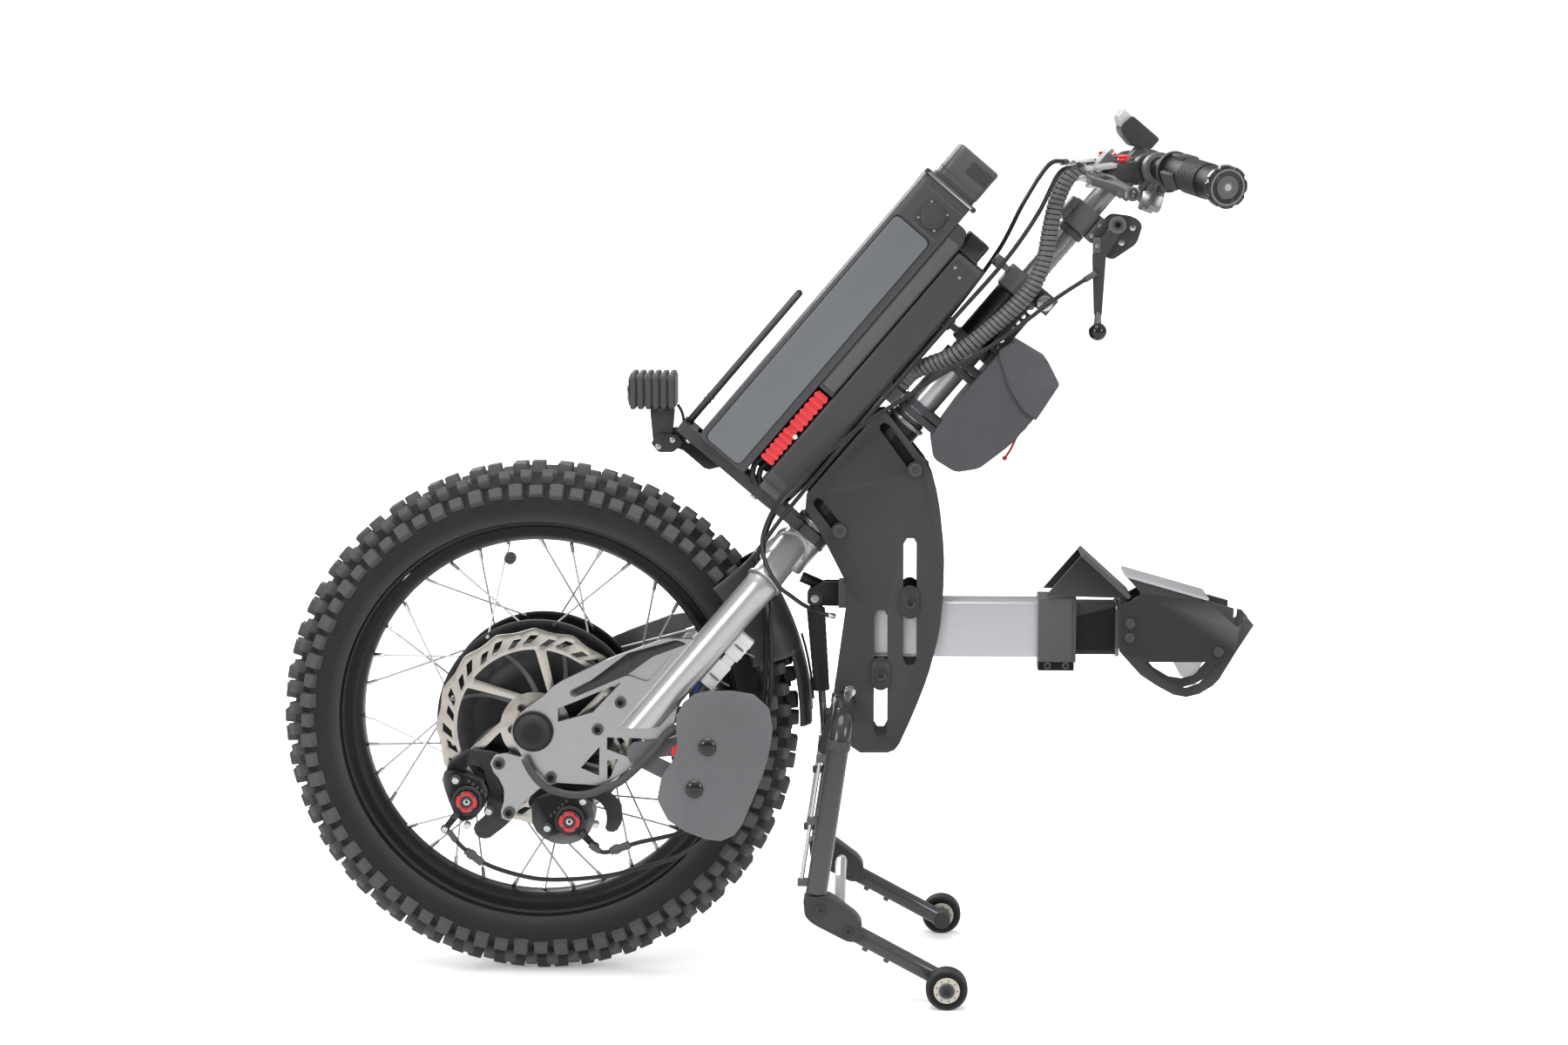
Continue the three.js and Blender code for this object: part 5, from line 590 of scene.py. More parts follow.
def rounded_box(xs, ys, zs, round_front, round_rear, soft=0.8):
    """A bar along Z whose outline across it has its own rounding at low X and at high X."""
    bm = bmesh.new()
    verts = []
    for quarter, (x_end, y_end) in enumerate(((0, 0), (1, 0), (1, 1), (0, 1)), 2):
        reach = round_rear if x_end else round_front
        x = xs[1] - reach if x_end else xs[0] + reach
        y = ys[1] - reach if y_end else ys[0] + reach
        for step in range(7):
            point = polar(reach, (quarter + step / 6) * math.pi / 2, x, y)
            verts.append(bm.verts.new((*point, zs[0])))
    top = bmesh.ops.extrude_face_region(bm, geom=[bm.faces.new(verts)])
    moved = [item for item in top["geom"] if isinstance(item, bmesh.types.BMVert)]
    bmesh.ops.translate(bm, vec=(0, 0, zs[1] - zs[0]), verts=moved)
    bmesh.ops.recalc_face_normals(bm, faces=bm.faces)
    return soften(bm, soft, 2, 50)


print("a slot outline has", len(oval((0, 0), (10, 0), 3)), "points")

# %% [markdown]
# Bent tubes, cords and beads all follow a path. A curve object could do that, but rings that are carried
# along the points without twist stay even in sharp bends and can change their size on the way.

# %% Paths and tubes
def between(a, b, low, high, t):
    """The point at a time on the line through two points that have their own times."""
    return a * ((high - t) / (high - low)) + b * ((t - low) / (high - low))


def smooth_path(points, steps):
    """Evenly spaced points on a centripetal curve through the given ones."""
    knots = [Vector(point) for point in points]
    knots = [knots[0] * 2 - knots[1], *knots, knots[-1] * 2 - knots[-2]]
    fine = []
    for a, b, c, d in zip(knots, knots[1:], knots[2:], knots[3:]):
        t0, t1 = 0.0, max((b - a).length, 1e-6) ** 0.5
        t2 = t1 + max((c - b).length, 1e-6) ** 0.5
        t3 = t2 + max((d - c).length, 1e-6) ** 0.5
        for k in range(12):
            t = t1 + (t2 - t1) * k / 12
            ab, bc, cd = between(a, b, t0, t1, t), between(b, c, t1, t2, t), between(c, d, t2, t3, t)
            fine.append(between(between(ab, bc, t0, t2, t), between(bc, cd, t1, t3, t), t1, t2, t))
    fine.append(knots[-2])
    lengths = [0.0]
    for a, b in zip(fine, fine[1:]):
        lengths.append(lengths[-1] + (b - a).length)
    spaced, j = [], 0
    for i in range(steps + 1):
        want = lengths[-1] * i / steps
        while j < len(lengths) - 2 and lengths[j + 1] < want:
            j += 1
        share = (want - lengths[j]) / max(lengths[j + 1] - lengths[j], 1e-9)
        spaced.append(fine[j].lerp(fine[j + 1], min(max(share, 0), 1)))
    return spaced


def bent_path(corners, bend, steps=8):
    """A route through corner points whose inner corners are rounded."""
    points = [Vector(corner) for corner in corners]
    path = [points[0]]
    for i in range(1, len(points) - 1):
        back, onward = points[i - 1] - points[i], points[i + 1] - points[i]
        reach = min(bend, back.length * 0.48, onward.length * 0.48)
        first, last = points[i] + back.normalized() * reach, points[i] + onward.normalized() * reach
        for step in range(steps + 1):
            t = step / steps
            path.append(first * (1 - t) ** 2 + points[i] * 2 * t * (1 - t) + last * t ** 2)
    path.append(points[-1])
    return path


def tube(path, radius, sides=20, radii=None, closed_ends=True):
    """A round tube along a path: rings carried along it without twist, bridged one to the next."""
    bm = bmesh.new()
    rings = []
    path = [Vector(point) for point in path]
    normal = None
    for i, point in enumerate(path):
        run = (path[min(i + 1, len(path) - 1)] - path[max(i - 1, 0)]).normalized()
        if normal is None:
            normal = run.orthogonal().normalized()
        normal = (normal - run * normal.dot(run)).normalized()
        side = run.cross(normal)
        basis = Matrix((normal, side, run)).transposed().to_4x4()
        size = radii[i] if radii else radius
        ring = bmesh.ops.create_circle(
            bm, cap_ends=False, segments=sides, radius=size, matrix=Matrix.Translation(point) @ basis,
        )["verts"]
        rings.append(ring)
    for a, b in zip(rings, rings[1:]):
        for k in range(sides):
            n = (k + 1) % sides
            bm.faces.new((a[k], a[n], b[n], b[k]))
    if closed_ends:
        bm.faces.new(list(reversed(rings[0])))
        bm.faces.new(rings[-1])
    bmesh.ops.recalc_face_normals(bm, faces=bm.faces)
    return bm


def weld_bead(centre, normal, radius, thickness=2.1):
    """A ring of overlapping puddles round a joint."""
    normal = Vector(normal).normalized()
    side = normal.orthogonal().normalized()
    up = normal.cross(side)
    path, radii = [], []
    steps = 64
    for i in range(steps + 1):
        angle = i / steps * math.tau
        path.append(Vector(centre) + (side * math.cos(angle) + up * math.sin(angle)) * radius)
        radii.append(thickness * (0.85 + 0.3 * (i % 2)))
    return tube(path, thickness, 8, radii, closed_ends=False)


print("a bent path has", len(bent_path([(0, 0, 0), (9, 0, 0), (9, 9, 0)], 3)), "points")

# %% [markdown]
# Screws hold nearly everything, so one cap screw is drawn once. assemble() joins the parts of a piece and
# hangs it on the body that carries it. dress() is for CAD solids whose shape is already right: it gives
# them a finish and softer edges.

# %% Screws, placing and joining
def socket_bolt(at, out, radius, height):
    """A cap screw with a rounded rim and a round socket."""
    profile = [
        (0, height * 0.45), (radius * 0.5, height * 0.45), (radius * 0.5, height), (radius * 0.84, height),
        (radius * 0.96, height * 0.93), (radius, height * 0.8), (radius, 0), (0, 0),
    ]
    bm = turned(profile, 20, "Z")
    bmesh.ops.transform(bm, matrix=aimed(at, out), verts=bm.verts)
    return bm


def placed(bm, matrix):
    bmesh.ops.transform(bm, matrix=matrix, verts=bm.verts)
    if matrix.to_3x3().determinant() < 0:
        bmesh.ops.reverse_faces(bm, faces=bm.faces)
    return bm


def turned_to(axis, origin, start=(0, 0, 1)):
    """The placing that brings one direction round to another, at an origin."""
    return Matrix.Translation(origin) @ Vector(start).rotation_difference(axis).to_matrix().to_4x4()


lying = Matrix(((0, 0, -1, 0), (0, 1, 0, 0), (1, 0, 0, 0), (0, 0, 0, 1)))


def square_tube(xs, half, zs, corner, soft=0.8):
    """A rounded square bar lying along X."""
    return placed(rounded_box(zs, (-half, half), (-xs[1], -xs[0]), corner, corner, soft), lying)


def coated(material, *shapes):
    """Several shapes in one finish, ready to be assembled."""
    return [(shape, material) for shape in shapes]


def assemble(name, body, place, parts, replaces=(), angle=35):
    """Joins parts and their materials into one named piece on a body."""
    whole = bmesh.new()
    materials = []
    for part, material in parts:
        if material not in materials:
            materials.append(material)
        for face in part.faces:
            face.material_index = materials.index(material)
        carrier = bpy.data.meshes.new("part")
        part.to_mesh(carrier)
        part.free()
        whole.from_mesh(carrier)
        bpy.data.meshes.remove(carrier)
    bmesh.ops.transform(whole, matrix=place, verts=whole.verts)
    mesh = bpy.data.meshes.new(name)
    whole.to_mesh(mesh)
    whole.free()
    for material in materials:
        mesh.materials.append(material)
    mesh.shade_smooth()
    mesh.set_sharp_from_angle(angle=math.radians(angle))
    piece = bpy.data.objects.new(name, mesh)
    bpy.context.scene.collection.objects.link(piece)
    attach(piece, body)
    if replaces:
        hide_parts(*replaces)
    print(name, len(mesh.polygons), "faces")
    return piece


def dress(node, material, soft=0.0006, angle=25):
    """A CAD node keeps its mesh and gets a finish, with its edges rounded by modifiers."""
    piece = frame["nodes"][node]
    piece.data.materials.clear()
    piece.data.materials.append(material)
    if soft:
        weld = piece.modifiers.new("weld", "WELD")
        weld.merge_threshold = 0.00002
        bevel = piece.modifiers.new("soft edges", "BEVEL")
        bevel.width = soft
        bevel.segments = 2
        bevel.limit_method = "ANGLE"
        bevel.angle_limit = math.radians(angle)
        bevel.harden_normals = True
    return piece


print("helpers ready, CAD nodes:", len(frame["nodes"]))

# %% [markdown]
# The tyre is the biggest thing in view, with a smooth sidewall and an open, blocky tread. The carcass is
# spun from its section. A bump could fake the tread, but its knobs stand out against the white, so one
# bevelled knob is modelled and turned round the wheel by a loop.

# %% Tyre
wheel_radius = 273
section_radius = 35
tread_depth = 10
section_centre = wheel_radius - section_radius - tread_depth
knob_root = 32
bead_radius = 206
pitches = 72
middle_lean, inner_lean, shoulder_lean = math.radians(11), math.radians(37), math.radians(64)


def knob(length, width, height, lean, turn, skew=0.0):
    """One tread block: its root and its height are above the section's middle, and it leans across it."""
    bm = block((knob_root, height), (-width / 2, width / 2), (-length / 2, length / 2), 0.9, 1)
    tip = [vert for vert in bm.verts if vert.co.x > (knob_root + height) / 2]
    bmesh.ops.scale(bm, vec=(1, 0.86, 0.9), verts=tip)
    bmesh.ops.rotate(bm, cent=(0, 0, 0), matrix=Matrix.Rotation(skew, 3, "X"), verts=bm.verts)
    bmesh.ops.rotate(bm, cent=(0, 0, 0), matrix=Matrix.Rotation(lean, 3, "Z"), verts=bm.verts)
    bmesh.ops.translate(bm, vec=(section_centre, 0, 0), verts=bm.verts)
    bmesh.ops.rotate(bm, cent=(0, 0, 0), matrix=Matrix.Rotation(turn, 3, "Y"), verts=bm.verts)
    return bm


def make_tyre():
    profile = []
    for step in range(25):
        ridge = 1.3 if step in (5, 19) else 0
        radius, y = polar(section_radius + ridge, math.radians(-118 + 236 * step / 24), section_centre)
        profile.append((radius, y))
    edge = [(bead_radius, -20.5), (bead_radius + 4, -22.5), (bead_radius + 5, -21), (bead_radius + 8, -25)]
    far_edge = [(radius, -y) for radius, y in reversed(edge)]
    knobs = []
    crown = section_radius + tread_depth
    step = math.tau / pitches
    for i in range(pitches):
        turn = i * step
        odd = i % 2
        for side in (-1, 1):
            width, height = (16, crown - 1.5) if odd else (12, crown - 2.5)
            knobs.append(knob(15.5, width, height, shoulder_lean * side, turn))
            knobs.append(knob(13, 13, crown - 1, inner_lean * side, turn + step * 0.5))
            if odd:
                knobs.append(knob(16, 11, crown, middle_lean * side, turn + step * 0.2, 0.2 * side))
        if not odd:
            knobs.append(knob(15, 19, crown, 0, turn))
    parts = coated(tyre_rubber, turned(edge + profile + far_edge, 160), *knobs)
    assemble("tread_tyre", "wheel", AXLE, parts, ["tyre"], 40)


make_tyre()

# %% [markdown]
# The rim is black double-walled alloy, spun from half of its profile and the mirror image. The spokes are
# thin stainless wires laced crosswise from the motor's flanges to small nipples. A formula laces them.

# %% Rim and spokes
spoke_count = 36
spoke_radius = 1.1
flange_radius = 104
flange_y = 28
lacing_angle = 0.36
nipple_radius = 189
magnet_place = Vector((-30, -16, 171))


def make_rim():
    half = [
        (204, 20), (205.6, 21.5), (205.7, 23), (205.7, 24.4), (205.6, 24), (199, 23.2), (196, 21),
        (190.6, 10.5), (189.8, 8),
    ]
    parts = coated(satin_black, turned(both_ends(half), 160))
    assemble("alloy_rim", "wheel", AXLE, parts, ["rim"])


def make_spokes():
    parts = []
    for i in range(spoke_count):
        side = 1 if i % 2 else -1
        lacing = lacing_angle if (i // 2) % 2 else -lacing_angle
        hub_angle = (i // 2) / (spoke_count / 2) * math.tau + lacing
        start = on_ring(flange_radius, side * (flange_y + (1.6 if lacing > 0 else -1.6)), hub_angle)
        end = on_ring(nipple_radius, side * 2, i / spoke_count * math.tau)
        run = (end - start).normalized()
        outward = Vector((0, side, 0))
        parts += coated(arm_silver, rod(start, end, spoke_radius, sides=8))
        parts += coated(
            bright_steel,
            rod(end - run * 11, end, 1.9, 2.3, sides=8),
            rod(start - outward * 2, start + outward * 3.4, 2.1, sides=8),
        )
    half = Vector((0, 5, 0))
    parts += coated(matt_black, rod(magnet_place - half, magnet_place + half, 6.2, sides=20, soft=1))
    assemble("steel_spokes", "wheel", AXLE, parts)


make_rim()
make_spokes()

# %% [markdown]
# The hub motor is a flat black drum. Curved cooling ribs sweep over its covers and a ring of screws closes
# them. The ribs are tubes sunk halfway in, which is simpler than cutting the grooves between them.

# %% Hub motor
rib_count, rib_start, rib_end, rib_sweep = 8, 34, 86, 0.5
cover_screws, screw_circle, cover_y = 12, 93, 30


def swept_rib(turn, face):
    """A curved rib that follows the dished cover from its nose to its rim."""
    path = []
    for step in range(9):
        share = step / 8
        radius = rib_start + (rib_end - rib_start) * share
        dome = 52 if radius < 45 else 52 - (radius - 45) / 43 * 15
        path.append(on_ring(radius, face * (dome + 0.8), turn + rib_sweep * share))
    return tube(path, 3.2, 8, [3.4 - 1.2 * i / 8 for i in range(9)])


def make_hub():
    half = [
        (97, 24), (98, 26), (107, 26), (108, 27), (108, 29), (107, 30), (89, 30), (88.5, 31), (88, 37),
        (78, 42.5), (60, 49), (45, 52), (33, 52), (31, 53), (31, 60), (30, 61.2), (9, 61.2),
    ]
    parts = coated(satin_black, turned(both_ends(half), 128))
    for face in (-1, 1):
        parts += coated(satin_black, *[swept_rib(i / rib_count * math.tau, face) for i in range(rib_count)])
        for i in range(cover_screws):
            at = on_ring(screw_circle, face * cover_y, (i + 0.5) / cover_screws * math.tau)
            parts += coated(steel, socket_bolt(at, (0, face, 0), 3, 3))
    assemble("motor_shell", "wheel", AXLE, parts, ["hub_motor"])


make_hub()

# %% [markdown]
# The brake disc is laser-cut stainless steel. Its rim is a wavy band pierced by curved slots, held by
# slanted arms. The outline is a formula, a circle whose radius swings with each wave, and the holes are
# loops in the same plate, so nothing has to be cut away.

# %% Brake disc
disc_radius = 104.5
disc_y = -62.6
disc_thickness = 2.0
waves, wave_depth = 16, 3.4
slot_half, slot_slant = 0.045, 0.05
arm_count, arm_sweep = 6, 0.45
window_low, window_high = 37, 82
low_gap, high_gap = 0.14, 0.07
near_side = Vector((0, -1, 0))


def make_disc():
    outer = []
    for i in range(waves * 12):
        angle = i / (waves * 12) * math.tau
        swing = math.cos(angle * waves)
        outer.append(polar(disc_radius - wave_depth * (0.5 - 0.5 * swing) ** 0.7, angle))
    holes = []
    for i in range(waves):
        for low, high, lead in ((88, 97, 0.05), (86, 94, 0.24)):
            middle = i / waves * math.tau + lead
            loop = [polar(high, middle + slot_half * (k / 2 - 1) - slot_slant) for k in range(5)]
            holes.append(loop + [polar(low, middle + slot_half * (1 - k / 2) + slot_slant) for k in range(5)])
    for i in range(arm_count):
        start, end = i / arm_count * math.tau, (i + 1) / arm_count * math.tau
        loop = [
            polar(window_low, start + low_gap + (end - start - 2 * low_gap) * k / 6) for k in range(7)
        ] + [
            polar(window_high, end + arm_sweep - high_gap - (end - start - 2 * high_gap) * k / 16)
            for k in range(17)
        ]
        holes.append(rounded_loop(loop, 5, 2))
    holes.append(circle(0, 0, 10.5, 32))
    parts = coated(rotor_steel, plate(outer, disc_y, disc_thickness, 0, holes, 0.25))
    for i in range(arm_count):
        at = on_ring(25, disc_y - disc_thickness / 2, (i + 0.1) / arm_count * math.tau)
        parts += coated(satin_black, socket_bolt(at, near_side, 4.2, 2.6))
    assemble("wave_disc", "wheel", AXLE, parts, ["brake_rotor"])


make_disc()

# %% [markdown]
# The fork is welded from round tube. Each leg is mitred at the crown, with a bead of weld round the joint,
# and bisect_plane cuts it flat above its dropout plate, as a saw would.

# %% Fork
leg_radius = 17
leg_across = 8
leg_spacing = 81.5
leg_bend = 68
leg_foot = 282
leg_shelf = 6
crown_low, crown_high = -49.3, -13.3
steerer_top = 168


def cut_below(bm, height, place):
    """Cuts a shape flat at a height in another frame and closes the cut."""
    inverse = place.inverted()
    point = inverse @ Vector((0, 0, height))
    normal = (inverse.to_3x3() @ Vector((0, 0, -1))).normalized()
    geometry = bm.verts[:] + bm.edges[:] + bm.faces[:]
    cut = bmesh.ops.bisect_plane(bm, geom=geometry, plane_co=point, plane_no=normal, clear_outer=True)
    rim = [item for item in cut["geom_cut"] if isinstance(item, bmesh.types.BMEdge)]
    bmesh.ops.contextual_create(bm, geom=rim)
    return bm


def make_fork():
    parts = []
    across = -leg_across * 0.75
    for side in (-1, 1):
        foot = Vector((-leg_across, side * leg_spacing, -leg_foot))
        bend = Vector((-leg_across, side * leg_spacing, -leg_bend))
        top = Vector((across, side * 16, -30))
        leg = tube(bent_path([foot, bend, top], 10, 6), leg_radius, 40)
        mitre = ((bend - foot).normalized() + (top - bend).normalized()).normalized()
        parts += coated(
            silver_coat,
            cut_below(leg, leg_shelf, steer_to_axle),
            weld_bead(bend, mitre, leg_radius * 1.06, 1.6),
            weld_bead((across, side * 17, -30.5), (0, 1, 0.5), leg_radius * 1.02, 1.7),
        )
    parts += coated(silver_coat, rod((0, 0, crown_low), (0, 0, crown_high), 21, sides=48, soft=2))
    parts += coated(dark_silver, rod((0, 0, crown_high - 1), (0, 0, steerer_top), 14.3, sides=32))
    parts += coated(machined, rod((0, 0, crown_high - 3), (0, 0, crown_high + 1), 22.6, sides=48, soft=1))
    assemble("fork_tubes", "fork_assembly", STEER, parts, ["fork"])


make_fork()

# %% [markdown]
# The dropout plates keep their CAD outline and get a milled finish, a dark insert and button screws. The
# axle ends are closed by domed rubber caps, which are spun, and the side covers are printed plastic with
# two glossy studs.

# %% Dropouts, axle and covers
dropout_face = 86
dropout_screws = [(91, 31), (67, 2.4), (18, -48.5)]
dropout_pocket = [(38, 41), (59, 53), (98, 82.5), (149, 97), (161, 92.6), (124, 79), (98, 59.5), (46, 37)]
carrier_face, carrier_screws = -77.4, [(-37, -36), (-27, -88)]
cover_face, cover_stud_places = 105.6, [(181.7, -11.5), (168.3, -55.7)]


def make_axle_caps():
    inner, outer = dropout_face + 0.4, dropout_face + 13.2
    profile = [
        (0, outer), (9, outer - 0.3), (14.5, outer - 1.6), (18, outer - 4.4), (19.6, outer - 8),
        (19.8, inner + 2.6), (21.2, inner + 2), (21.4, inner), (0, inner),
    ]
    parts = coated(steel, rod((0, -84, 0), (0, 84, 0), 7.5, sides=24))
    for side in (-1, 1):
        parts += coated(soft_rubber, turned([(radius, side * height) for radius, height in profile], 56))
    assemble("axle_caps", "fork_assembly", AXLE, parts, ["axle"])


def make_rear_screws():
    parts = []
    for side in (-1, 1):
        for x, z in dropout_screws:
            head = socket_bolt((x, side * dropout_face, z), (0, side, 0), 6, 3.4)
            parts += coated(satin_black, head)
        insert = plate(dropout_pocket, side * (dropout_face - 0.5), 1.6, 4, (), 0.6)
        parts += coated(gloss_black, insert)
    for x, z in carrier_screws:
        parts += coated(satin_black, socket_bolt((x, carrier_face, z), near_side, 6.2, 4))
    assemble("dropout_screws", "fork_assembly", AXLE, parts)


def make_cover_studs():
    profile = [(0, 4.2), (5, 4), (8, 3), (9.2, 1.4), (9.2, 0), (0, 0)]
    parts = []
    for side in (-1, 1):
        for x, z in cover_stud_places:
            place = aimed((x, side * cover_face, z), (0, side, 0))
            parts += coated(gloss_black, placed(turned(profile, 36, "Z"), place))
    parts += coated(red_plastic, rod((151, -99.7, -18), (151, -96.5, -18), 7, sides=24, soft=0.6))
    assemble("cover_studs", "fork_assembly", AXLE, parts)


make_axle_caps()
make_rear_screws()
make_cover_studs()
for node in ("dropout_near", "dropout_far", "caliper_carrier"):
    dress(node, machined, 0.0007)
for node in ("side_cover_near", "side_cover_far"):
    dress(node, cover_grain, 0.0016, 40)

# %% [markdown]
# The mudguard is a thin moulded channel close over the tyre, with a flatter tongue in front. Its section is
# carried round the axle from angle to angle, which keeps the gap to the tread even.

# %% Mudguard
guard_section = [(0, 287.5), (14, 286), (26, 281), (36, 272.5), (43, 258), (45, 236)]
guard_angles, tongue_angles = (15, 38), (-1, 16)
guard_wall = 2.5


def guard_band(section, first, last, steps=30):
    """A thin curved channel over the tyre between two angles, from its section's half."""
    outer = [(-y, radius) for y, radius in reversed(section[1:])] + section
    loop = outer + [(y * 0.95, radius - guard_wall) for y, radius in reversed(outer)]
    bm = bmesh.new()
    rows = []
    for step in range(steps + 1):
        turn = math.radians(first + (last - first) * step / steps)
        rows.append([bm.verts.new(on_ring(radius, y, turn)) for y, radius in loop])
    for a, b in zip(rows, rows[1:]):
        for i in range(len(loop)):
            j = (i + 1) % len(loop)
            bm.faces.new((a[i], a[j], b[j], b[i]))
    bm.faces.new(rows[0])
    bm.faces.new(reversed(rows[-1]))
    bmesh.ops.recalc_face_normals(bm, faces=bm.faces)
    return soften(bm, 0.8, 2, 50)


def make_mudguard():
    parts = coated(
        satin_black,
        guard_band(guard_section, *guard_angles),
        guard_band(guard_section[:3] + [(31, 277)], *tongue_angles),
    )
    for side in (-1, 1):
        start, end = (steer_to_axle @ Vector((-leg_across, side * y, -102)) for y in (41, 58))
        parts += coated(satin_black, rod(start, end, 6, sides=28, soft=0.6))
        bead = [on_ring(288, side * 29, t / 20) for t in range(1, 7)]
        parts += coated(matt_black, tube(bead, 1.4, 10))
    assemble("curved_mudguard", "fork_assembly", AXLE, parts, ["mudguard"], 40)


make_mudguard()

# %% [markdown]
# The two mechanical disc calipers are small castings, each with a red pad adjuster, cooling studs, hinge
# screws and the clamp that holds the inner wire. Both are alike but for the direction of their arm, so
# every place is worked out from the centre and that angle.

# %% Brake calipers
brakes = {
    "left": {"centre": (-70, -75), "arm": math.radians(232)},
    "right": {"centre": (37, -95), "arm": math.radians(313)},
}
caliper_face = -80
arm_face = -84.3
arm_reach = 38


def make_adjuster(name, x, z):
    loop = [(x + u, z + v) for u, v in notched_ring(11.2, 1.6, 4)]
    parts = coated(
        red_metal,
        plate(loop, caliper_face - 6.2, 5.4, 0, [circle(x, z, 6.4, 20)], 0.7),
        rod((x, caliper_face, z), (x, caliper_face - 6.5, z), 7.2, sides=28, soft=0.4),
    )
    for k in range(4):
        u, v = polar(8.6, math.tau * k / 4 + 0.4, x, z)
        parts += coated(satin_black, rod((u, -88.7, v), (u, -89.2, v), 1.5, sides=10))
    parts += coated(bright_steel, socket_bolt((x, caliper_face - 6.4, z), near_side, 3.6, 1.8))
    assemble(f"pad_adjuster_{name}", "fork_assembly", AXLE, parts)


def make_caliper_trim(name, x, z, arm_angle):
    parts = []
    lean = arm_angle + math.pi
    for k in range(5):
        u = x + math.cos(lean) * 17 + math.sin(lean) * (k - 2) * 5.6
        v = z + math.sin(lean) * 17 - math.cos(lean) * (k - 2) * 5.6
        parts += coated(satin_black, rod((u, -79.5, v), (u, -82, v), 1.9, 1.5, sides=12, soft=0.3))
    for turn in (1.15, -1.35):
        u, v = polar(25, lean + turn, x, z)
        parts += coated(satin_black, rod((u, -79.4, v), (u, -83.4, v), 5.4, sides=24, soft=0.8))
        parts += coated(bright_steel, socket_bolt((u, -83.4, v), near_side, 3.6, 2.4))
    u, v = polar(27, arm_angle + 0.62, x, z)
    parts += coated(bright_steel, rod((u, -74, v), (u, -79.8, v), 4.2, sides=20, soft=0.6))
    assemble(f"caliper_trim_{name}", "fork_assembly", AXLE, parts)


def make_arm_clamp(name, x, z, arm_angle):
    tip, root = (
        Vector((x + reach * math.cos(arm_angle), arm_face, z + reach * math.sin(arm_angle)))
        for reach in (arm_reach, 20)
    )
    parts = coated(bright_steel, socket_bolt(tip, near_side, 3.4, 1.6))
    parts += coated(satin_black, rod(root, root + near_side * 0.7, 3.2, sides=20, soft=0.3))
    assemble(f"arm_clamp_{name}", f"caliper_arm_{name}", AXLE, parts)


for brake_name, brake in brakes.items():
    make_adjuster(brake_name, *brake["centre"])
    make_caliper_trim(brake_name, *brake["centre"], brake["arm"])
    make_arm_clamp(brake_name, *brake["centre"], brake["arm"])
    dress(f"caliper_{brake_name}", satin_black, 0.0009, 30)
    dress(f"caliper_arm_{brake_name}", satin_black, 0.0006, 30)

# %% [markdown]
# The cords follow the routes of the CAD model, but smoothly, with their own ferrules, adjusters and boots.
# A cord that climbs to the handlebar is one smooth path from its low points by the fork to its high points
# by the lever, and is then taken off its body with its placing baked in.

# %% Cord routes
left_low = [
    (-89, -87.4, -106), (-80, -87.5, -118), (-67, -86.6, -130), (-48, -81, -144), (-2, -74, -159),
    (31, -70, -161), (75, -68, -157), (113, -66, -148), (142, -66, -139), (168, -66, -124), (196, -66, -96),
    (221, -64, -54), (237, -60, -13), (244, -56, 24), (246, -54.5, 69), (245, -54.5, 105),
]
left_high = [
    (14, -54, -84), (-8, -38, -72), (-28, -38, -57), (-33, -38.5, -30), (-35.5, -41, 20), (-35.5, -41, 150),
    (-35, -41, 251), (-34, -41, 347), (-40, -44, 400), (-52, -70, 446), (-44, -106, 462),
]
right_low = [
    (58, -88.6, -119), (72, -89.4, -127), (90, -85, -123), (110, -80, -118), (132, -76, -114),
    (155, -72, -108), (182, -70, -86), (214, -66, -40), (230, -60, -4), (237, -52, 23), (240, -48.5, 68),
    (240, -48.5, 104),
]
right_high = [
    (7, -44, -88), (8, -20, -62), (-22, 24, -58), (-38, 38, -25), (-35.5, 41, 20), (-35.5, 41, 150),
    (-35, 40, 250), (-42, 36, 347), (-54, 44, 400), (-58, 72, 448), (-44, 106, 462),
]
release_route = [
    (46, -26, 392), (32, -40, 349), (13, -50, 269), (-8, -52, 210), (-23, -52, 159), (-33, -53, 128),
    (-41, -54, 86), (-48, -56, 42), (-49, -60, -1), (-38, -74, -35), (-24, -88, -48), (-8, -99, -55),
    (6, -99, -59), (21, -88, -60), (39, -70, -61), (56, -48, -60), (68, -38, -57), (75, -32, -54),
]
motor_low = [
    (-8, -95, -27), (-4, -95, -36), (3, -95, -47), (14, -95, -57), (26, -95, -62), (42, -95, -65),
    (57, -95, -64), (74, -95, -58), (89, -95, -52), (107, -95, -37), (127, -95, -16), (140, -95, 0),
]
motor_high = [(24, -93, -234), (20, -84, -210), (17, -79, -188)]
print("points on the left brake cord:", len(left_low + left_high))

# %% Brake and release cords
brake_cord_radius, release_cord_radius = 2.4, 2.3


def to_steer(points):
    return [steer_to_axle.inverted() @ Vector(point) for point in points]


def bend_with_column(piece):
    """Takes the piece off its body and bakes its placing into its mesh."""
    world = piece.matrix_world.copy()
    piece.parent = None
    piece.matrix_world = world
    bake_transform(piece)


def cord_piece(name, parts, replaces):
    bend_with_column(assemble(name, "fork_assembly", STEER, parts, replaces, 50))


def sleeve(path, index, radius, length, towards=1):
    """A short sleeve on a cord, aimed along it."""
    at = path[index]
    run = (path[index + towards] - at).normalized()
    return rod(at, at + run * length, radius, sides=20, soft=0.5)


def make_brake_cord(name, low, high, node):
    """A sheath with its boot, its barrel adjuster with a knurled ring, and a ferrule at the lever."""
    path = smooth_path(to_steer(low) + [Vector(point) for point in high], 260)
    parts = coated(cable_black, tube(path, brake_cord_radius, 14))
    parts += coated(
        satin_black,
        sleeve(path, 0, 3.3, 13), sleeve(path, 6, 4.2, 22), sleeve(path, 7, 5.2, 6),
        sleeve(path, len(path) - 1, 3.2, 12, -1),
    )
    cord_piece(name, parts, [node])


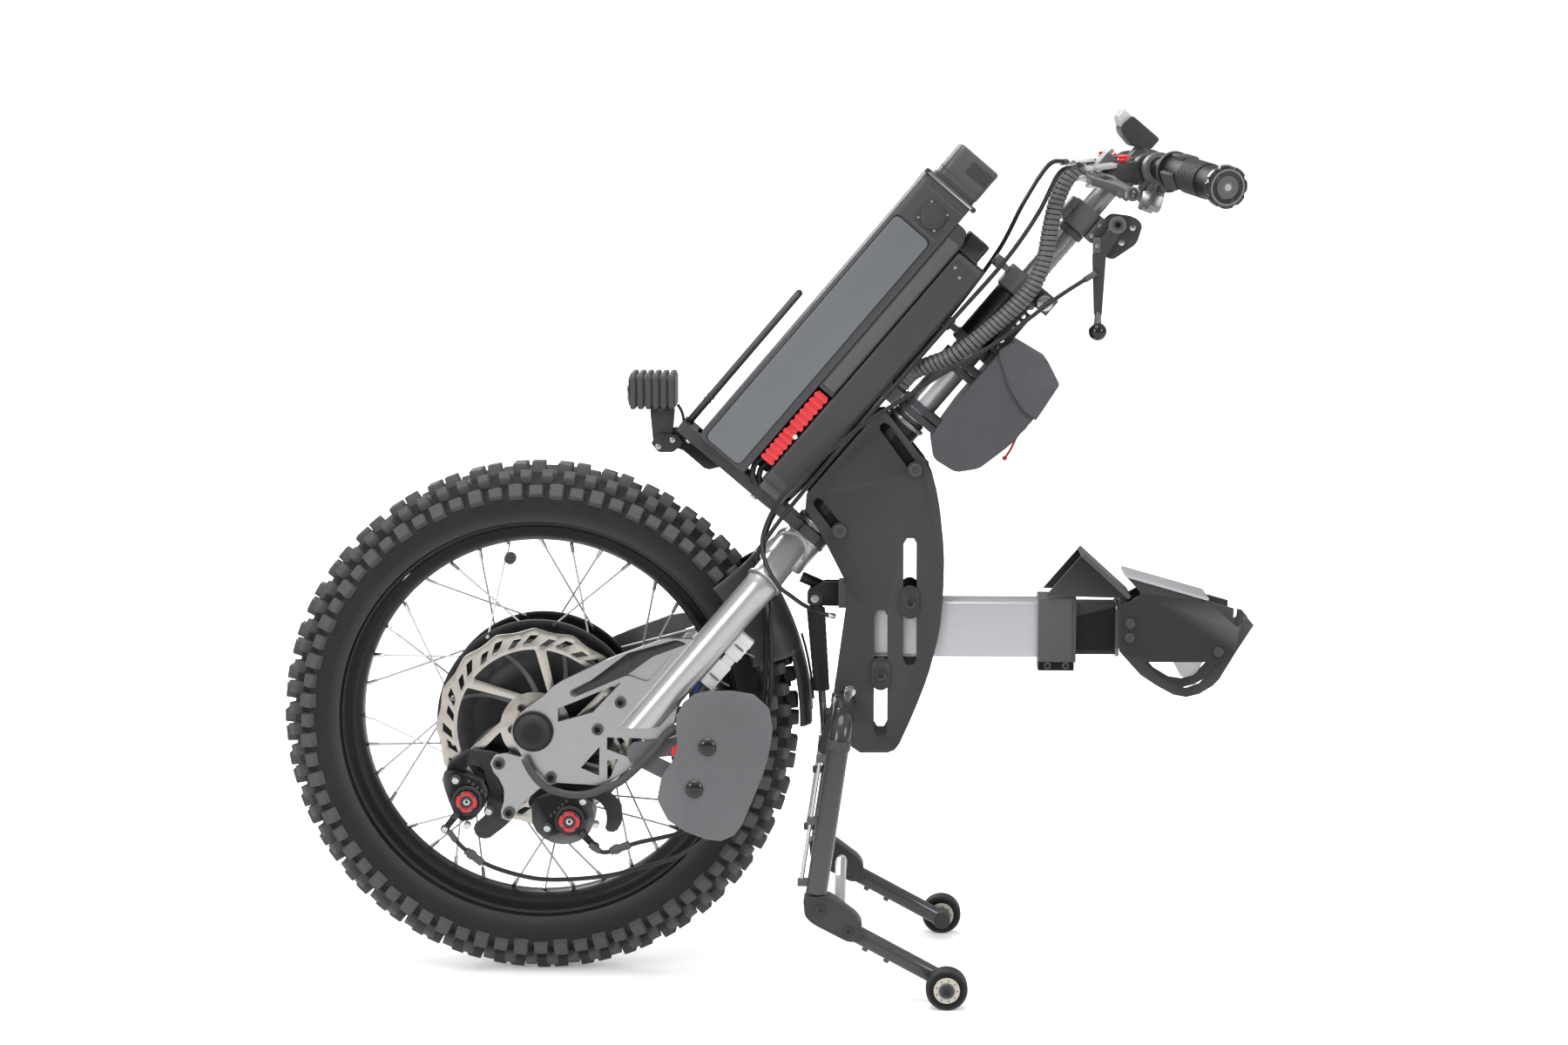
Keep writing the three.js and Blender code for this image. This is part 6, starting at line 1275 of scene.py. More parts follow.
def make_release_cord():
    path = smooth_path(release_route, 240)
    parts = coated(cable_black, tube(path, release_cord_radius, 14))
    parts += coated(satin_black, sleeve(path, 0, 3.2, 14))
    parts += coated(bright_steel, sleeve(path, len(path) - 1, 3, 10, -1))
    cord_piece("release_cord", parts, ["release_cable"])


make_brake_cord("left_brake_cord", left_low, left_high, "brake_cable_left")
make_brake_cord("right_brake_cord", right_low, right_high, "brake_cable_right")
make_release_cord()

# %% [markdown]
# The motor's lead is a thick grey cable that ends in a white plug. The plug is three plain blocks with
# three grip ridges, its coloured wires show below it, and two cable ties with long tails hold it.

# %% Motor lead
lead_radius = 4
grained_lead = grained("grey motor lead", grey(0.06), grey(0.045), 0.4, 900, 0.00001, edge=0.1)


def make_motor_lead():
    path = smooth_path(to_steer(motor_low) + [Vector(point) for point in motor_high], 90)
    x, y, z = motor_high[-1]
    parts = coated(grained_lead, tube(path, lead_radius, 20))
    blocks = [(8, 8, -1, 30, 1.2), (6.5, 6.5, 28, 40, 0.8), (8.5, 8, 38, 66, 1.2)]
    for step in (0.2, 0.5, 0.8):
        ridge = 40 + 24 * step
        blocks.append((9, 8.5, ridge - 0.9, ridge + 0.9, 0.5))
    for wide, deep, low, high, soft in blocks:
        shape = block((x - wide, x + wide), (y - deep, y + deep), (z + low, z + high), soft)
        parts += coated(white_plastic, shape)
    for material, offset in ((blue_wire, -3.5), (yellow_wire, 0), (satin_black, 3.5)):
        start = Vector((x + offset, y - 2, z - 16))
        middle = Vector((x + offset * 1.6, y - 3.5, z - 8))
        parts += coated(material, tube(smooth_path([start, middle, (x + offset, y, z + 1)], 10), 1.5, 10))
    for height in (z + 12, z + 52):
        ring = [(*polar(9.4, i / 24 * math.tau, x, y), height) for i in range(25)]
        tail = rod((x + 9, y - 3, height), (x + 18, y - 8, height + 3), 1.0, sides=8)
        parts += coated(satin_black, tube(ring, 1.1, 6), tail)
    assemble("motor_lead", "fork_assembly", STEER, parts, ["motor_cable"])


make_motor_lead()

# %% [markdown]
# The loom is a bundle of wires held in a spiral wrap. A bump could hint at the wrap, but its edge shows in
# the outline, so a loop lays the ribbon's section along a helix that follows the same path.

# %% Loom
hose_route = [
    (-30, -23.5, 170.5), (-30, -23.5, 190), (-23, -29, 208), (-9, -36, 236), (0, -36, 274), (5, -36, 312),
    (5, -36, 341), (-3, -35, 367), (-22, -33, 400), (-34, -31, 424), (-40, -30, 446), (-40, -30, 464),
]
loom_radius = 7.6
wrap_turns = 58
wrap_section = [(-2.3, 0.1), (-2.0, 1.0), (1.9, 1.35), (2.3, 0.3)]


def make_loom():
    path = smooth_path(hose_route, 380)
    ribbon = bmesh.new()
    steps = wrap_turns * 20
    normal = Vector((1, 0, 0))
    rows = []
    for i in range(steps + 1):
        share = i / steps
        spot = share * (len(path) - 1)
        k = min(int(spot), len(path) - 2)
        at = path[k].lerp(path[k + 1], spot - k)
        run = (path[k + 1] - path[k]).normalized()
        normal = (normal - run * normal.dot(run)).normalized()
        angle = share * wrap_turns * math.tau
        out = normal * math.cos(angle) + run.cross(normal) * math.sin(angle)
        rows.append([
            ribbon.verts.new(at + out * (loom_radius + lift) + run * along) for along, lift in wrap_section
        ])
    for a, b in zip(rows, rows[1:]):
        for j in range(len(wrap_section) - 1):
            ribbon.faces.new((a[j], b[j], b[j + 1], a[j + 1]))
    bmesh.ops.recalc_face_normals(ribbon, faces=ribbon.faces)
    parts = coated(cable_black, tube(path, loom_radius, 18)) + coated(satin_black, ribbon)
    cord_piece("wrapped_loom", parts, ["cable_hose"])


make_loom()

# %% [markdown]
# The battery is a black extruded case with a smooth grey panel let into each side, a charge port, a bright
# clamping strip and a carrying cap. It has its own sliding body, because it lifts out. The panels are thin
# plates laid on the case, so each keeps its own crisp edge and finish.

# %% Battery
battery_front, battery_rear = -155, -95
battery_half = 45
battery_low, battery_high = -0.9, 361
port_n, port_s = -119.8, 328
strip_height = 358.9
cap_moulding = grained(
    "battery cap", (0.028, 0.028, 0.023, 1), (0.02, 0.02, 0.016, 1), 0.42, 900, 0.00005, coat=0.15,
)


def side_panel(ns, ss, y, thickness, corner, soft):
    """A thin raised panel on a side of a case, from its extent across and along the steering axis."""
    outline = [(ns[0], ss[0]), (ns[1], ss[0]), (ns[1], ss[1]), (ns[0], ss[1])]
    return plate(outline, y, thickness, corner, (), soft, 8)


def charge_port():
    parts = coated(matt_black, side_panel(
        (port_n - 12.5, port_n + 12.5), (port_s - 12.5, port_s + 12.5), -battery_half - 0.7, 1.6, 3, 0.5,
    ))
    for radius, depth in ((12.8, 47.6), (10.6, 48.2)):
        ring = rod((port_n, -battery_half, port_s), (port_n, -depth, port_s), radius, sides=40, soft=0.5)
        parts += coated(plate_black, ring)
    parts += coated(satin_black, weld_bead((port_n, -47.8, port_s), (0, 1, 0), 11.6, 0.5))
    for u in (-1, 1):
        for v in (-1, 1):
            x, z = port_n + u * 10.6, port_s + v * 10.6
            parts += coated(steel, rod((x, -46.4, z), (x, -47.2, z), 1.3, sides=12, soft=0.2))
    return parts


def make_battery():
    parts = coated(satin_black, rounded_box(
        (battery_front, battery_rear), (-battery_half, battery_half), (battery_low, battery_high), 9, 3, 1.2,
    ))
    for side in (-1, 1):
        rim = side_panel((-151, -103), (1.5, 306.5), side * (battery_half + 0.1), 0.7, 7, 0.2)
        panel = side_panel((-149.5, -104.5), (3, 305), side * (battery_half + 0.3), 1.4, 6.5, 0.6)
        parts += coated(gloss_black, rim) + coated(panel_grey, panel)
    parts += charge_port()
    for s in (309.5, 347):
        seam = rod((battery_front + 10, -45.2, s), (battery_rear - 2, -45.2, s), 0.35, sides=6)
        parts += coated(matt_black, seam)
    parts += coated(satin_black, block((-152, -93), (-44, 44), (356.5, 361.8), 1))
    parts += coated(bright_steel, block((-151.5, -94.5), (-46.6, -44.9), (357.6, 360.2), 0.5))
    for n in (-153.5, -92.5):
        pin = rod((n, -46.5, strip_height), (n, -41, strip_height), 3.1, sides=20, soft=0.7)
        parts += coated(satin_black, pin)
    for inset, top in ((0, 365.5), (3.5, 367)):
        parts += coated(matt_black, rounded_box(
            (-147 + inset, -96 - inset), (-39 + inset, 39 - inset), (360, top), 4, 4, 0.8,
        ))
    parts += coated(cap_moulding, rounded_box((-145.5, -95), (-38, 38), (364.5, 403), 8, 8, 3.2))
    parts += coated(
        matt_black,
        side_panel((-124, -98), (383, 397), -38.1, 0.9, 2.5, 0.3),
        block((-146.6, -94), (-39, 39), (373.2, 374), 0.3),
    )
    assemble("battery_case", "battery_pack", STEER, parts, ["battery"])


def make_dock():
    """The rail on the controller that the battery slides down."""
    rail = [(-94.6, 119), (-77.2, 119), (-77.2, 326), (-83, 338), (-94.6, 338)]
    parts = coated(plate_black, plate(rail, 0, 86, 1.5, (), 0.8))
    parts += coated(satin_black, block((-94.6, -76.4), (-12, 42), (12, 121), 1))
    for y in (-43.3, 43.3):
        parts += coated(matt_black, block((-93, -79), (y - 0.5, y + 0.5), (124, 322), 0.4))
    assemble("battery_dock", "fork_assembly", STEER, parts)


make_battery()
make_dock()

# %% [markdown]
# Behind it sits the motor controller in its aluminium shell, and the ribbed red high-current connector,
# whose ribs are blocks spaced by a loop. The rack plate below carries them all, and a thin guard rod
# stands up in front of the battery.

# %% Controller
shell_black = grained(
    "controller shell", grey(0.024, 0.1), grey(0.017, 0.1), 0.46, 1100, 0.00005, edge=0.2, coat=0.1,
)
vent_count, vent_pitch = 9, 3.6


def make_controller():
    parts = coated(shell_black, rounded_box((-76, -40), (-42, 42), (10, 317), 4, 9, 2.6))
    for y in (-42.1, 42.1):
        parts += coated(shell_black, side_panel((-73.5, -44.5), (20, 311), y, 0.5, 5, 0.2))
    for n, s in ((-68, 303), (-58, 298)):
        parts += coated(steel, rod((n, -42, s), (n, -42.9, s), 1.7, sides=14, soft=0.2))
    parts += coated(gloss_black, rounded_box((-79, -53), (-30, 30), (316, 341), 5, 5, 2.2))
    parts += coated(
        satin_black,
        block((-79.8, -52.2), (-30.8, 30.8), (319, 321), 0.5),
        block((-40.5, -22), (-34, -13), (153, 170), 1.2),
        block((-74, -44), (-38, 38), (-0.8, 11), 0.8),
    )
    for n in [-72 + i * vent_pitch for i in range(vent_count)]:
        parts += coated(satin_black, block((n, n + 1.4), (-36, 36), (316.5, 318.4), 0.2))
    assemble("controller_shell", "fork_assembly", STEER, parts, ["controller"])


make_controller()

# %% Connector, rack and guard rod
plug_n, plug_y = (-93.5, -77.5), (-42.5, -14)
plug_halves, plug_ribs = ((24, 66), (70, 116)), 6
guard_rod_front, guard_rod_radius = -172, 3.9


def make_connector():
    n_low, n_high = plug_n
    y_low, y_high = plug_y
    parts = []
    for start, end in plug_halves:
        core = block((n_low + 1.4, n_high - 1.4), (y_low + 1.4, y_high), (start, end), 0.8)
        parts += coated(red_plastic, core)
        pitch = (end - start) / plug_ribs
        for i in range(plug_ribs):
            low = start + pitch * i + 0.7
            rib = block((n_low, n_high), (y_low, y_high + 0.5), (low, low + pitch * 0.6), 0.9)
            parts += coated(red_plastic, rib)
    parts += coated(red_plastic, block((n_low + 2.2, n_high - 3), (y_low + 2.4, y_high - 1), (64, 72), 0.5))
    parts += coated(white_plastic, rod((-79, -43, 63), (-79, -39, 63), 2.6, sides=16, soft=0.5))
    for lead in (
        ((-90, -31, 26), (-92, -34, 14), (-86, -35, 3), (-78, -33, -2)),
        ((-82, -26, 26), (-84, -28, 15), (-80, -30, 6), (-74, -29, 1)),
    ):
        parts += coated(cable_black, tube(smooth_path(lead, 24), 3.1, 16))
    assemble("power_connector", "fork_assembly", STEER, parts, ["power_plug"])


def make_guard_rod():
    top = (guard_rod_front, 0, 176)
    path = bent_path([(-150, 0, -6.5), (guard_rod_front, 0, -6.5), top], 14, 8)
    parts = coated(satin_black, tube(path, guard_rod_radius, 20), ball(top, guard_rod_radius))
    for s in (28, 33):
        ring = rod((guard_rod_front, 0, s), (guard_rod_front, 0, s + 2), 4.7, sides=20, soft=0.5)
        parts += coated(matt_black, ring)
    for y in (-24, 24):
        for n in (-160, -70):
            parts += coated(steel, socket_bolt((n, y, -13.3), (0, 0, -1), 3.6, 2.6))
    assemble("guard_rod", "fork_assembly", STEER, parts)


make_connector()
dress("rack", satin_black, 0.0008, 30)
make_guard_rod()

# %% [markdown]
# The head lamp is a cast block with cooling fins round its body and a glass front, held by a bent bracket
# with two screws. The fins are separate rounded slabs on a narrower core, so their gaps are real and the
# light falls into them.

# %% Lamp
lamp_front, lamp_rear, lamp_low, lamp_high, lamp_half = 97.8, 146, 602, 640, 28
fin_count = 6
lamp_pivot = (130, 569)


def make_lamp():
    pitch = (lamp_rear - lamp_front) / fin_count
    parts = coated(satin_black, square_tube(
        (lamp_front + 1, lamp_rear - 1), lamp_half - 3, (lamp_low + 3, lamp_high - 3), 5,
    ))
    for x in [lamp_front + pitch * i for i in range(fin_count)]:
        fin = square_tube((x, x + pitch * 0.72), lamp_half, (lamp_low, lamp_high), 6, 1.5)
        parts += coated(satin_black, fin)
    parts += coated(lens_glass, square_tube(
        (lamp_front - 1.7, lamp_front + 1), lamp_half - 4, (lamp_low + 4, lamp_high - 4), 4, 0.6,
    ))
    for y in (-13, 13):
        reflector = turned([(0, 0), (9, 0.4), (12, 1.2), (12.6, 0.4), (12.6, 0), (0, 0)], 32, "Z")
        aim = Matrix.Translation((lamp_front - 1.7, y, 621)) @ Matrix.Rotation(math.radians(-90), 4, "Y")
        parts += coated(bright_steel, placed(reflector, aim))
    ear = [(121, 560), (139, 560), (143, 603), (117, 603)]
    for y in (-5.5, 5.5):
        parts += coated(satin_black, plate(ear, y, 3.6, 5, (), 0.6))
    x, z = lamp_pivot
    parts += coated(steel, rod((x, -8.6, z), (x, 8.6, z), 4, sides=20, soft=0.5))
    parts += coated(
        satin_black,
        socket_bolt((x, -7.3, z), near_side, 4.4, 3),
        rod((129, -14, 603), (129, 14, 603), 4, sides=20, soft=0.8),
    )
    assemble("finned_lamp", "lamp_head", GROUND, parts, ["lamp"])


def make_lamp_bracket():
    strap = [(118, 566), (126, 556), (142, 556), (152, 566), (146, 574), (128, 576)]
    parts = coated(satin_black, plate(strap, -9.6, 2.4, 3, (), 0.5))
    for x, z in ((141, 569), (126, 562)):
        parts += coated(steel, rod((x, -10.6, z), (x, -11.8, z), 3.1, sides=18, soft=0.4))
    lead = [(146.5, -8, 606), (151, -10, 598), (154, -12, 585), (160, -14, 573), (176, -16, 561)]
    parts += coated(cable_black, tube(smooth_path(lead, 40), 1.6, 12))
    assemble("lamp_bracket", "fork_assembly", GROUND, parts)


make_lamp()
make_lamp_bracket()

# %% [markdown]
# The steering column is two tubes, one sliding in the other, locked by a clamp sleeve with thumb screws and
# a quick-release barrel. Tubes and sleeve are spun, because they share one axis. The perforated plate on
# the clamp and the holes up the inner tube set its height; the holes are black discs of painted shade.

# %% Columns
lower_radius, lower_span = 16.5, (152, 262)
upper_radius, upper_span = 12, (190, 496)
height_holes, hole_pitch, first_hole = 14, 9, 290
pivot_holes = [(45, 452), (46.5, 433)]


def make_lower_column():
    parts = coated(silver_coat, rod(*[(0, 0, s) for s in lower_span], lower_radius, sides=56, soft=0.8))
    parts += coated(satin_black, rod((0, 0, 150.5), (0, 0, 154), 18.4, sides=56, soft=0.8))
    assemble("lower_column_tube", "fork_assembly", STEER, parts, ["lower_column"])


def make_upper_column():
    parts = coated(dark_silver, rod(*[(0, 0, s) for s in upper_span], upper_radius, sides=48, soft=0.6))
    # The height holes are not cut: matt black discs on the tube stand in for them, as painted shade of their
    # insides.
    for s in [first_hole + i * hole_pitch for i in range(height_holes)]:
        parts += coated(matt_black, rod((11.4, 0, s), (12.25, 0, s), 1.2, sides=10))
    sleeve_profile = [
        (12.3, 411.9), (16.5, 411.9), (17.5, 413), (17.5, 438.6), (16.5, 439.8), (12.3, 439.8),
    ]
    parts += coated(
        satin_black,
        rod((0, 0, 404), (0, 0, 411.6), 14.6, sides=48, soft=0.8),
        turned(sleeve_profile, 48, "Z"),
        block((14, 24), (-15, 15), (412, 440), 1.2),
        block((-22, -13), (-13, 13), (414, 438), 1.2),
    )
    bracket = [(20, 449), (40, 462), (51, 461), (59, 442), (51, 413), (33, 409), (18, 420)]
    for out in (-1, 1):
        y = out * 16.6
        holes = [circle(n, s, 2.6, 18) for n, s in pivot_holes]
        parts += coated(satin_black, plate(bracket, y, 4, 5, holes, 0.6))
        for n, s in pivot_holes:
            parts += coated(bright_steel, rod((n, y, s), (n, y + out * 2.4, s), 3.2, sides=20, soft=0.5))
    parts += coated(steel, rod((31, -24.6, 444), (31, 18, 444), 4, sides=24, soft=0.4))
    parts += coated(satin_black, socket_bolt((31, -24.2, 444), near_side, 5.4, 2.2))
    for s in (419, 432):
        parts += coated(bright_steel, socket_bolt((19, -15, s), near_side, 2.6, 1.8))
    parts += coated(matt_black, block((-17.9, -4), (-14, -12.4), (427.5, 428.5), 0.1))
    assemble("upper_column_tube", "column_upper", STEER, parts, ["upper_column"])


make_lower_column()
make_upper_column()

# %% Column clamp
clamp_profile = [
    (16.8, 246.4), (20, 246.4), (22.6, 247.6), (22.6, 258), (20.8, 259.4), (20.8, 318), (22.6, 319.4),
    (24, 321), (24, 343.4), (22.6, 344.8), (12.4, 344.8), (12.4, 263), (16.8, 262.6),
]
barrel_n, barrel_s = 27, 335


def thumb_screw(n, s, y):
    shank = rod((n + 10, y, s), (n, y, s), 3.4, sides=16)
    return coated(satin_black, shank, rod((n + 1, y, s), (n - 8, y, s), 6.8, 6.2, sides=12, soft=1.2))


def make_column_clamp():
    parts = coated(satin_black, turned(clamp_profile, 56, "Z"))
    for n, s in ((-33, 336), (-30, 254)):
        for y in (-6, 8):
            parts += thumb_screw(n, s, y)
    for s in (256, 335):
        parts += coated(satin_black, block((16, 38), (-10, 10), (s - 10, s + 10), 1.6))
        parts += coated(matt_black, block((22, 38.5), (-0.9, 0.9), (s - 10.2, s + 10.2), 0.2))
    for material, start, end, radius, soft in (
        (satin_black, -28, 15, 9.5, 1.4), (bright_steel, -29.2, -27.6, 8.3, 0.6),
    ):
        barrel = rod((barrel_n, start, barrel_s), (barrel_n, end, barrel_s), radius, sides=44, soft=soft)
        parts += coated(material, barrel)
    parts += coated(steel, socket_bolt((barrel_n, -28.8, barrel_s), near_side, 3.4, 1))
    perforated = [(12, 262), (27, 262), (27, 316), (12, 316)]
    holes = [circle(19.5, 268 + 8.4 * i, 2.3, 16) for i in range(6)]
    parts += coated(satin_black, plate(perforated, -20.6, 2.4, 3, holes, 0.4))
    for s in (256, 330):
        parts += coated(steel, socket_bolt((32, -10, s), near_side, 3.4, 2.4))
    assemble("clamp_sleeve", "fork_assembly", STEER, parts, ["column_clamp"])


make_column_clamp()

# %% [markdown]
# The pouch is a padded nylon bag with a faceted lid, a red pull cord and two straps round the column.
# Cloth could be simulated, but the bag is stiff and boxy, so two plates with wide soft rims give its
# padding, and the weave does the rest.

# %% Pouch
strap_heights = (164, 228)
strap_width = 7.8


def make_pouch():
    bag = [
        (25, 262), (31, 282), (66, 289), (90, 279), (96, 238), (95, 200), (87, 162), (71, 143), (44, 139),
        (29, 152), (25, 200),
    ]
    lid = [(22.8, 267), (29, 286), (67, 292.5), (92.6, 281.8), (98.2, 239), (85, 236.5), (54.6, 246)]
    parts = coated(pouch_cloth, plate(bag, 0, 80, 6, (), 4, 5), plate(lid, 0, 84, 3, (), 2, 4))
    for y in (-41.6, 41.6):
        edge = [(23, y, 267), (54.6, y, 246), (85, y, 236.5), (98, y, 239)]
        seam = [(32, y * 0.9, 232), (50, y * 0.93, 222), (88, y * 0.93, 214)]
        parts += coated(
            gloss_black, tube(bent_path(edge, 5, 4), 1.1, 8), tube(bent_path(seam, 8, 4), 0.8, 8),
        )
    pull = [(93, -30, 236), (95.5, -33, 226), (95, -34, 213), (99, -33, 198), (100.5, -32, 188)]
    parts += coated(red_cord, tube(smooth_path(pull, 30), 1.3, 10), ball((100.5, -32, 187), 2.6))
    for s in strap_heights:
        for low in (s - 8.5, s + 0.7):
            high = low + strap_width
            parts += coated(
                pouch_cloth,
                turned([(16.7, low), (18.6, low), (18.6, high), (16.7, high)], 40, "Z"),
                block((8, 30), (-16, 16), (low, high), 1.5),
            )
        parts += coated(satin_black, block((-19.4, -16.4), (-7, 7), (s - 9, s + 9), 1.1))
    assemble("pouch_bag", "fork_assembly", STEER, parts, ["pouch"], 50)


make_pouch()

# %% [markdown]
# The handlebar is one swept tube in a clamped stem, with a perch for each brake lever. Every hand control
# has its own slant, so each side gets a local frame: out along the grip, the lever's hinge, and straight
# ahead. The same functions then serve both hands.

# %% Handlebar's frames
bar_stations = [
    Vector(point) for point in ((0, 0, 482), (0, 40, 484), (4, 108, 497), (18.6, 170, 513), (63.9, 300, 531))
]
bar_radius = 11
lever_y, lever_reach = 128, 58
lever_droop = 0.78


def on_side(point, side):
    return Vector((point[0], side * point[1], point[2]))


def bar_point(side, y):
    for a, b in zip(bar_stations, bar_stations[1:]):
        if b.y >= y:
            return on_side(a.lerp(b, (y - a.y) / (b.y - a.y)), side)


def hand_frame(side):
    """Axes out along the grip, of the lever's hinge and ahead, with the lever's pivot."""
    out = (on_side(bar_stations[-1], side) - on_side(bar_stations[-2], side)).normalized()
    aim = Vector((-math.cos(lever_droop), 0, -math.sin(lever_droop)))
    hinge = out.cross(aim).normalized()
    ahead = hinge.cross(out).normalized()
    return out, hinge, ahead, bar_point(side, lever_y) + ahead * lever_reach


def frame_at(axes, origin):
    return Matrix.Translation(origin) @ Matrix(axes).transposed().to_4x4()


print("grip runs along", [round(v, 2) for v in hand_frame(-1)[0]])

# %% Handlebar
def make_perch(side):
    out, hinge, ahead, pivot = hand_frame(side)
    at = bar_point(side, lever_y)
    slope = (bar_point(side, lever_y + 1) - at).normalized()
    place = frame_at((out, hinge, ahead), at)
    body = plate([(-6, 11), (6, 11), (6, 38), (2, 44), (-6, 44)], 0, 19.6, 2, (), 1.6)
    parts = coated(
        satin_black, rod(at - slope * 6, at + slope * 6, 15.4, sides=40, soft=1.2), placed(body, place),
    )
    for y in (-8.5, 8.5):
        cheek = plate([(-8, 34), (7, 34), (8, 60), (3, 66), (-5, 66), (-9, 58)], y, 3.6, 3, (), 0.9)
        parts += coated(arm_silver, placed(cheek, place))
    parts += coated(satin_black, placed(rod((-5, 0, 44), (-22, 0, 44), 4.2, 3.4, sides=12, soft=0.6), place))
    parts += coated(steel, rod(pivot - hinge * 11, pivot + hinge * 11, 3, sides=20, soft=0.4))
    return parts + coated(satin_black, placed(block((-4, 4), (-9.8, 9.8), (-19, -9), 1.2), place))


def bar_switches():
    """Two clamped switch blocks with their red buttons, and the round pod beside the throttle."""
    parts = []
    for side, y, length in ((1, 100, 22), (-1, 96, 20)):
        at = bar_point(side, y)
        half = Vector((0, length / 2 * side, 0))
        parts += coated(matt_black, rod(at - half, at + half, 14.4, sides=32, soft=2))
        ahead, tip = Vector((-13, 0, 2)), Vector((-16.6, 0, 3))
        parts += coated(red_plastic, rod(at + ahead, at + tip, 4.6, sides=20, soft=0.8))
    pod = bar_point(-1, 136)
    housing = block((pod.x + 2, pod.x + 26), (-147, -124), (pod.z - 32, pod.z - 4), 6, 4)
    joint = ball(pod + Vector((20, -4, -20)), 9.5, 3)
    return parts + coated(satin_black, housing) + coated(gloss_black, joint)


def make_handlebar():
    corners = [on_side(point, -1) for point in reversed(bar_stations[1:])] + bar_stations[1:]
    stem_foot = turned([(12.2, 466), (16.4, 466), (17.6, 467.4), (17.6, 480), (12.2, 480)], 48, "Z")
    parts = coated(
        satin_black,
        tube(bent_path(corners, 22, 8), bar_radius, 32),
        rod((0, -22, 483), (0, 22, 483), 17, sides=48, soft=1.6),
        block((-26, -10), (-21, 21), (473, 494), 2),
        stem_foot,
    )
    for y in (-15, 15):
        parts += coated(steel, rod((-24, y, 478), (-24, y, 499), 3, sides=16, soft=0.4))
        parts += coated(satin_black, block((-6, 6), (y - 5.5, y + 5.5), (498, 519.6), 1.2))
    parts += coated(satin_black, block((14, 24), (-3, 3), (468, 478), 1))
    parts += coated(steel, socket_bolt((19, -3, 473), near_side, 3, 2.4))
    parts += bar_switches()
    for side in (-1, 1):
        parts += make_perch(side)
    assemble("swept_handlebar", "column_upper", STEER, parts, ["handlebar"])


make_handlebar()

# %% [markdown]
# The grips are rubber sleeves with raised rings, turned from one profile in which a loop draws the rings.
# The brake levers are cast blades with a slotted window and a beaded tip, and a red button on each perch
# locks the brake for parking.

# %% Grips and brake levers
grip_ring_count, grip_ring_pitch = 8, 5
lever_tilt = -0.08


def make_grip(side, name, node):
    out = hand_frame(side)[0]
    end = on_side(bar_stations[-1], side)
    place = turned_to(out, end)
    profile = [
        (11.4, -122), (18.6, -122), (19, -121.3), (19, -117.6), (18.4, -117), (16, -116.2), (15.8, -104),
        (16.2, -82),
    ]
    for i in range(grip_ring_count):
        low = -80 + i * grip_ring_pitch
        profile += [(17.3, low), (17.3, low + 3.2), (16.5, low + 3.7), (16.5, low + 4.6)]
    profile += [(16.4, -38), (16.8, -16), (18.4, -12), (18.4, -8.2), (11.4, -8.2)]
    parts = coated(soft_rubber, placed(turned(profile, 56, "Z"), place))
    for i in range(3):
        facet = Matrix.Rotation(i * math.tau / 3 + 0.4, 4, "Z")
        parts += coated(soft_rubber, placed(block((12, 18.2), (-9, 9), (-112, -86), 2.2), place @ facet))
    ring = plate(notched_ring(20.4, 1.6, 8), -4.2, 7.6, 0.6, [circle(0, 0, 11.2, 32)], 0.7)
    parts += coated(gloss_black, placed(ring, turned_to(out, end, (0, 1, 0))))
    for material, profile, sides in (
        (dark_silver, [(15.6, -0.9), (17.4, -0.9), (17.4, -0.1), (15.6, -0.1)], 48),
        (satin_black, [(0, -1), (5.6, -1), (5.6, 0.1), (0, 0.1)], 6),
        (steel, [(0, -0.4), (3.4, -0.4), (3.4, 0.4), (0, 0.4)], 24),
        (gloss_black, [(0, -6), (11, -6), (11, -0.9), (9.8, -0.2), (0, -0.2)], 40),
    ):
        parts += coated(material, placed(turned(profile, sides, "Z"), place))
    parts += coated(steel, placed(socket_bolt((19, 0, -4.2), (1, 0, 0), 2.4, 1.4), place))
    assemble(name, "column_upper", STEER, parts, [node])


def make_brake_lever(side, name, body, node):
    out, hinge, ahead, pivot = hand_frame(side)
    place = frame_at((out, hinge, ahead), pivot) @ Matrix.Rotation(lever_tilt, 4, "Y")
    outline = [
        (-8, 5), (4, 9), (26, 11), (50, 8), (84, 4.4), (110, 5), (112, -3), (84, -5.4), (50, -8),
        (28, -11), (4, -7), (-8, -5),
    ]
    window = oval((22, 0.4), (46, -0.2), 5, 10)
    screw = socket_bolt((8, -4 if side > 0 else 4, 3.6), (0, -side, 0), 2, 1)
    parts = coated(
        dark_silver,
        placed(plate(outline, 0, 8, 3, [window, circle(0, 0, 3.1, 20)], 1.9, 6), place),
        placed(weld_bead((117.5, 0, 0), (1, 0, 0), 5.2, 2.1), place),
        placed(rod((108, 0, 0), (116, 0, 5), 2.6, sides=16), place),
    ) + coated(steel, placed(screw, place))
    assemble(name, body, STEER, parts, [node])


def make_lock_button(side, name, body, node):
    hinge, ahead = hand_frame(side)[1:3]
    base = bar_point(side, lever_y) + ahead * lever_reach * 0.45 + hinge * side * 10
    profile = [
        (0, -0.3), (2.4, -0.3), (2.4, 1.9), (5, 2.3), (5.4, 3.2), (4.6, 4.4), (3.7, 5), (4.6, 5.6),
        (5.2, 6.4), (4.8, 7.2), (0, 7.4),
    ]
    button = placed(turned(profile, 32, "Z"), turned_to(hinge * side, base))
    assemble(name, body, STEER, coated(red_plastic, button), [node])


for hand_side, hand in ((-1, "near"), (1, "far")):
    make_grip(hand_side, f"{hand}_grip", f"grip_{hand}")
    make_brake_lever(hand_side, f"{hand}_brake_lever", f"brake_lever_{hand}", f"brake_lever_{hand}")
    make_lock_button(hand_side, f"{hand}_lock_button", f"lock_button_{hand}", f"lock_button_{hand}")

# %% [markdown]
# A small display with a pale bezel lies over the stem, and a thumb throttle turns on the bar. The long
# lever with the ball knob opens the coupler's latch. All three are plates with wide soft rims, which look
# like mouldings.

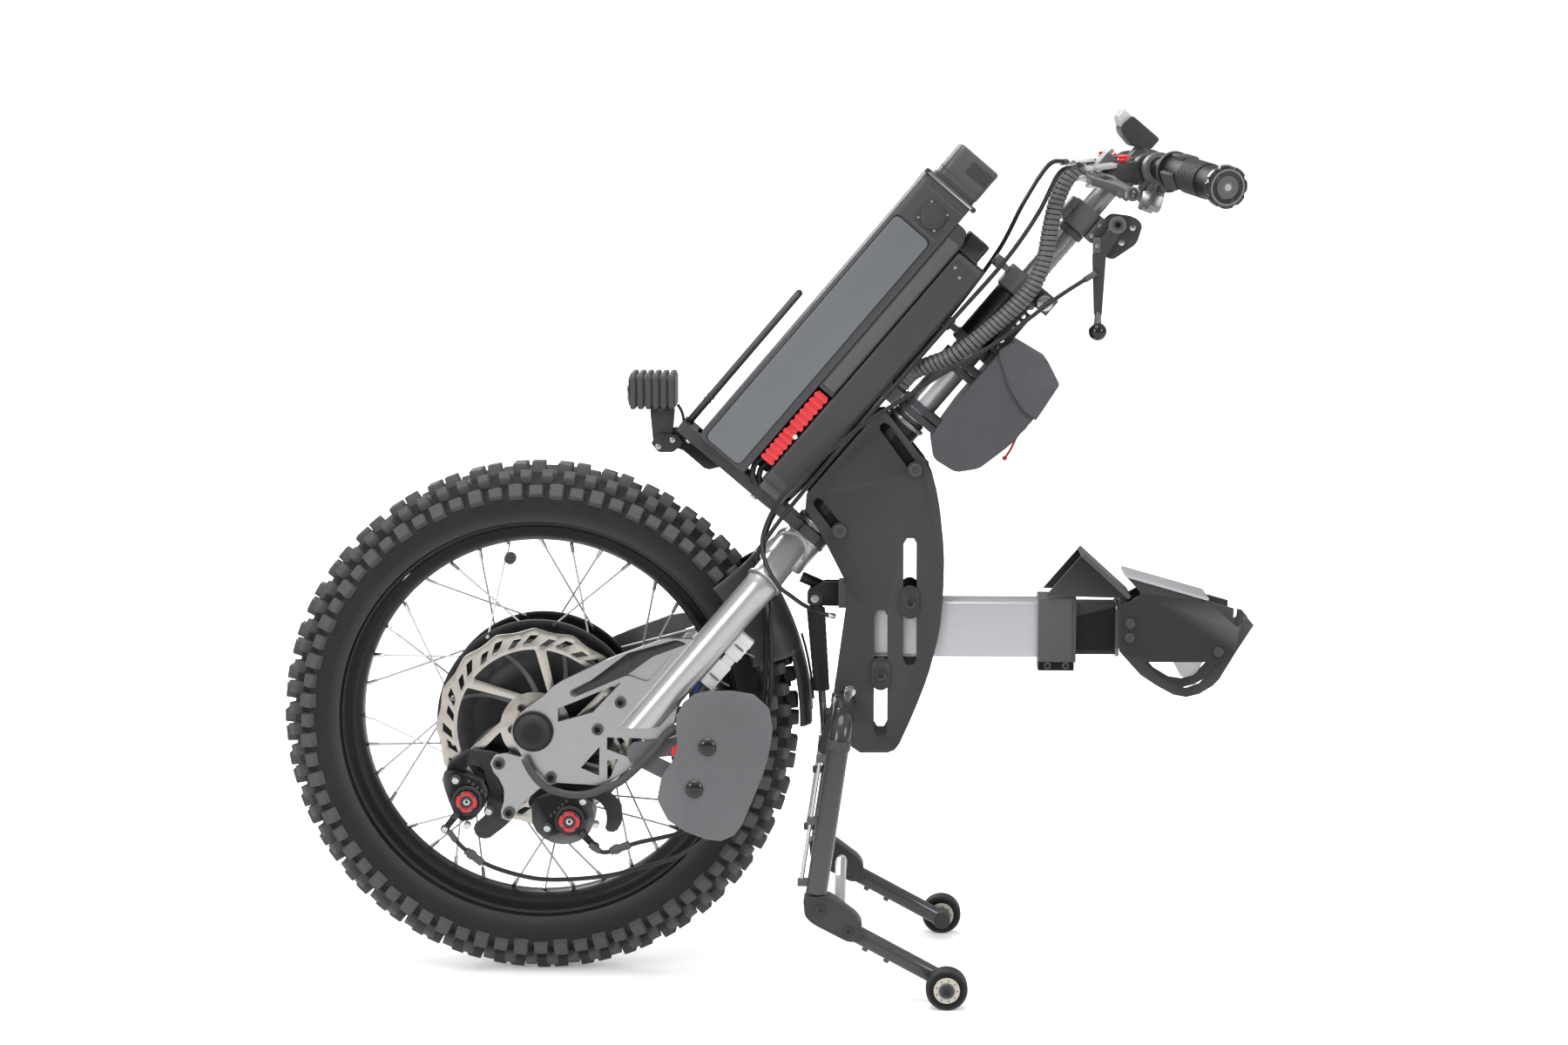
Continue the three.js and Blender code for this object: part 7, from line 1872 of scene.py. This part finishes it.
# %% Display, throttle and release lever
release_pivot, release_y = Vector((601.1, 0, 793.9)), -21.2
throttle_y = 152


def make_display():
    outline = [(-34, 521), (-28, 516.5), (-12, 514), (5, 523), (5, 537), (-32, 537)]
    front = [(-42, 527), (-35, 522), (-31, 522), (-31, 536.4), (-42, 536.4)]
    parts = coated(satin_black, plate(outline, 0, 72, 3, (), 2.2))
    parts += coated(display_front, plate(front, 0, 62, 2.4, (), 1.6))
    parts += coated(gloss_black, block((-26, 0), (-30, 30), (536.4, 537.4), 0.4))
    assemble("bar_display", "column_upper", STEER, parts, ["display"])


def make_throttle():
    at = bar_point(-1, throttle_y)
    out = (bar_point(-1, throttle_y + 1) - at).normalized()
    hinge = Vector((0.35, 0, -0.94)).cross(out).normalized()
    place = frame_at((out, hinge, out.cross(hinge).normalized()), at)
    ring = turned(both_ends([(16, 4), (15, 5), (11.3, 5)]), 40, "Z")
    parts = coated(satin_black, placed(ring, turned_to(out, at)))
    parts += coated(satin_black, placed(block((-4.5, 4.5), (-3.8, 3.8), (13, 30), 1.4), place))
    paddle = [(-6, 25), (22, 25), (23, 42), (14, 45), (9, 40), (4, 45), (-6, 43)]
    parts += coated(dark_silver, placed(plate(paddle, 0, 12, 4, (), 3.4, 6), place))
    assemble("thumb_throttle", "throttle", STEER, parts, ["throttle"])


def make_release_lever():
    x, z, y = release_pivot.x, release_pivot.z, release_y
    outline = [
        (594.6, 799), (604, 800.4), (607.6, 792), (602, 781), (589.6, 762), (586, 700), (578, 700),
        (575.4, 764), (582, 778), (592, 790),
    ]
    parts = coated(
        satin_black,
        plate(outline, y, 5, 3, [circle(x, z, 4.2, 24)], 1.3),
        turned(both_ends([(9, 2.6), (4.2, 2.6)]), 32, "Y", (x, y, z)),
        rod((582, y, 704), (582, y, 688), 3.2, 4.2, sides=20),
    )
    parts += coated(gloss_black, ball((582, y, 684), 9.4, 4))
    parts += coated(satin_black, block((576, 584), (y - 4, y + 4), (765, 781), 1.2))
    parts += coated(steel, socket_bolt((580, y - 4, 773), near_side, 2.4, 1.4))
    assemble("release_handle", "release_lever", GROUND, parts, ["release_lever"])


make_display()
make_throttle()
make_release_lever()

# %% [markdown]
# The dock frame: slotted side plates bolted through oval washers, the welded head tube, a silver arm in a
# black clamp band, and the coupler that grips the chair. The laser-cut plates keep their CAD shapes, which
# are exact, and only the hardware on them is new.

# %% Dock frame and arm
plate_face = 28.2
tilt_bolts = [(394.7, 540.6), (316.2, 476.2)]
button_bolt = (327.5, 306.4)
arm_bolts = [(389.9, 401.4), (359.5, 325.4)]
cheek_left, cheek_wide, cheek_base, cheek_tall = 607.3, 140.5, 302.4, 125.4
cheek_bolts = [(0.085, 0.62), (0.085, 0.5), (0.742, 0.385)]


def washer_bolt(x, z, out):
    """An oval washer, a plain one and a cap screw on one outside face."""
    y = out * (plate_face + 0.2)
    washer = plate(oval((x, z - 8), (x, z + 8), 9.6, 16), y + out * 1.4, 2.8, 0, (), 0.6)
    ring = rod((x, y + out * 2.6, z), (x, y + out * 3.9, z), 8, sides=36, soft=0.4)
    head = socket_bolt((x, y + out * 3.8, z), (0, out, 0), 6.2, 5)
    return coated(satin_black, washer) + coated(matt_black, ring) + coated(gloss_black, head)


def make_plate_bolts():
    parts = []
    for out in (-1, 1):
        for x, z in tilt_bolts:
            start, end = out * plate_face, out * (plate_face + 1.4)
            parts += coated(
                satin_black,
                rod((x, start, z), (x, end, z), 8.6, sides=36, soft=0.4),
                socket_bolt((x, out * (plate_face + 1.3), z), (0, out, 0), 6.8, 4.4),
            )
        x, z = button_bolt
        start, end = out * plate_face, out * (plate_face + 2.2)
        parts += coated(bright_steel, rod((x, start, z), (x, end, z), 6.2, sides=36, soft=0.9))
        parts += coated(steel, socket_bolt((x, out * (plate_face + 2), z), (0, out, 0), 3.4, 0.8))
    assemble("plate_bolts", "dock_frame", GROUND, parts)


def make_arm():
    parts = coated(arm_silver, square_tube((338, 545), 20, (341.5, 401.5), 5))
    for out in (-1, 1):
        for x, z in arm_bolts:
            parts += washer_bolt(x, z, out)
    assemble("silver_arm", "arm_carriage", GROUND, parts, ["arm_outer_tube"])


def make_band():
    parts = []
    for x in (534, 553):
        for out in (-1, 1):
            parts += coated(matt_black, socket_bolt((x, out * 23.6, 334), (0, out, 0), 3.6, 1.4))
    parts += coated(satin_black, square_tube((560, 563.6), 25.2, (336.6, 406.6), 4, 0.9))
    assemble("band_bolts", "arm_carriage", GROUND, parts)


def make_coupler_trim():
    parts = []
    for out in (-1, 1):
        for u, v in cheek_bolts:
            at = (cheek_left + u * cheek_wide, out * 29.8, cheek_base + v * cheek_tall)
            parts += coated(satin_black, socket_bolt(at, (0, out, 0), 5.3, 2.6))
    seam = [(606.6, -17, 345), (606.6, -17, 398), (606.6, 17, 398), (606.6, 17, 345), (606.6, -17, 345)]
    bead = bent_path(seam, 4, 4)
    puddles = [2.1 + 0.35 * math.sin(i * 2.1) for i in range(len(bead))]
    parts += coated(dark_silver, tube(bead, 2.1, 12, puddles))
    assemble("coupler_bolts", "arm_slider", GROUND, parts)


def make_head_tube_trim():
    parts = coated(satin_black, weld_bead((0, 0, 148), (0, 0, 1), 20.2, 1.5))
    for low in (1, 145):
        cup = [(17, low), (21.4, low), (21.9, low + 1), (21.9, low + 4.4), (17, low + 5)]
        parts += coated(dark_silver, turned(cup, 56, "Z"))
    assemble("headset_cups", "dock_frame", STEER, parts)


make_arm()
make_plate_bolts()
make_band()
make_coupler_trim()
make_head_tube_trim()
for plain in ("head_tube", "strut_bracket", "arm_band_clamp", "arm_inner_tube", "guide_wedge"):
    dress(plain, satin_black, 0.0008)
for cut_plate in ("side_plate_near", "side_plate_far", "coupler_cheek_near", "coupler_cheek_far"):
    dress(cut_plate, plate_black, 0.0007)
dress("coupler_latch", steel, 0.0008)
dress("roof_plate", arm_silver, 0.0008)

# %% [markdown]
# The roller stand folds on one pivot: bent tubes, knee plates, spring strips with clips, a brace, and two
# rollers. Its tube bends twice on each side, so a path with rounded corners is swept, and one function
# makes both legs, because they mirror each other.

# %% Stand
stand_half = 126
stand_knee, stand_pivot = (294.5, 114.6), (321, 294)
crank_inner = 9.2
foot_start, roller_axle = (329.4, 74.8), (428.2, 21.5)
roller_across = 150.5
stand_coat = grained(
    "stand tube coat", grey(0.03, 0.12), grey(0.022, 0.12), 0.26, 900, 0.00001, coat=0.5, edge=0.1,
)


def stand_at(share, ahead=0):
    """A point up the leg from its knee to its pivot, or some way ahead of it."""
    rise = [high - low for low, high in zip(stand_knee, stand_pivot)]
    return stand_knee[0] + rise[0] * share - ahead, stand_knee[1] + rise[1] * share


def make_stand_frame():
    """Both legs with their bend, spring strips, clips and inner cranks, in one weldment."""
    parts = []
    for side in (-1, 1):
        y = side * stand_half
        (knee_x, knee_z), (pivot_x, pivot_z) = stand_knee, stand_pivot
        corners = [(knee_x, y, knee_z), (pivot_x, y, pivot_z), (pivot_x, side * crank_inner, pivot_z)]
        parts += coated(stand_coat, tube(bent_path(corners, 30, 14), 11, 40))
        (low_x, low_z), (high_x, high_z) = stand_at(0.04, 17), stand_at(0.8, 17)
        parts += coated(bright_steel, rod((low_x, y, low_z), (high_x, y, high_z), 2, sides=16))
        for share in (0.06, 0.42, 0.78):
            x, z = stand_at(share, 17)
            parts += coated(satin_black, block((x - 4, x + 18), (y - 3.5, y + 3.5), (z - 4, z + 4), 1.2))
        x, z = stand_at(0.86)
        crank = [(332, 294), (321, 305), (310, 294), (292, 242), (300, 233), (309, 238)]
        parts += coated(
            satin_black,
            rod((x - 0.7, y, z - 5), (x + 0.7, y, z + 5), 12.2, sides=40, soft=0.8),
            plate(crank, side * (crank_inner + 3), 6, 5, (), 0.8),
        )
    lug = rod((301, -crank_inner, 240), (301, crank_inner, 240), 5.4, sides=28, soft=0.6)
    parts += coated(silver_coat, lug, block((294, 308), (-9, 9), (232, 256), 3))
    assemble("stand_frame", "stand", GROUND, parts, ["stand_tube"])


def make_foot(side, name, node):
    y, reach = side * stand_half, side * roller_across
    (start_x, start_z), (x, z) = foot_start, roller_axle
    knee = [(281, 112), (283, 92), (292, 84), (328, 65.5), (341, 67), (341.5, 84), (336, 92), (308, 113)]
    parts = coated(satin_black, plate(knee, y, 26, 5, (), 2.6, 5))
    for u, v in ((327.5, 77.8), (299, 100)):
        parts += coated(gloss_black, socket_bolt((u, y + side * 12.8, v), (0, side, 0), 4.6, 2.2))
    parts += coated(stand_coat, rod((start_x, y, start_z), (x, y, z), 9, sides=40, soft=0.8))
    for share in (0.2, 0.42):
        u, v = start_x + (x - start_x) * share, start_z + (z - start_z) * share
        parts += coated(satin_black, socket_bolt((u - 3.8, y, v - 7.6), (-0.47, 0, -0.88), 3, 3.4))
    boss = rod((x, y - side * 9, z), (x, reach - side * 10.9, z), 9.5, sides=36, soft=0.8)
    axle = rod((x, reach - side * 12, z), (x, reach + side * 11, z), 5, sides=28)
    cap = socket_bolt((x, reach + side * 10.8, z), (0, side, 0), 6.6, 2.2)
    parts += coated(satin_black, boss) + coated(steel, axle) + coated(gloss_black, cap)
    assemble(name, "stand", GROUND, parts, [node])


make_stand_frame()
make_foot(-1, "near_foot", "stand_foot_near")
make_foot(1, "far_foot", "stand_foot_far")

# %% [markdown]
# Each roller is a rubber tyre pressed on a ball bearing. Tyre, outer race and inner race are spun round the
# same axle, and the seal's marks are small pins set in a ring by a loop.

# %% Rollers
roller_half = 10.5
bearing_ring = grained("bearing ring", (0.52, 0.47, 0.38, 1), (0.42, 0.38, 0.3, 1), 0.38, 700, 0.00003)


def make_roller(side, name, body, node):
    y, half = side * roller_across, roller_half
    x, z = roller_axle
    tread = both_ends([
        (21.5, 4), (21.4, half - 3.4), (19.6, half - 1.6), (13.2, half - 1.2), (12.6, half), (5.2, half),
    ])
    race = both_ends([(13.4, half - 0.4), (13, half + 0.4), (8.2, half + 0.4)])
    inner = both_ends([(8.4, half + 0.7), (5.2, half + 0.7)])
    parts = []
    rings = ((soft_rubber, tread, 56), (bearing_ring, race, 48), (satin_black, inner, 40))
    for material, profile, steps in rings:
        parts += coated(material, turned(profile, steps, "Y", (x, y, z)))
    for i in range(9):
        u, v = polar(10.7, i * math.tau / 9, x, z)
        parts += coated(matt_black, rod((u, y - half - 0.7, v), (u, y + half + 0.7, v), 0.9, sides=10))
    assemble(name, body, GROUND, parts, [node])


make_roller(-1, "near_roller", "roller_near", "stand_roller_near")
make_roller(1, "far_roller", "roller_far", "stand_roller_far")
dress("stand_brace", silver_coat, 0.0005, 30)

# %% [markdown]
# A gas strut holds the stand down. Its body wears a sleeve of gathered cloth, which is one tube along the
# strut's line whose radius swings with each fold and shrinks towards the rod. The rod keeps its CAD shape.

# %% Strut
strut_top, strut_lug = Vector((290, 0, 402)), Vector((301, 0, 249))
fold_count, fold_pitch, fold_height = 23, 4, 0.35
sleeve_start, sleeve_radius, sleeve_taper = 12, 9.6, 1.4


def strut_point(distance):
    return strut_top + (strut_lug - strut_top).normalized() * distance


def make_strut():
    stations = [strut_point(sleeve_start + fold_pitch * i) for i in range(fold_count)]
    radii = [
        sleeve_radius - sleeve_taper * i / (fold_count - 1) + (fold_height if i % 2 else 0)
        for i in range(fold_count)
    ]
    parts = coated(sleeve_cloth, tube(stations, 9, 32, radii))
    parts += coated(
        satin_black,
        rod(strut_point(9), strut_point(15), 7.4, sides=32, soft=1),
        rod((290, -11, 402), (290, 11, 402), 7.8, sides=32, soft=0.8),
    )
    parts += coated(steel, socket_bolt((290, -11, 402), near_side, 4.4, 2.4))
    assemble("strut_sleeve", "strut_body", GROUND, parts, ["strut_body"])
    dress("strut_rod", steel, 0.0004, 30)


make_strut()

# %% Finish
def corners(pair):
    return [[round(value, 5) for value in corner] for corner in pair]


{"cad": corners(cad_box), "visual": corners(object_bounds())}
